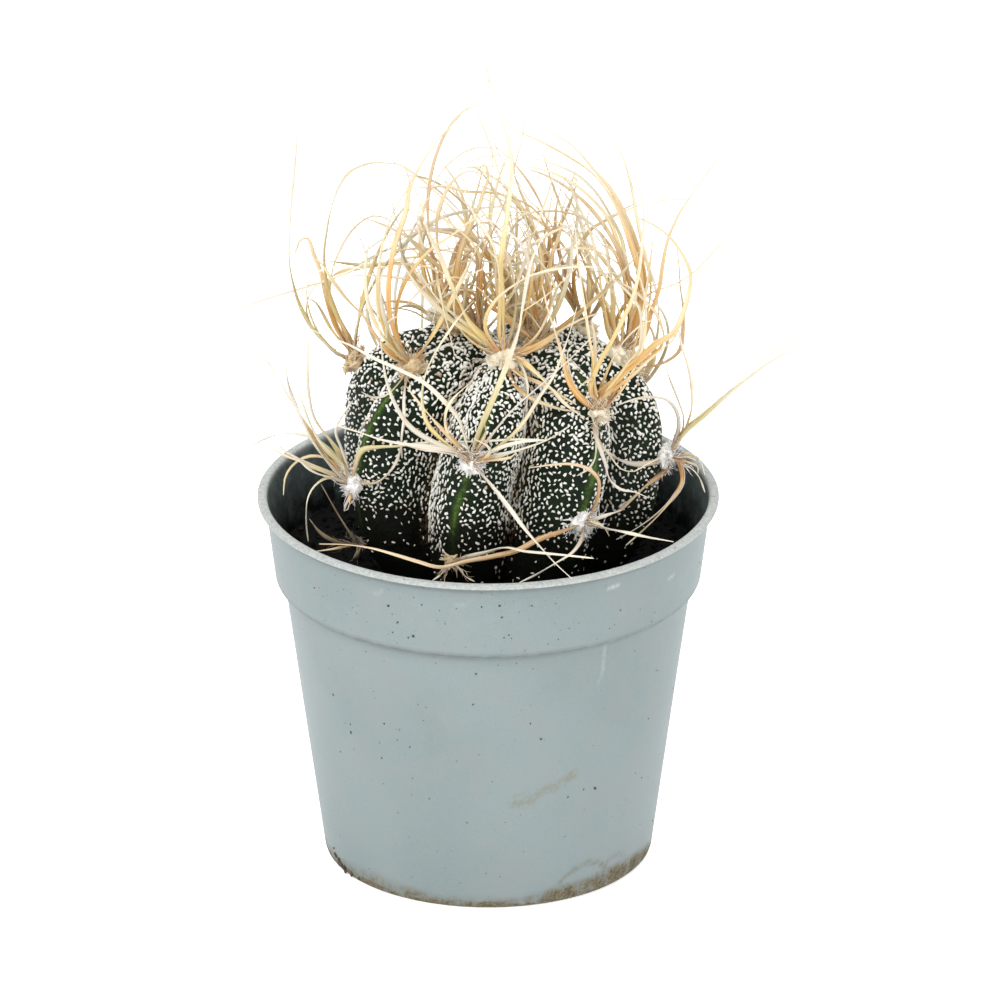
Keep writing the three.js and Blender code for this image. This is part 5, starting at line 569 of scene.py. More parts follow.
def pot_material():
    k = Nodes("pot_plastic")
    z, inside = k.axis("Z"), k.attr("inside")
    broad = k.noise(0.045, 2, 0.5)
    streak = k.noise(1.0, 4, 0.6, k.scaled(k.at(), 0.55, 0.55, 0.035))
    grain = k.noise(3.2, 3, 0.65)
    fine = k.noise(7.5, 2, 0.6)
    base = k.mix(k.remap(broad, 0.35, 0.65), srgb(121, 134, 135), srgb(127, 139, 140))
    base = k.mix(k.remap(streak, 0.35, 0.7, 0, 0.16), base, srgb(131, 137, 136))
    base = k.mix(k.remap(grain, 0.52, 0.75, 0, 0.5), base, srgb(140, 146, 144))
    base = k.mix(k.remap(fine, 0.54, 0.72, 0, 0.5), base, srgb(104, 115, 116))
    # warm dust in broad soft patches
    base = k.mix(k.remap(k.noise(0.15, 5, 0.7), 0.42, 0.66, 0, 0.36), base, srgb(133, 135, 134))
    # pale rubbed film on the rim band and the upper wall
    rub = k.math("MULTIPLY", k.remap(k.noise(0.35, 5, 0.7), 0.5, 0.72), k.remap(z, 30, 50, 0.03, 0.16))
    base = k.mix(rub, base, srgb(146, 150, 148))
    # lip: worn, chalky grey-beige
    lip = k.attr("lip")
    lipc = k.mix(k.remap(k.noise(2.2, 4, 0.7), 0.35, 0.65), srgb(153, 157, 155), srgb(177, 181, 179))
    lipc = k.mix(k.remap(k.noise(5.0, 2, 0.5), 0.62, 0.72, 0, 0.6), lipc, srgb(204, 205, 200))
    lipc = k.mix(k.remap(k.noise(1.3, 3, 0.6, k.scaled(k.at(), 1, 1, 3)), 0.63, 0.72, 0, 0.7), lipc, srgb(120, 105, 88))
    base = k.mix(lip, base, lipc)
    # painted shade with grime: dark lines under the lip and band overhangs, in the two creases
    crease = k.math("MULTIPLY", k.attr("crease"), k.remap(k.noise(0.6, 3, 0.6), 0.3, 0.6, 0.55, 1.0))
    base = k.mix(crease, base, srgb(74, 76, 72))
    # splash marks and rubbed scratches
    sm = k.math("MULTIPLY", k.attr("smear"), k.remap(k.noise(1.7, 4, 0.65), 0.36, 0.58))
    base = k.mix(k.math("MULTIPLY", sm, 0.75), base, srgb(118, 117, 102))
    sc = k.math("MULTIPLY", k.attr("scuff"), k.remap(k.noise(3.0, 3, 0.65), 0.38, 0.6, 0.3, 1.0))
    base = k.mix(k.math("MULTIPLY", sc, 0.7), base, srgb(186, 190, 188))
    # dried mud round the foot
    mud = k.math("MULTIPLY", k.attr("mud"), k.remap(k.noise(0.5, 4, 0.55), 0.28, 0.66, 0.30, 0.9))
    mudc = k.mix(k.remap(k.noise(2.5, 4, 0.6), 0.35, 0.65), srgb(84, 76, 58), srgb(114, 107, 89))
    base = k.mix(mud, base, mudc)
    # sparse tiny specks of dust
    sp = k.remap(k.voronoi(0.42), 0.075, 0.045, 0, 0.8)
    sp = k.math("MULTIPLY", sp, k.remap(k.noise(0.16, 2, 0.5), 0.44, 0.58))
    base = k.mix(k.math("MULTIPLY", sp, 0.8), base, srgb(80, 76, 68))
    # the inner wall is painted darker as painted shade inside the pot, and is damp and stained towards the soil
    stain = k.math("MULTIPLY", inside, k.remap(z, 53.0, 44.5, 0.0, 1.0))
    shaded_inside_colour = k.mix(k.remap(k.noise(0.5, 5, 0.65), 0.35, 0.65), srgb(84, 98, 98), srgb(116, 130, 130))
    base = k.mix(k.math("MULTIPLY", inside, 0.85), base, shaded_inside_colour)
    base = k.mix(k.math("MULTIPLY", stain, k.remap(k.noise(0.4, 5, 0.7), 0.25, 0.6, 0.45, 1.0)), base, srgb(12, 11, 10))
    rough = k.remap(grain, 0.3, 0.7, 0.42, 0.58, "LINEAR")
    rough = k.math("ADD", rough, k.math("MULTIPLY", mud, 0.35), clamp=True)
    rough = k.math("ADD", rough, k.math("MULTIPLY", lip, 0.2), clamp=True)
    b = k.bump(k.math("ADD", k.math("MULTIPLY", grain, 0.5), k.math("MULTIPLY", streak, 1.2)), 0.35, 0.00006)
    b = k.bump(mud, 0.25, 0.0001, b)
    k.b.inputs["IOR"].default_value = 1.46
    k.b.inputs["Specular IOR Level"].default_value = 0.22
    return k.set(Base_Color=base, Roughness=rough, Normal=b)


def dirt_material():
    k = Nodes("dried_soil_specks")
    c = k.mix(k.remap(k.noise(1.5, 3, 0.6), 0.35, 0.65), srgb(46, 41, 34), srgb(88, 80, 68))
    return k.set(Base_Color=c, Roughness=0.9, Normal=k.bump(k.noise(6.0, 3), 0.6, 0.0001))


def soil_material():
    k = Nodes("potting_soil")
    a = k.noise(0.9, 6, 0.7)
    # painted shade: the soil and its chips are painted near black, darker than the soil itself, for the shade down
    # inside the pot
    c = k.mix(k.remap(a, 0.3, 0.7), srgb(3, 2, 2), srgb(9, 7, 5))
    c = k.mix(k.remap(k.noise(3.5, 4, 0.7), 0.62, 0.75, 0, 0.6), c, srgb(22, 17, 12))
    c = k.mix(k.attr("chip"), c, k.mix(k.remap(k.noise(2.0, 3), 0.4, 0.6), srgb(24, 17, 11), srgb(46, 36, 26)))
    b = k.bump(k.noise(2.4, 6, 0.75), 0.9, 0.0006)
    k.b.inputs["Specular IOR Level"].default_value = 0.15
    return k.set(Base_Color=c, Roughness=k.remap(a, 0.3, 0.7, 0.75, 0.98, "LINEAR"), Normal=b)


def skin_material():
    k = Nodes("cactus_skin")
    a, f = k.noise(0.35, 4, 0.6), k.noise(2.6, 4, 0.65)
    c = k.mix(k.remap(a, 0.3, 0.7), srgb(4, 14, 6), srgb(11, 30, 10))
    c = k.mix(k.remap(f, 0.45, 0.75, 0, 0.5), c, srgb(20, 42, 15))
    bright = k.math("MULTIPLY", k.attr("crest"), k.remap(k.noise(0.45, 3, 0.6), 0.32, 0.6, 0.25, 1.0))
    c = k.mix(bright, c, k.mix(k.remap(f, 0.35, 0.65), srgb(42, 76, 22), srgb(92, 116, 44)))
    # painted shade darkening the foot of the stem to near black, and dusty furrows
    painted_foot_shade = k.math("MULTIPLY", k.attr("foot"), k.remap(k.noise(0.7, 5, 0.7), 0.25, 0.6, 0.6, 1.0))
    c = k.mix(painted_foot_shade, c, k.mix(k.remap(f, 0.35, 0.65), srgb(6, 6, 4), srgb(20, 18, 12)))
    fur = k.math("MULTIPLY", k.attr("furrow"), k.remap(k.noise(1.3, 5, 0.7), 0.42, 0.62))
    c = k.mix(fur, c, k.mix(k.remap(f, 0.35, 0.65), srgb(50, 38, 26), srgb(120, 100, 76)))
    rough = k.remap(f, 0.3, 0.7, 0.5, 0.68, "LINEAR")
    k.b.inputs["Specular IOR Level"].default_value = 0.16
    b = k.bump(k.noise(4.5, 4, 0.6), 0.5, 0.00012)
    b = k.bump(a, 0.5, 0.0006, b)
    k.b.inputs["Subsurface Weight"].default_value = 0.0
    return k.set(Base_Color=c, Roughness=rough, Normal=b)


def felt_material():
    k = Nodes("white_felt_flecks")
    n = k.noise(5.0, 3, 0.6)
    c = k.mix(k.remap(n, 0.3, 0.7), srgb(226, 224, 212), srgb(252, 251, 247))
    c = k.mix(k.attr("old"), c, k.mix(k.remap(n, 0.35, 0.65), srgb(150, 124, 92), srgb(206, 186, 156)))
    return k.set(Base_Color=c, Roughness=0.95, Sheen_Weight=0.3, Normal=k.bump(k.noise(9.0, 3), 0.8, 0.0001))


def spine_material():
    k = Nodes("spine_paper")
    across, along = k.attr("across"), k.attr("along")
    co = k.n("ShaderNodeCombineXYZ")
    k.put(co.inputs[0], k.math("MULTIPLY", across, 2.6))
    k.put(co.inputs[1], k.math("MULTIPLY", along, 0.10))
    k.put(co.inputs[2], k.attr("seed"))
    streak = k.noise(1.6, 4, 0.6, co.outputs[0])
    co2 = k.n("ShaderNodeCombineXYZ")
    k.put(co2.inputs[0], k.math("MULTIPLY", across, 0.4))
    k.put(co2.inputs[1], k.math("MULTIPLY", along, 0.35))
    k.put(co2.inputs[2], k.attr("seed"))
    blotch = k.noise(0.8, 3, 0.6, co2.outputs[0])
    tint = k.attr("tint", "Color")
    c = k.mix(k.remap(streak, 0.35, 0.7, 0.0, 0.5), tint, srgb(236, 222, 182))
    c = k.mix(k.remap(streak, 0.48, 0.28, 0.0, 0.34), c, srgb(160, 108, 54))
    c = k.mix(k.remap(blotch, 0.58, 0.75, 0.0, 0.26), c, srgb(188, 134, 72))
    b = k.bump(streak, 0.5, 0.0001)
    k.b.inputs["Subsurface Weight"].default_value = 0.0
    return k.set(Base_Color=c, Roughness=k.remap(streak, 0.3, 0.7, 0.38, 0.6, "LINEAR"), Normal=b)


def wool_material():
    k = Nodes("areole_wool")
    n = k.noise(2.2, 5, 0.7)
    tint = k.attr("tint", "Color")
    c = k.mix(k.remap(n, 0.45, 0.75, 0, 0.5), tint, srgb(250, 248, 240))
    c = k.mix(k.remap(n, 0.42, 0.25, 0, 0.6), c, (0.80, 0.72, 0.62), "MULTIPLY")
    return k.set(Base_Color=c, Roughness=0.92, Sheen_Weight=0.4, Normal=k.bump(k.noise(5.0, 4, 0.7), 0.8, 0.0002))


POT_MAT, DIRT_MAT, SOIL_MAT = pot_material(), dirt_material(), soil_material()
SKIN_MAT, FELT_MAT, SPINE_MAT, WOOL_MAT = skin_material(), felt_material(), spine_material(), wool_material()


# ------------------------------------------------------------------ nursery pot
def pot_radius(z):
    """Outside radius of the pot at a height."""
    return float(np.interp(z, [0.8, 41.55, 41.75, 52.9, 53.2], [23.1, 28.78, 29.97, 31.45, 32.5]))


def make_pot():
    outer = [(0, 0.0), (20.4, 0.0), (20.6, 0.12), (21.0, 0.12), (21.2, 0.0), (22.2, 0.0), (22.62, 0.12), (22.95, 0.42), (23.12, 0.9)]
    outer += spread([(23.12, 0.9), (28.72, 41.15)], 0.6)[1:]
    outer += [(28.76, 41.45), (28.86, 41.6), (29.2, 41.66), (29.7, 41.69), (29.92, 41.78), (30.0, 42.0)]
    outer += spread([(30.0, 42.0), (31.35, 52.55)], 0.6)[1:]
    outer += [(31.42, 52.85), (31.5, 52.97), (31.75, 53.02), (32.2, 53.06), (32.42, 53.16), (32.5, 53.3), (32.5, 53.48), (32.4, 53.66),
              (32.2, 53.77), (31.95, 53.8), (31.65, 53.8), (31.4, 53.76), (31.2, 53.64), (31.1, 53.4)]
    inner = spread([(31.1, 53.4), (29.25, 42.8)], 0.8)[1:] + [(29.0, 42.4), (28.3, 41.9), (27.98, 41.3)]
    inner += spread([(27.98, 41.3), (22.4, 2.0)], 1.6)[1:] + [(22.25, 1.5), (21.8, 1.2)] + spread([(21.8, 1.2), (0, 1.2)], 2.2)[1:]
    profile = np.array(outer + inner)
    n = 352
    v, quads, caps = lathe(profile, n)
    rings = len(profile) - 2
    ring = np.repeat(np.arange(rings), n)
    r, z = np.hypot(v[:, 0], v[:, 1]), v[:, 2]
    th = np.arctan2(v[:, 0], -v[:, 1])
    lip_top = len(outer) - 1
    side = np.concatenate([(ring >= lip_top).astype(float), [0, 1]])
    # a moulded wall is never quite round or straight
    soft = 0.05 * np.sin(3 * th + 0.6) + 0.03 * np.sin(7 * th + z * 0.05)
    scale = 1 + soft / np.maximum(r, 5) * smooth(2, 30, z)
    v[:, 0] *= scale
    v[:, 1] *= scale
    lip = smooth(52.98, 53.15, z) * np.where(side > 0, smooth(52.9, 53.5, z), 1)
    # painted shade with some grime: dark lines at the lip's lower edge, on the band under the lip, on the band's lower
    # edge and on the wall under the band
    crease = np.maximum(np.exp(-((z - 53.08) / 0.09) ** 2), np.exp(-((z - 52.45) / 0.22) ** 2) * 0.45)
    crease = np.maximum(crease, np.where(r > 29.3, np.exp(-((z - 41.86) / 0.15) ** 2), 0.0))
    crease = np.maximum(crease, np.where(r < 29.3, 0.45 * np.exp(-((z - 41.3) / 0.22) ** 2), 0.0)) * (1 - side)
    crease = crease * np.where(r > 28, 1, 0)
    outside = (1 - side) * (z > 0.3)
    g = wobble(np.stack([5 * np.cos(th), 5 * np.sin(th), z * 0.5], -1), 1.0, 5)
    g2 = wobble(np.stack([16 * np.cos(th), 16 * np.sin(th), z * 1.2], -1), 1.0, 6)
    right = smooth(0.1, 0.7, th) * smooth(1.75, 1.1, th)
    left = smooth(-0.25, -0.7, th)
    height = 1.35 + 0.6 * g + 0.25 * g2 + 1.4 * right + 0.3 * left
    mud = smooth(height + 1.0, height - 0.8, z) * outside * (0.85 + 0.6 * right)
    mud = np.maximum(mud, smooth(1.25, 0.8, z + 0.2 * g2) * (1 - side) * 1.8)
    arc = lambda th0, z0, w, hgt: np.exp(-(((z - (z0 - hgt * ((th - th0) / w) ** 2)) / 0.38) ** 2)) * smooth(w, w * 0.8, abs(th - th0))
    mud = np.maximum(mud, 0.75 * arc(0.62, 5.4, 0.22, 3.2) * outside)
    mud = np.maximum(mud, 0.55 * arc(0.86, 5.0, 0.14, 2.4) * outside)

    def stroke(points, width, amount):
        """A soft line on the wall through (x, z) points, seen from the front."""
        best = np.full(len(v), 9.0)
        front = v[:, 1] < 0
        for (x0, z0), (x1, z1) in zip(points[:-1], points[1:]):
            d = np.array([x1 - x0, z1 - z0])
            s = np.clip(((v[:, 0] - x0) * d[0] + (z - z0) * d[1]) / max(d @ d, 1e-9), 0, 1)
            best = np.minimum(best, np.hypot(v[:, 0] - x0 - s * d[0], z - z0 - s * d[1]))
        return amount * smooth(width, width * 0.25, best) * outside * front

    smear = stroke([(3.6, 17.4), (4.6, 17.0), (6.2, 17.6), (7.6, 18.9), (9.4, 19.3), (11.2, 20.3), (12.0, 20.9)], 1.15, 0.8)
    smear = np.maximum(smear, stroke([(3.6, 17.4), (3.9, 18.6), (5.6, 18.9)], 0.6, 0.45))
    smear = np.maximum(smear, stroke([(-9, 31), (-7, 29), (-8, 26)], 1.8, 0.18))
    scuff = stroke([(17.0, 50.6), (18.0, 50.75)], 0.42, 1.0)
    scuff = np.maximum(scuff, stroke([(25.2, 48.2), (25.8, 48.4)], 0.36, 0.7))
    scuff = np.maximum(scuff, stroke([(-15.8, 50.3), (-14.8, 50.6)], 0.42, 0.35))
    scuff = np.maximum(scuff, stroke([(16.4, 41.0), (16.2, 38.0), (15.6, 34.8)], 0.28, 0.40))
    scuff = np.maximum(scuff, stroke([(-4.2, 50.2), (-3.4, 50.4)], 0.38, 0.3))
    p = Parts()
    p.add(v, [quads, caps], 0, inside=side, lip=lip, crease=crease, mud=mud, smear=smear, scuff=scuff)

    # crumbs of dried soil stuck to the wall: (x, z, radius)
    crumbs = [(-14.0, 48.6, .32), (-9.3, 49.7, .2), (-12.7, 46.2, .26), (-13.4, 44.4, .2), (-10.5, 44.4, .32), (-11.2, 44.0, .22),
              (-0.9, 50.0, .22), (1.6, 50.2, .3), (1.9, 48.3, .24), (2.9, 45.4, .22), (2.2, 45.0, .17), (-1.7, 38.6, .26), (-2.1, 33.6, .22),
              (-21.8, 30.0, .24), (-19.4, 26.4, .2), (-19.3, 25.1, .32), (-14.6, 28.4, .22), (-12.8, 26.2, .17), (-11.0, 25.5, .2),
              (-15.0, 22.6, .22), (7.4, 27.5, .3), (5.9, 30.2, .17), (15.0, 17.6, .36), (13.4, 17.9, .22), (11.2, 17.2, .22),
              (22.5, 25.4, .2), (23.6, 32.9, .17), (-20.8, 20.9, .17), (6.1, 49.9, .2), (-6.0, 47.0, .15), (9.8, 44.0, .17), (-3.0, 14.2, .18),
              (-17.2, 39.5, .15), (18.5, 46.6, .18), (0.6, 21.0, .14), (-8.3, 17.5, .17), (21.6, 15.8, .16), (-24.4, 47.5, .2)]
    g3 = np.random.default_rng(91)
    for _ in range(120):
        x = g3.uniform(-24, 24)
        crumbs.append((x, g3.choice([g3.uniform(3, 40), g3.uniform(42.5, 52.5)]), g3.uniform(0.06, 0.13)))
    for _ in range(70):  # round the back and sides
        a = g3.uniform(1.3, 4.98)
        crumbs.append((a, g3.uniform(3, 52), -g3.uniform(0.1, 0.3)))
    crumbs += [(-20.9 + d, 1.3 + e, s) for d, e, s in ((0, 0, 1.1), (0.7, -0.4, .9), (-0.6, 0.6, .75), (1.6, -0.5, .6), (2.6, -0.6, .4), (-0.9, 1.6, .4))]
    specks = Parts()
    wall_v = v[outside > 0.5]
    wall_r, wall_a = np.hypot(wall_v[:, 0], wall_v[:, 1]), np.arctan2(wall_v[:, 0], -wall_v[:, 1])
    for x, zz, s in crumbs:
        s = s * 0.78
        R = pot_radius(max(zz, 0.9))
        if s < 0:
            a, s = x, -s
        else:
            a = math.asin(max(-0.97, min(0.97, x / R)))
        n0 = np.array([math.sin(a), -math.cos(a), -0.14 if zz < 41.5 else -0.13])
        n0 /= np.linalg.norm(n0)
        e1 = np.array([math.cos(a), math.sin(a), 0])
        e2 = np.cross(n0, e1)
        # the wall is not perfectly round: take its real radius here
        turn = np.abs((wall_a - a + math.pi) % (2 * math.pi) - math.pi)
        near = np.argmin((turn * R) ** 2 + (wall_v[:, 2] - zz) ** 2)
        R = wall_r[near] + pot_radius(max(zz, 0.9)) - pot_radius(max(wall_v[near, 2], 0.9)) + 0.02
        c = np.array([R * math.sin(a), -R * math.cos(a), zz])
        m = 9
        ph = np.arange(m) * 2 * np.pi / m + g3.uniform(0, 6)
        st, ro = g3.uniform(0.7, 1.3), g3.uniform(0, 3.1)
        rr = s * g3.uniform(0.65, 1.2, m)
        lx, ly = rr * np.cos(ph) * st, rr * np.sin(ph) / st
        lx, ly = lx * math.cos(ro) - ly * math.sin(ro), lx * math.sin(ro) + ly * math.cos(ro)
        lift = 0.3 * s + 0.02
        rim = c + lx[:, None] * e1 + ly[:, None] * e2 - 0.05 * n0
        mid = c + 0.6 * (lx[:, None] * e1 + ly[:, None] * e2) + lift * g3.uniform(0.5, 1.0, m)[:, None] * n0
        vv = np.vstack([rim, mid, c + lift * n0, c - 0.12 * n0])
        j = np.arange(m)
        q = np.stack([j, (j + 1) % m, m + (j + 1) % m, m + j], -1)
        t1 = np.stack([m + j, m + (j + 1) % m, np.full(m, 2 * m)], -1)
        t2 = np.stack([(j + 1) % m, j, np.full(m, 2 * m + 1)], -1)
        if np.dot(np.cross(vv[q[0, 1]] - vv[q[0, 0]], vv[q[0, 2]] - vv[q[0, 0]]), rim[0] - c + n0 * 0.3) < 0:
            q, t1, t2 = q[:, ::-1], t1[:, ::-1], t2[:, ::-1]
        specks.add(vv, [q, t1, t2], 0)
    o = p.build("nursery_pot_moulded", [POT_MAT],
                {"inside": "FLOAT", "lip": "FLOAT", "crease": "FLOAT", "mud": "FLOAT", "smear": "FLOAT", "scuff": "FLOAT"})
    # drainage holes through the floor
    tools = []
    for i in range(5):
        a = (i + 0.5) * 2 * math.pi / 5
        m = 40
        th = np.arange(m) * 2 * np.pi / m
        cx, cy = 14.5 * math.cos(a), 14.5 * math.sin(a)
        vv = np.vstack([np.stack([cx + 2.6 * np.cos(th), cy + 2.6 * np.sin(th), np.full(m, z)], -1) for z in (-1.0, 1.19, 2.5)])
        j = np.arange(m)
        q = np.vstack([np.stack([k * m + j, k * m + (j + 1) % m, (k + 1) * m + (j + 1) % m, (k + 1) * m + j], -1) for k in (0, 1)])
        t = make_mesh("drill%d" % i, vv, [q, (np.arange(m)[::-1])[None], (2 * m + np.arange(m))[None]], [POT_MAT])
        b = o.modifiers.new("drain%d" % i, "BOOLEAN")
        b.operation, b.object, b.solver = "DIFFERENCE", t, "EXACT"
        tools.append(t)
    bpy.context.view_layer.update()
    dg = bpy.context.evaluated_depsgraph_get()
    me = bpy.data.meshes.new_from_object(o.evaluated_get(dg))
    o.modifiers.clear()
    o.data = me
    for t in tools:
        bpy.data.objects.remove(t)
    return o, specks.build("nursery_pot_dried_specks", [DIRT_MAT], {})


pot, pot_specks = make_pot()


# ------------------------------------------------------------------ potting soil
def make_soil():
    p = Parts()
    n = 220
    top = [(29.0 - 29.0 * (k / 72) ** 1.0, SOIL_LEVEL) for k in range(72)]
    side = [(0, 1.55), (21.2, 1.55), (21.9, 2.2)] + spread([(21.9, 2.2), (27.55, 41.4)], 3)[1:] + [(28.7, 42.8)]
    v, quads, caps = lathe(side + top + [(0, SOIL_LEVEL)], n)
    up = smooth(43.5, 43.9, v[:, 2])
    base = 0.35 * np.sin(0.55 * v[:, 0] + 0.8) * np.cos(0.47 * v[:, 1] - 0.4) + 0.2 * np.sin(1.3 * v[:, 0] - 0.9 * v[:, 1]) + 0.15
    lumps = 0.16 * wobble(v, 2.1, 11) + 0.10 * wobble(v, 4.6, 12)
    v[:, 2] += up * (base + lumps)
    p.add(v, [quads, caps], 0, chip=np.zeros(len(v)))
    # crumbs, grit and bark chips lying on top
    g = np.random.default_rng(5)
    ico = [(0, 0, 1), (.894, 0, .447), (.276, .851, .447), (-.724, .526, .447), (-.724, -.526, .447), (.276, -.851, .447),
           (.724, .526, -.447), (-.276, .851, -.447), (-.894, 0, -.447), (-.276, -.851, -.447), (.724, -.526, -.447), (0, 0, -1)]
    icof = np.array([(0, 1, 2), (0, 2, 3), (0, 3, 4), (0, 4, 5), (0, 5, 1), (1, 6, 2), (2, 7, 3), (3, 8, 4), (4, 9, 5), (5, 10, 1),
                     (2, 6, 7), (3, 7, 8), (4, 8, 9), (5, 9, 10), (1, 10, 6), (6, 11, 7), (7, 11, 8), (8, 11, 9), (9, 11, 10), (10, 11, 6)])
    ico = np.array(ico)
    m = 0
    while m < 1500:
        rad, a = 28.6 * math.sqrt(g.uniform(0.2, 1)), g.uniform(0, 6.2832)
        x, y = rad * math.cos(a), rad * math.sin(a)
        zt = SOIL_LEVEL + 0.35 * math.sin(0.55 * x + 0.8) * math.cos(0.47 * y - 0.4) + 0.2 * math.sin(1.3 * x - 0.9 * y) + 0.15
        s = g.choice([g.uniform(0.18, 0.4), g.uniform(0.35, 0.75)], p=[0.8, 0.2])
        chip = 1.0 if g.uniform() < 0.07 else 0.0
        if rad + s > 28.6:
            continue
        q, _ = np.linalg.qr(g.normal(size=(3, 3)))
        pts = ico * g.uniform(0.7, 1.2, (12, 1)) * np.array([1.0, g.uniform(0.6, 1), g.uniform(0.35, 0.8)])
        pts = (pts @ q.T) * s
        if np.linalg.det(q) < 0:
            pts[:, 0] *= -1
            pts = pts * 1.0
            f = icof if np.linalg.det(q) < 0 and False else icof
        p.add(pts + np.array([x, y, zt + 0.1 * s]), [icof], 0, chip=np.full(12, chip * 0.9))
        m += 1
    return p.build("potting_soil_surface", [SOIL_MAT], {"chip": "FLOAT"})


soil = make_soil()


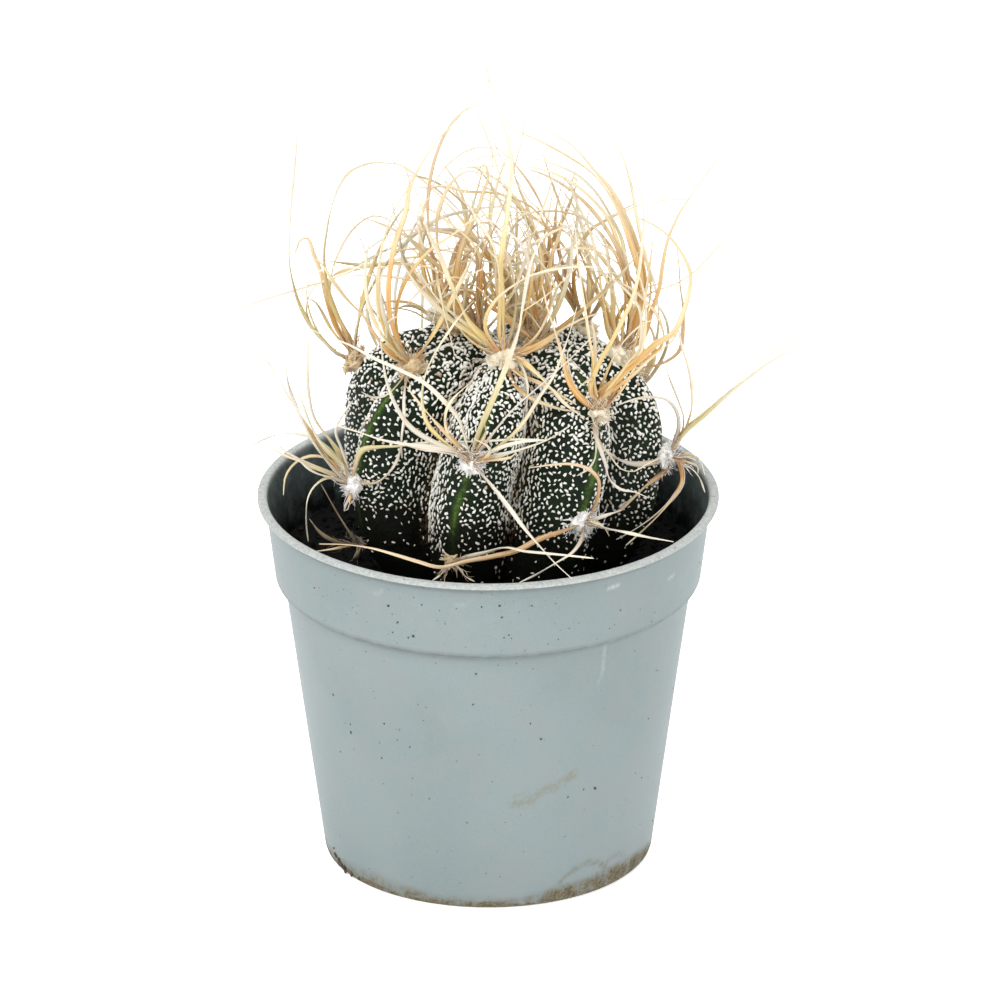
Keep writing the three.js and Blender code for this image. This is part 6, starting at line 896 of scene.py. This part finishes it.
# ------------------------------------------------------------------ cactus stem
def make_stem():
    p = Parts()
    cols, rows = 8 * 36, 130
    c = np.arange(cols) / 36.0
    t = np.linspace(0, 16, rows) ** 1.0
    C, T = np.meshgrid(c, t[1:-1], indexing="ij")
    P = skin(C, T)
    # normals from neighbours
    eps = 0.02
    nrm = unit(np.cross(skin(C + eps, T) - skin(C - eps, T), skin(C, T + eps) - skin(C, T - eps)))
    P = P + nrm * (0.16 * wobble(P, 0.5, 21) + 0.05 * wobble(P, 1.6, 22))[..., None]
    k = rows - 2
    v = P.reshape(-1, 3)
    bottom, top = skin(0, 0), skin(0, 16)
    v = np.vstack([v, bottom, top])
    i, j = np.meshgrid(np.arange(cols), np.arange(k - 1), indexing="ij")
    a, b = i * k + j, ((i + 1) % cols) * k + j
    quads = np.stack([a, b, b + 1, a + 1], -1).reshape(-1, 4)
    i = np.arange(cols)
    nb = len(v) - 2
    caps = np.vstack([np.stack([np.full(cols, nb), ((i + 1) % cols) * k, i * k], -1),
                      np.stack([np.full(cols, nb + 1), i * k + k - 1, ((i + 1) % cols) * k + k - 1], -1)])
    f = C - np.floor(C)
    u = 1 - np.abs(2 * f - 1)
    rc, hc = np.moveaxis(cat(CREST, T), -1, 0)
    crest = smooth(0.075, 0.02, u) * smooth(6.0, 6.8, T) * smooth(13.2, 11.5, T)
    # painted shade: the stem grows darker towards its foot
    foot = smooth(13.5, 8.5, hc) * (0.8 + 0.2 * u)
    fur = smooth(0.82, 0.97, u) * smooth(5.5, 6.5, T)
    flat = lambda x: np.concatenate([x.ravel(), [0, 0]])
    p.add(v, [quads, caps], 0, crest=flat(crest), foot=np.concatenate([foot.ravel(), [1, 0]]), furrow=flat(fur))

    # felt flecks: small raised tufts scattered so that none crowds the next
    g = np.random.default_rng(33)
    n = 120000
    cc, tt = g.uniform(0, 8, n), g.uniform(5.2, 15.7, n)
    pos = skin(cc, tt)
    d1 = (skin(cc + eps, tt) - skin(cc - eps, tt)) / (2 * eps)
    d2 = (skin(cc, tt + eps) - skin(cc, tt - eps)) / (2 * eps)
    area = np.linalg.norm(np.cross(d1, d2), axis=1)
    keep = g.uniform(0, np.percentile(area, 99), n) < area
    cc, tt, pos, d1, d2 = cc[keep], tt[keep], pos[keep], d1[keep], d2[keep]
    nn = unit(np.cross(d1, d2))
    ff = cc - np.floor(cc)
    rib = np.floor(cc).astype(int)
    uu = 1 - np.abs(2 * ff - 1)
    left_of = np.where(ff > 0.5, (rib + 1) % 8, -1)   # on the side before the next crest
    hcc = cat(CREST, tt)[:, 1] * (1 - uu) + cat(FURROW, tt)[:, 1] * uu
    # spacing wanted at each place, in mm
    sp = 0.585 - 0.05 * smooth(0.35, 0.9, uu) - 0.06 * smooth(17, 30, hcc) + 0.22 * smooth(11, 7, hcc)
    sp = sp * (1 + 0.10 * wobble(pos, 0.6, 41))
    stretch = smooth(0.5, 0.9, uu) * 0.9
    streak_b = (left_of == 1) & (uu > 0.10) & (uu < 0.42) & (tt > 8.9) & (tt < 13.4)
    streak_l = (left_of == 1) & (uu > 0.22) & (uu < 0.70) & (tt > 6.3) & (tt < 8.6)
    streak_d = (left_of == 3) & (uu > 0.16) & (uu < 0.5) & (tt > 8.0) & (tt < 11.5)
    sp = np.where(streak_b, 0.40, sp)
    sp = np.where(streak_l, 0.53, sp)
    sp = np.where(streak_d, 0.58, sp)
    stretch = np.where(streak_l, 1.1, np.where(streak_b, 0.8, stretch))
    bare = (uu < 0.055 + 0.03 * smooth(9, 7, tt)) & (tt < 12.6)
    low = g.uniform(0, 1, len(tt)) > smooth(7.0, 11.4, hcc + 2.2 * (rib == 1) * (ff < 0.4) + 2.5 * (left_of == 1)) * 1.0 + 0.03
    ok = ~bare & ~low
    order = np.nonzero(ok)[0]
    cell, grid, chosen = 0.6, {}, []
    P3 = pos.tolist()
    S = sp.tolist()
    for idx in order.tolist():
        x, y, z = P3[idx]
        s = S[idx]
        kx, ky, kz = int(x // cell), int(y // cell), int(z // cell)
        rr = int(math.ceil(s / cell))
        good = True
        for ax in range(kx - rr, kx + rr + 1):
            for ay in range(ky - rr, ky + rr + 1):
                for az in range(kz - rr, kz + rr + 1):
                    for q in grid.get((ax, ay, az), ()):
                        X, Y, Z = P3[q]
                        if (X - x) ** 2 + (Y - y) ** 2 + (Z - z) ** 2 < (0.5 * (s + S[q])) ** 2:
                            good = False
                            break
                    if not good:
                        break
                if not good:
                    break
            if not good:
                break
        if good:
            grid.setdefault((kx, ky, kz), []).append(idx)
            chosen.append(idx)
    ch = np.array(chosen)
    m, N = 5, len(ch)
    pc, nc = pos[ch], nn[ch]
    nc = unit(nc)
    pc = pc + nc * (0.16 * wobble(pc, 0.5, 21) + 0.05 * wobble(pc, 1.6, 22))[:, None]
    e_up = unit(d2[ch] - (d2[ch] * nc).sum(1, keepdims=True) * nc)
    e_side = np.cross(nc, e_up)
    turn = g.normal(0, 0.7, N) * (1 - 0.6 * np.clip(stretch[ch], 0, 1)) + np.where(stretch[ch] < 0.3, g.uniform(0, 3.1, N), 0)
    ea = e_up * np.cos(turn)[:, None] + e_side * np.sin(turn)[:, None]
    eb = np.cross(nc, ea)
    size = g.uniform(0.2, 0.33, N) * (0.9 + 0.22 * smooth(17, 30, hcc[ch])) * np.where(hcc[ch] < 10, 0.85, 1.0)
    size = np.where(g.uniform(0, 1, N) < 0.06, size * 1.35, size)
    long = 1 + g.uniform(0.0, 0.9, N) + np.clip(stretch[ch], 0, 1.2) * g.uniform(0.2, 0.9, N)
    ph = np.arange(m) * 2 * np.pi / m
    rr = g.uniform(0.7, 1.2, (N, m))
    bend = g.normal(0, 0.45, N)
    la = rr * np.cos(ph) * (size * long)[:, None]
    lb = rr * np.sin(ph) * (size / np.sqrt(long))[:, None] + bend[:, None] * (la / (size * long)[:, None]) ** 2 * size[:, None]
    rim = pc[:, None] + la[..., None] * ea[:, None] + lb[..., None] * eb[:, None] - 0.04 * nc[:, None]
    hgt = size * g.uniform(0.5, 0.85, N)
    mid = pc[:, None] + 0.62 * (la[..., None] * ea[:, None] + lb[..., None] * eb[:, None]) + (hgt[:, None] * g.uniform(0.6, 1.0, (N, m)))[..., None] * nc[:, None]
    topv = pc + nc * hgt[:, None]
    vv = np.concatenate([rim, mid, topv[:, None]], 1)
    j = np.arange(m)
    # eb = n x ea, so the ring runs counter-clockwise seen from outside
    q = np.stack([(j + 1) % m, m + (j + 1) % m, m + j, j], -1)
    t1 = np.stack([m + (j + 1) % m, np.full(m, 2 * m), m + j], -1)
    under = j[::-1][None]
    off = (np.arange(N) * (2 * m + 1))[:, None, None]
    old = np.clip(0.95 * smooth(0.55, 0.9, uu[ch]) * smooth(0.3, 0.6, g.uniform(0, 1, N)) + 0.35 * smooth(12, 9, hcc[ch]) + 0.05, 0, 1) * g.uniform(0.4, 1, N)
    old = np.where(g.uniform(0, 1, N) < 0.03, 0.9, old)
    oo = np.repeat(old, 2 * m + 1)
    felt = Parts()
    felt.add(vv.reshape(-1, 3), [(q[None] + off).reshape(-1, 4), (t1[None] + off).reshape(-1, 3), (under[None] + off).reshape(-1, m)], 0, old=oo)
    return p.build("cactus_stem_skin", [SKIN_MAT], {"crest": "FLOAT", "foot": "FLOAT", "furrow": "FLOAT"}), \
        felt.build("cactus_stem_felt", [FELT_MAT], {"old": "FLOAT"})


stem, felt = make_stem()


# ------------------------------------------------------------------ areoles: wool and spines
def areole(rib, t):
    az0 = RIB_AZIMUTH[rib - 1]
    r, h = cat(CREST, t)
    a, b = cat(CREST, t - 0.05), cat(CREST, t + 0.05)
    n2 = np.array([b[1] - a[1], -(b[0] - a[0])])
    n2 /= np.linalg.norm(n2)
    az = math.radians(az0 + float(twist(h)))
    p = STEM_FOOT + r * math.sin(az) * U - r * math.cos(az) * V + h * W
    n = n2[0] * math.sin(az) * U - n2[0] * math.cos(az) * V + n2[1] * W
    return p, n


def resample(pts, step=0.55):
    """A smooth curve through the points, evenly sampled."""
    P = np.vstack([2 * pts[0] - pts[1], pts, 2 * pts[-1] - pts[-2]])
    out = []
    for i in range(1, len(P) - 2):
        f = np.linspace(0, 1, 9)[:-1, None]
        p0, p1, p2, p3 = P[i - 1], P[i], P[i + 1], P[i + 2]
        out.append(0.5 * (2 * p1 + (p2 - p0) * f + (2 * p0 - 5 * p1 + 4 * p2 - p3) * f ** 2 + (-p0 + 3 * p1 - 3 * p2 + p3) * f ** 3))
    d = np.vstack(out + [pts[-1:]])
    L = np.concatenate([[0], np.cumsum(np.linalg.norm(np.diff(d, axis=0), axis=1))])
    n = max(8, int(L[-1] / step))
    s = np.linspace(0, L[-1], n + 1)
    return np.stack([np.interp(s, L, d[:, k]) for k in range(3)], -1), s


def frames(c):
    """Directions across a curve that don't spin about it."""
    t = unit(np.gradient(c, axis=0))
    side = np.cross(t[0], [0.31, 0.22, 0.92])
    if np.linalg.norm(side) < 0.2:
        side = np.cross(t[0], [1, 0, 0])
    out = []
    for k in range(len(c)):
        side = side - np.dot(side, t[k]) * t[k]
        side = side / np.linalg.norm(side)
        out.append(side)
    s = np.array(out)
    return t, s, np.cross(t, s)


RAMPS = {  # base, lower middle, upper middle, tip
    "g": (srgb(152, 92, 34), srgb(216, 158, 72), srgb(220, 182, 116), srgb(216, 192, 144)),
    "c": (srgb(186, 126, 58), srgb(228, 202, 144), srgb(226, 208, 166), srgb(216, 202, 168)),
    "m": (srgb(156, 122, 88), srgb(214, 204, 176), srgb(218, 209, 186), srgb(214, 206, 186)),
    "b": (srgb(110, 70, 38), srgb(176, 124, 68), srgb(196, 150, 94), srgb(198, 170, 124)),
    # d: a dark set, painted shade for spines down in the pot's shade
    "d": (srgb(62, 46, 32), srgb(100, 80, 56), srgb(112, 92, 68), srgb(104, 90, 70)),
    "w": (srgb(150, 122, 98), srgb(214, 205, 190), srgb(218, 211, 198), srgb(214, 207, 195)),
}
WOOL = {"w": (srgb(240, 236, 230), srgb(254, 253, 252)), "c": (srgb(226, 208, 168), srgb(246, 238, 216)),
        # d: dark wool, painted shade for the areole down in the pot's shade
        "t": (srgb(178, 142, 92), srgb(222, 198, 152)), "d": (srgb(72, 58, 42), srgb(112, 94, 72))}


def add_spine(p, base, width, kind, flat_pts, seed, step=0.7, m=8):
    g = np.random.default_rng(seed)
    pts = np.vstack([base, np.array(flat_pts, float).reshape(-1, 3)])
    c, s = resample(pts, step)
    x = s / s[-1]
    t, a, b = frames(c)
    # the ribbon turns about its length as it dries
    roll = g.uniform(0, 6.28) + g.choice([-1, 1]) * g.uniform(1.5, 6.0) * x ** g.uniform(0.7, 1.3) + 0.35 * np.sin(x * g.uniform(5, 12) + g.uniform(0, 6))
    aa = a * np.cos(roll)[:, None] + b * np.sin(roll)[:, None]
    bb = -a * np.sin(roll)[:, None] + b * np.cos(roll)[:, None]
    full = 0.95 * width * (0.72 + 0.28 * smooth(0, 0.12, x)) * (1 - x) ** 0.62 * (1 + 0.07 * np.sin(x * 23 + g.uniform(0, 6))) + 0.15
    thick = np.clip(0.42 * full, 0.12, 0.36)
    ph = np.arange(m) * 2 * np.pi / m
    X = np.cos(ph) * 0.5
    Y = np.sin(ph) * 0.5
    lx = full[:, None] * X[None]
    ly = thick[:, None] * Y[None] + (4 * X[None] ** 2 - 0.5) * full[:, None] * 0.16 * (1 - x)[:, None]
    v = c[:, None] + lx[..., None] * aa[:, None] + ly[..., None] * bb[:, None]
    n = len(c)
    i, j = np.meshgrid(np.arange(n - 1), np.arange(m), indexing="ij")
    q = np.stack([i * m + j, i * m + (j + 1) % m, (i + 1) * m + (j + 1) % m, (i + 1) * m + j], -1).reshape(-1, 4)
    j = np.arange(m)
    c0, c1 = n * m, n * m + 1
    caps = np.vstack([np.stack([np.full(m, c0), (j + 1) % m, j], -1), np.stack([np.full(m, c1), (n - 1) * m + j, (n - 1) * m + (j + 1) % m], -1)])
    vv = np.vstack([v.reshape(-1, 3), c[0] - 0.1 * t[0], c[-1] + 0.25 * t[-1]])
    r0, r1, r2, r3 = RAMPS[kind]
    mm = s
    k0 = smooth(0.8, 5.5 + 2 * g.uniform(), mm)[:, None]
    k1 = smooth(0.25, 0.6, x)[:, None]
    k2 = smooth(0.6, 1.0, x)[:, None]
    col = r0 * (1 - k0) + r1 * k0
    col = col * (1 - k1) + r2 * k1
    col = col * (1 - k2) + r3 * k2
    if kind not in "wd":
        col = col * (1 - (1 - k1) * k0 * np.array([0.05, 0.12, 0.42]))
    if kind != "d":
        col = col * (1 - 0.3 * k1) + np.array([0.86, 0.80, 0.67]) * 0.3 * k1
    col = col * g.uniform(0.86, 1.12) * (1 + 0.015 * g.normal(size=3))
    col = np.clip(col * np.array([0.84, 0.86, 0.905]), 0, 0.92)
    rep = lambda z: np.concatenate([np.repeat(z, m), [z[0], z[-1]]])
    tint = np.vstack([np.repeat(col, m, 0), col[:1], col[-1:]])
    across = np.concatenate([np.tile(np.sin(ph) * 0.5 + np.cos(ph) * 1.0, n), [0, 0]]) * rep(full)
    p.add(vv, [q, caps], 0, tint=tint, along=rep(mm), across=across, seed=np.full(len(vv), g.uniform(0, 90)))
    return c


def add_fibres(p, start, direction, length, radius, curl, colours, g, slot=1, segs=5):
    """Many fine closed hairs at once."""
    N = len(start)
    k = np.linspace(0, 1, segs)[None, :, None]
    bend = g.normal(size=(N, 3)) * curl[:, None]
    wig = g.normal(size=(N, 3)) * curl[:, None] * 0.35
    ph = g.uniform(0, 6.28, (N, 1, 1))
    c = start[:, None] + direction[:, None] * (length[:, None, None] * k) + bend[:, None] * (k ** 2) * length[:, None, None] \
        + wig[:, None] * np.sin(k * 5 + ph) * length[:, None, None]
    t = unit(np.gradient(c, axis=1))
    ref = unit(g.normal(size=(N, 3)))[:, None]
    a = unit(np.cross(t, ref))
    b = np.cross(t, a)
    m = 3
    phi = np.arange(m) * 2 * np.pi / m
    rad = radius[:, None] * (1 - 0.75 * np.linspace(0, 1, segs)[None])
    v = c[:, :, None] + rad[:, :, None, None] * (np.cos(phi)[None, None, :, None] * a[:, :, None] + np.sin(phi)[None, None, :, None] * b[:, :, None])
    i, j = np.meshgrid(np.arange(segs - 1), np.arange(m), indexing="ij")
    q = np.stack([i * m + j, i * m + (j + 1) % m, (i + 1) * m + (j + 1) % m, (i + 1) * m + j], -1).reshape(-1, 4)
    caps = np.array([[2, 1, 0], [(segs - 1) * m, (segs - 1) * m + 1, (segs - 1) * m + 2]])
    off = (np.arange(N) * segs * m)[:, None, None]
    p.add(v.reshape(-1, 3), [(q[None] + off).reshape(-1, 4), (caps[None] + off).reshape(-1, 3)], slot,
          tint=np.repeat(colours, segs * m, 0))


def add_cushion(p, centre, n, rw, kind, g, flatness=0.55):
    """The dense felt under the hairs: a lumpy closed pad."""
    rows, cols = 18, 34
    th = np.linspace(0, np.pi, rows)[1:-1]
    ph = np.arange(cols) * 2 * np.pi / cols
    TH, PH = np.meshgrid(th, ph, indexing="ij")
    d = np.stack([np.sin(TH) * np.cos(PH), np.sin(TH) * np.sin(PH), np.cos(TH)], -1)
    seed = int(g.integers(1, 9999))
    lump = 1 + 0.16 * wobble(d * rw, 2.2, seed) + 0.14 * wobble(d * rw, 5.5, seed + 1)
    e1 = unit(np.cross(n, [0.1, 0.2, 0.95]) if abs(n[2]) < 0.95 else np.cross(n, [1, 0, 0]))
    e2 = np.cross(n, e1)
    q = d * lump[..., None]
    v = centre + (q[..., 0:1] * e1 + q[..., 1:2] * e2) * rw * 0.92 + q[..., 2:3] * n * rw * flatness
    v = v.reshape(-1, 3)
    top, bot = centre + n * rw * flatness, centre - n * rw * flatness
    vv = np.vstack([v, top, bot])
    r = rows - 2
    i, j = np.meshgrid(np.arange(r - 1), np.arange(cols), indexing="ij")
    quad = np.stack([i * cols + j, (i + 1) * cols + j, (i + 1) * cols + (j + 1) % cols, i * cols + (j + 1) % cols], -1).reshape(-1, 4)
    j = np.arange(cols)
    caps = np.vstack([np.stack([np.full(cols, r * cols), j, (j + 1) % cols], -1),
                      np.stack([np.full(cols, r * cols + 1), (r - 1) * cols + (j + 1) % cols, (r - 1) * cols + j], -1)])
    lo, hi = WOOL[kind]
    # painted shade: the pad's hollows take the darker wool colour and its bumps the lighter one
    w = smooth(0.85, 1.2, np.concatenate([lump.ravel(), [1, 1]]))[:, None]
    p.add(vv, [quad, caps], 1, tint=lo * (1 - w) + hi * w)


def companion(base, flat_pts, g):
    """A finer neighbour of a spine, growing from the same wool a little to one side, or None."""
    pts = np.array(flat_pts, float).reshape(-1, 3) - base
    k = np.linspace(0.2, 1, len(pts))[:, None]
    for _ in range(12):
        axis = unit(g.normal(size=3))
        ang = g.uniform(0.10, 0.34) * (0.7 + 0.6 * k)
        q = pts * np.cos(ang) + np.cross(np.tile(axis, (len(pts), 1)), pts) * np.sin(ang) + axis * (pts @ axis)[:, None] * (1 - np.cos(ang))
        q = q * g.uniform(0.65, 1.0)
        # it curls more and more towards its tip
        step = np.diff(np.vstack([np.zeros(3), q]), axis=0)
        curl = unit(np.cross(q[-1], g.normal(size=3)))
        a = (np.linspace(0, 1, len(step)) ** 1.2 * g.choice([-1, 1]) * g.uniform(0.4, 2.0))[:, None]
        step = step * np.cos(a) + np.cross(np.tile(curl, (len(step), 1)), step) * np.sin(a) + curl * (step @ curl)[:, None] * (1 - np.cos(a))
        q = np.cumsum(step, axis=0)
        q = q + base
        d = q - STEM_FOOT
        h, r = d @ W, np.hypot(d @ U, d @ V)
        skin_r = np.interp(h, [-2, 0, 4, 10, 17, 21.3, 24.9, 27.9, 30.3, 31.9, 32.6], [18, 18, 21, 22.8, 23.2, 22.8, 21.6, 19.5, 16.4, 12.6, 0])
        R = np.hypot(q[:, 0], q[:, 1])
        bad = (r[1:] < skin_r[1:] + 0.5).any() or ((q[:, 2] < 55) & (R > 29)).any() or (q[:, 2] < 46.5).any()
        lo, hi = np.array(cad_box[0]) * 1000 + 0.5, np.array(cad_box[1]) * 1000 - 0.5
        if not bad and (q > lo).all() and (q < hi).all():
            return q.ravel()
    return None


spines = []
for number, (name, (rib, t, rw, kind)) in enumerate(AREOLES.items()):
    worn = name.endswith("_low")
    if worn:
        # old and soiled; the one down in the shade on the left gets the dark set d, which is painted shade
        kind, rw = ("d", rw * 0.55) if name == "spines_rib1_low" else ("t", rw * 0.75)
    rw *= 0.72 if name == "spines_rib3_upper" else 0.9
    g = np.random.default_rng(1000 + number)
    point, n = areole(rib, t)
    p = Parts()
    centre = point + n * 0.75
    add_cushion(p, point + n * 0.5, n, rw * 1.05, kind, g, 0.55 if kind == "w" else 0.62)
    starts = []
    for k, (width, colour, pts) in enumerate(SPINES.get(name, [])):
        # the spines down in the shade on rib 1 get the dark set: painted shade
        if name == "spines_rib1_low":
            colour = "d"
        elif name.endswith("_middle") and colour == "c":
            colour = "m"
        c = add_spine(p, point + n * 0.9, width, colour, pts, 5000 + 100 * number + k)
        starts.append(c)
    # finer spines between the strong ones
    for k, (width, colour, pts) in enumerate(SPINES.get(name, [])):
        for copy in range(1):
            if g.uniform() > (0.8 if t > 9.5 else 0.3):
                continue
            q = companion(point + n * 0.9, pts, g)
            if q is not None:
                add_spine(p, point + n * 0.7 + g.normal(0, 0.25, 3), g.uniform(0.4, 0.74), g.choice(["c", "g", "c", "m", "g"]), q, 9000 + 100 * number + 2 * k + copy, 1.0, 6)
    lo, hi = WOOL[kind]
    e1 = unit(np.cross(n, [0.1, 0.2, 0.95]) if abs(n[2]) < 0.95 else np.cross(n, [1, 0, 0]))
    e2 = np.cross(n, e1)

    def disc(N, spread_r):
        a = g.uniform(0, 6.28, N)
        r = np.sqrt(g.uniform(0, 1, N)) * spread_r
        return np.cos(a)[:, None] * e1 * r[:, None] + np.sin(a)[:, None] * e2 * r[:, None]

    # short curly hairs all over the pad
    N = int((200 + 90 * rw) * (0.4 if worn else 1))
    o = disc(N, rw * 0.85)
    s = point + n * (0.35 + 0.35 * rw * np.sqrt(np.maximum(0, 1 - (np.linalg.norm(o, axis=1) / rw) ** 2)))[:, None] + o
    d = unit(n * g.uniform(0.5, 1.1, N)[:, None] + unit(o + 1e-6) * g.uniform(0.3, 1.0, N)[:, None] + g.normal(0, 0.45, (N, 3)))
    mixc = g.uniform(0, 1, (N, 1)) ** 0.7
    add_fibres(p, s, d, g.uniform(0.35, 0.95, N) * (0.6 + 0.2 * rw), g.uniform(0.05, 0.1, N), g.uniform(0.3, 0.8, N), lo * (1 - mixc) + hi * mixc, g, segs=4)
    # thicker matted locks
    N = int(34 + 18 * rw)
    o = disc(N, rw * 0.8)
    s = point + n * 0.6 + o
    d = unit(n * g.uniform(0.2, 0.9, N)[:, None] + unit(o + 1e-6) * g.uniform(0.5, 1.2, N)[:, None] + g.normal(0, 0.35, (N, 3)))
    mixc = g.uniform(0.3, 1, (N, 1))
    add_fibres(p, s, d, g.uniform(0.7, 1.5, N) * (0.55 + 0.2 * rw), g.uniform(0.2, 0.36, N), g.uniform(0.1, 0.4, N), lo * (1 - mixc) + hi * mixc, g, segs=6)
    # hairs that cling to the feet of the spines
    if starts:
        per = 10
        N = per * len(starts)
        ss = np.vstack([c[g.integers(0, min(5, len(c)), per)] for c in starts]) + g.normal(0, 0.18, (N, 3))
        dd = np.vstack([np.repeat(unit(c[min(5, len(c) - 1)] - c[0])[None], per, 0) for c in starts])
        dd = unit(dd + g.normal(0, 0.35, (N, 3)))
        mixc = g.uniform(0.3, 1, (N, 1))
        add_fibres(p, ss, dd, g.uniform(0.8, 2.2, N), g.uniform(0.04, 0.09, N), g.uniform(0.1, 0.4, N), lo * (1 - mixc) + hi * mixc, g)
    o = p.build(name + "_paper", [SPINE_MAT, WOOL_MAT], {"tint": "FLOAT_COLOR", "along": "FLOAT", "across": "FLOAT", "seed": "FLOAT"})
    spines.append((o, name))

# ------------------------------------------------------------------ riding
for o, node, slot in [(pot, "nursery_pot", "pot_plastic"), (pot_specks, "nursery_pot", "potting_soil"), (soil, "potting_soil", "potting_soil"), (stem, "cactus_stem", "cactus_skin"), (felt, "cactus_stem", "cactus_skin")] \
        + [(o, name, "spine_paper") for o, name in spines]:
    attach(o, "root")
    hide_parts(node)

# ------------------------------------------------------------------ stage, lights and camera
def make_floor():
    """A flat pale floor, wide enough to fill the view from every side."""
    n = 25
    g = np.sign(np.linspace(-1, 1, n)) * np.abs(np.linspace(-1, 1, n)) ** 2 * 14000
    v = np.array([(x, y, 0.0) for y in g for x in g])
    i, j = np.meshgrid(np.arange(n - 1), np.arange(n - 1), indexing="ij")
    q = np.stack([i * n + j, i * n + j + 1, (i + 1) * n + j + 1, (i + 1) * n + j], -1).reshape(-1, 4)
    k = Nodes("pale_floor")
    c = k.mix(k.remap(k.noise(0.02, 2, 0.5), 0.3, 0.7), (0.93, 0.93, 0.93), (0.955, 0.955, 0.955))
    k.set(Base_Color=c, Roughness=0.9)
    k.b.inputs["Specular IOR Level"].default_value = 0.1
    k.b.inputs["Emission Color"].default_value = (1, 1, 1, 1)
    k.b.inputs["Emission Strength"].default_value = 0.62
    o = make_mesh("studio_floor", v, [q], [k.m])
    return o


make_floor()

world = bpy.data.worlds.new("studio")
bpy.context.scene.world = world
world.use_nodes = True
bg = world.node_tree.nodes["Background"]
bg.inputs["Color"].default_value = (1.0, 1.0, 1.0, 1)
bg.inputs["Strength"].default_value = 0.52


def softbox(name, place, target, size, power, colour=(1, 1, 1)):
    d = bpy.data.lights.new(name, "AREA")
    d.shape, d.size, d.size_y, d.energy, d.color = "RECTANGLE", size[0], size[1], power, colour
    o = bpy.data.objects.new(name, d)
    o.location = place
    o.rotation_mode = "QUATERNION"
    o.rotation_quaternion = (Vector(target) - Vector(place)).to_track_quat("-Z", "Y")
    bpy.context.scene.collection.objects.link(o)
    return o


softbox("key_softbox", (-0.42, -0.62, 0.85), (0, 0, 0.06), (0.55, 0.55), 7.6)
softbox("fill_softbox", (0.75, -0.75, 0.40), (0, 0, 0.05), (0.8, 0.8), 2.9)
softbox("top_softbox", (0.05, 0.25, 0.95), (0, 0, 0.06), (0.8, 0.8), 5.8)
softbox("back_softbox", (0, 2.1, 1.15), (0, 0, 0.06), (3.6, 2.0), 11.0)

# a long lens, 3.38 m away and 23.5 degrees above the horizon
EL = math.radians(23.464)
back = Vector((0, -math.cos(EL), math.sin(EL)))
aim = Vector((1.65, 8.33, 49.2)) * MM
camera_data = bpy.data.cameras.new("camera")
camera_data.sensor_width = 36.0
camera_data.lens = 863.35
camera_data.clip_start, camera_data.clip_end = 0.5, 40.0
camera = bpy.data.objects.new("camera", camera_data)
camera.location = aim + back * 3.3846
camera.rotation_mode = "QUATERNION"
camera.rotation_quaternion = (-back).to_track_quat("-Z", "Y")
bpy.context.scene.collection.objects.link(camera)
bpy.context.scene.camera = camera
bpy.context.scene.view_settings.view_transform = "Standard"
bpy.context.scene.cycles.max_bounces = 6
bpy.context.scene.cycles.diffuse_bounces = 4
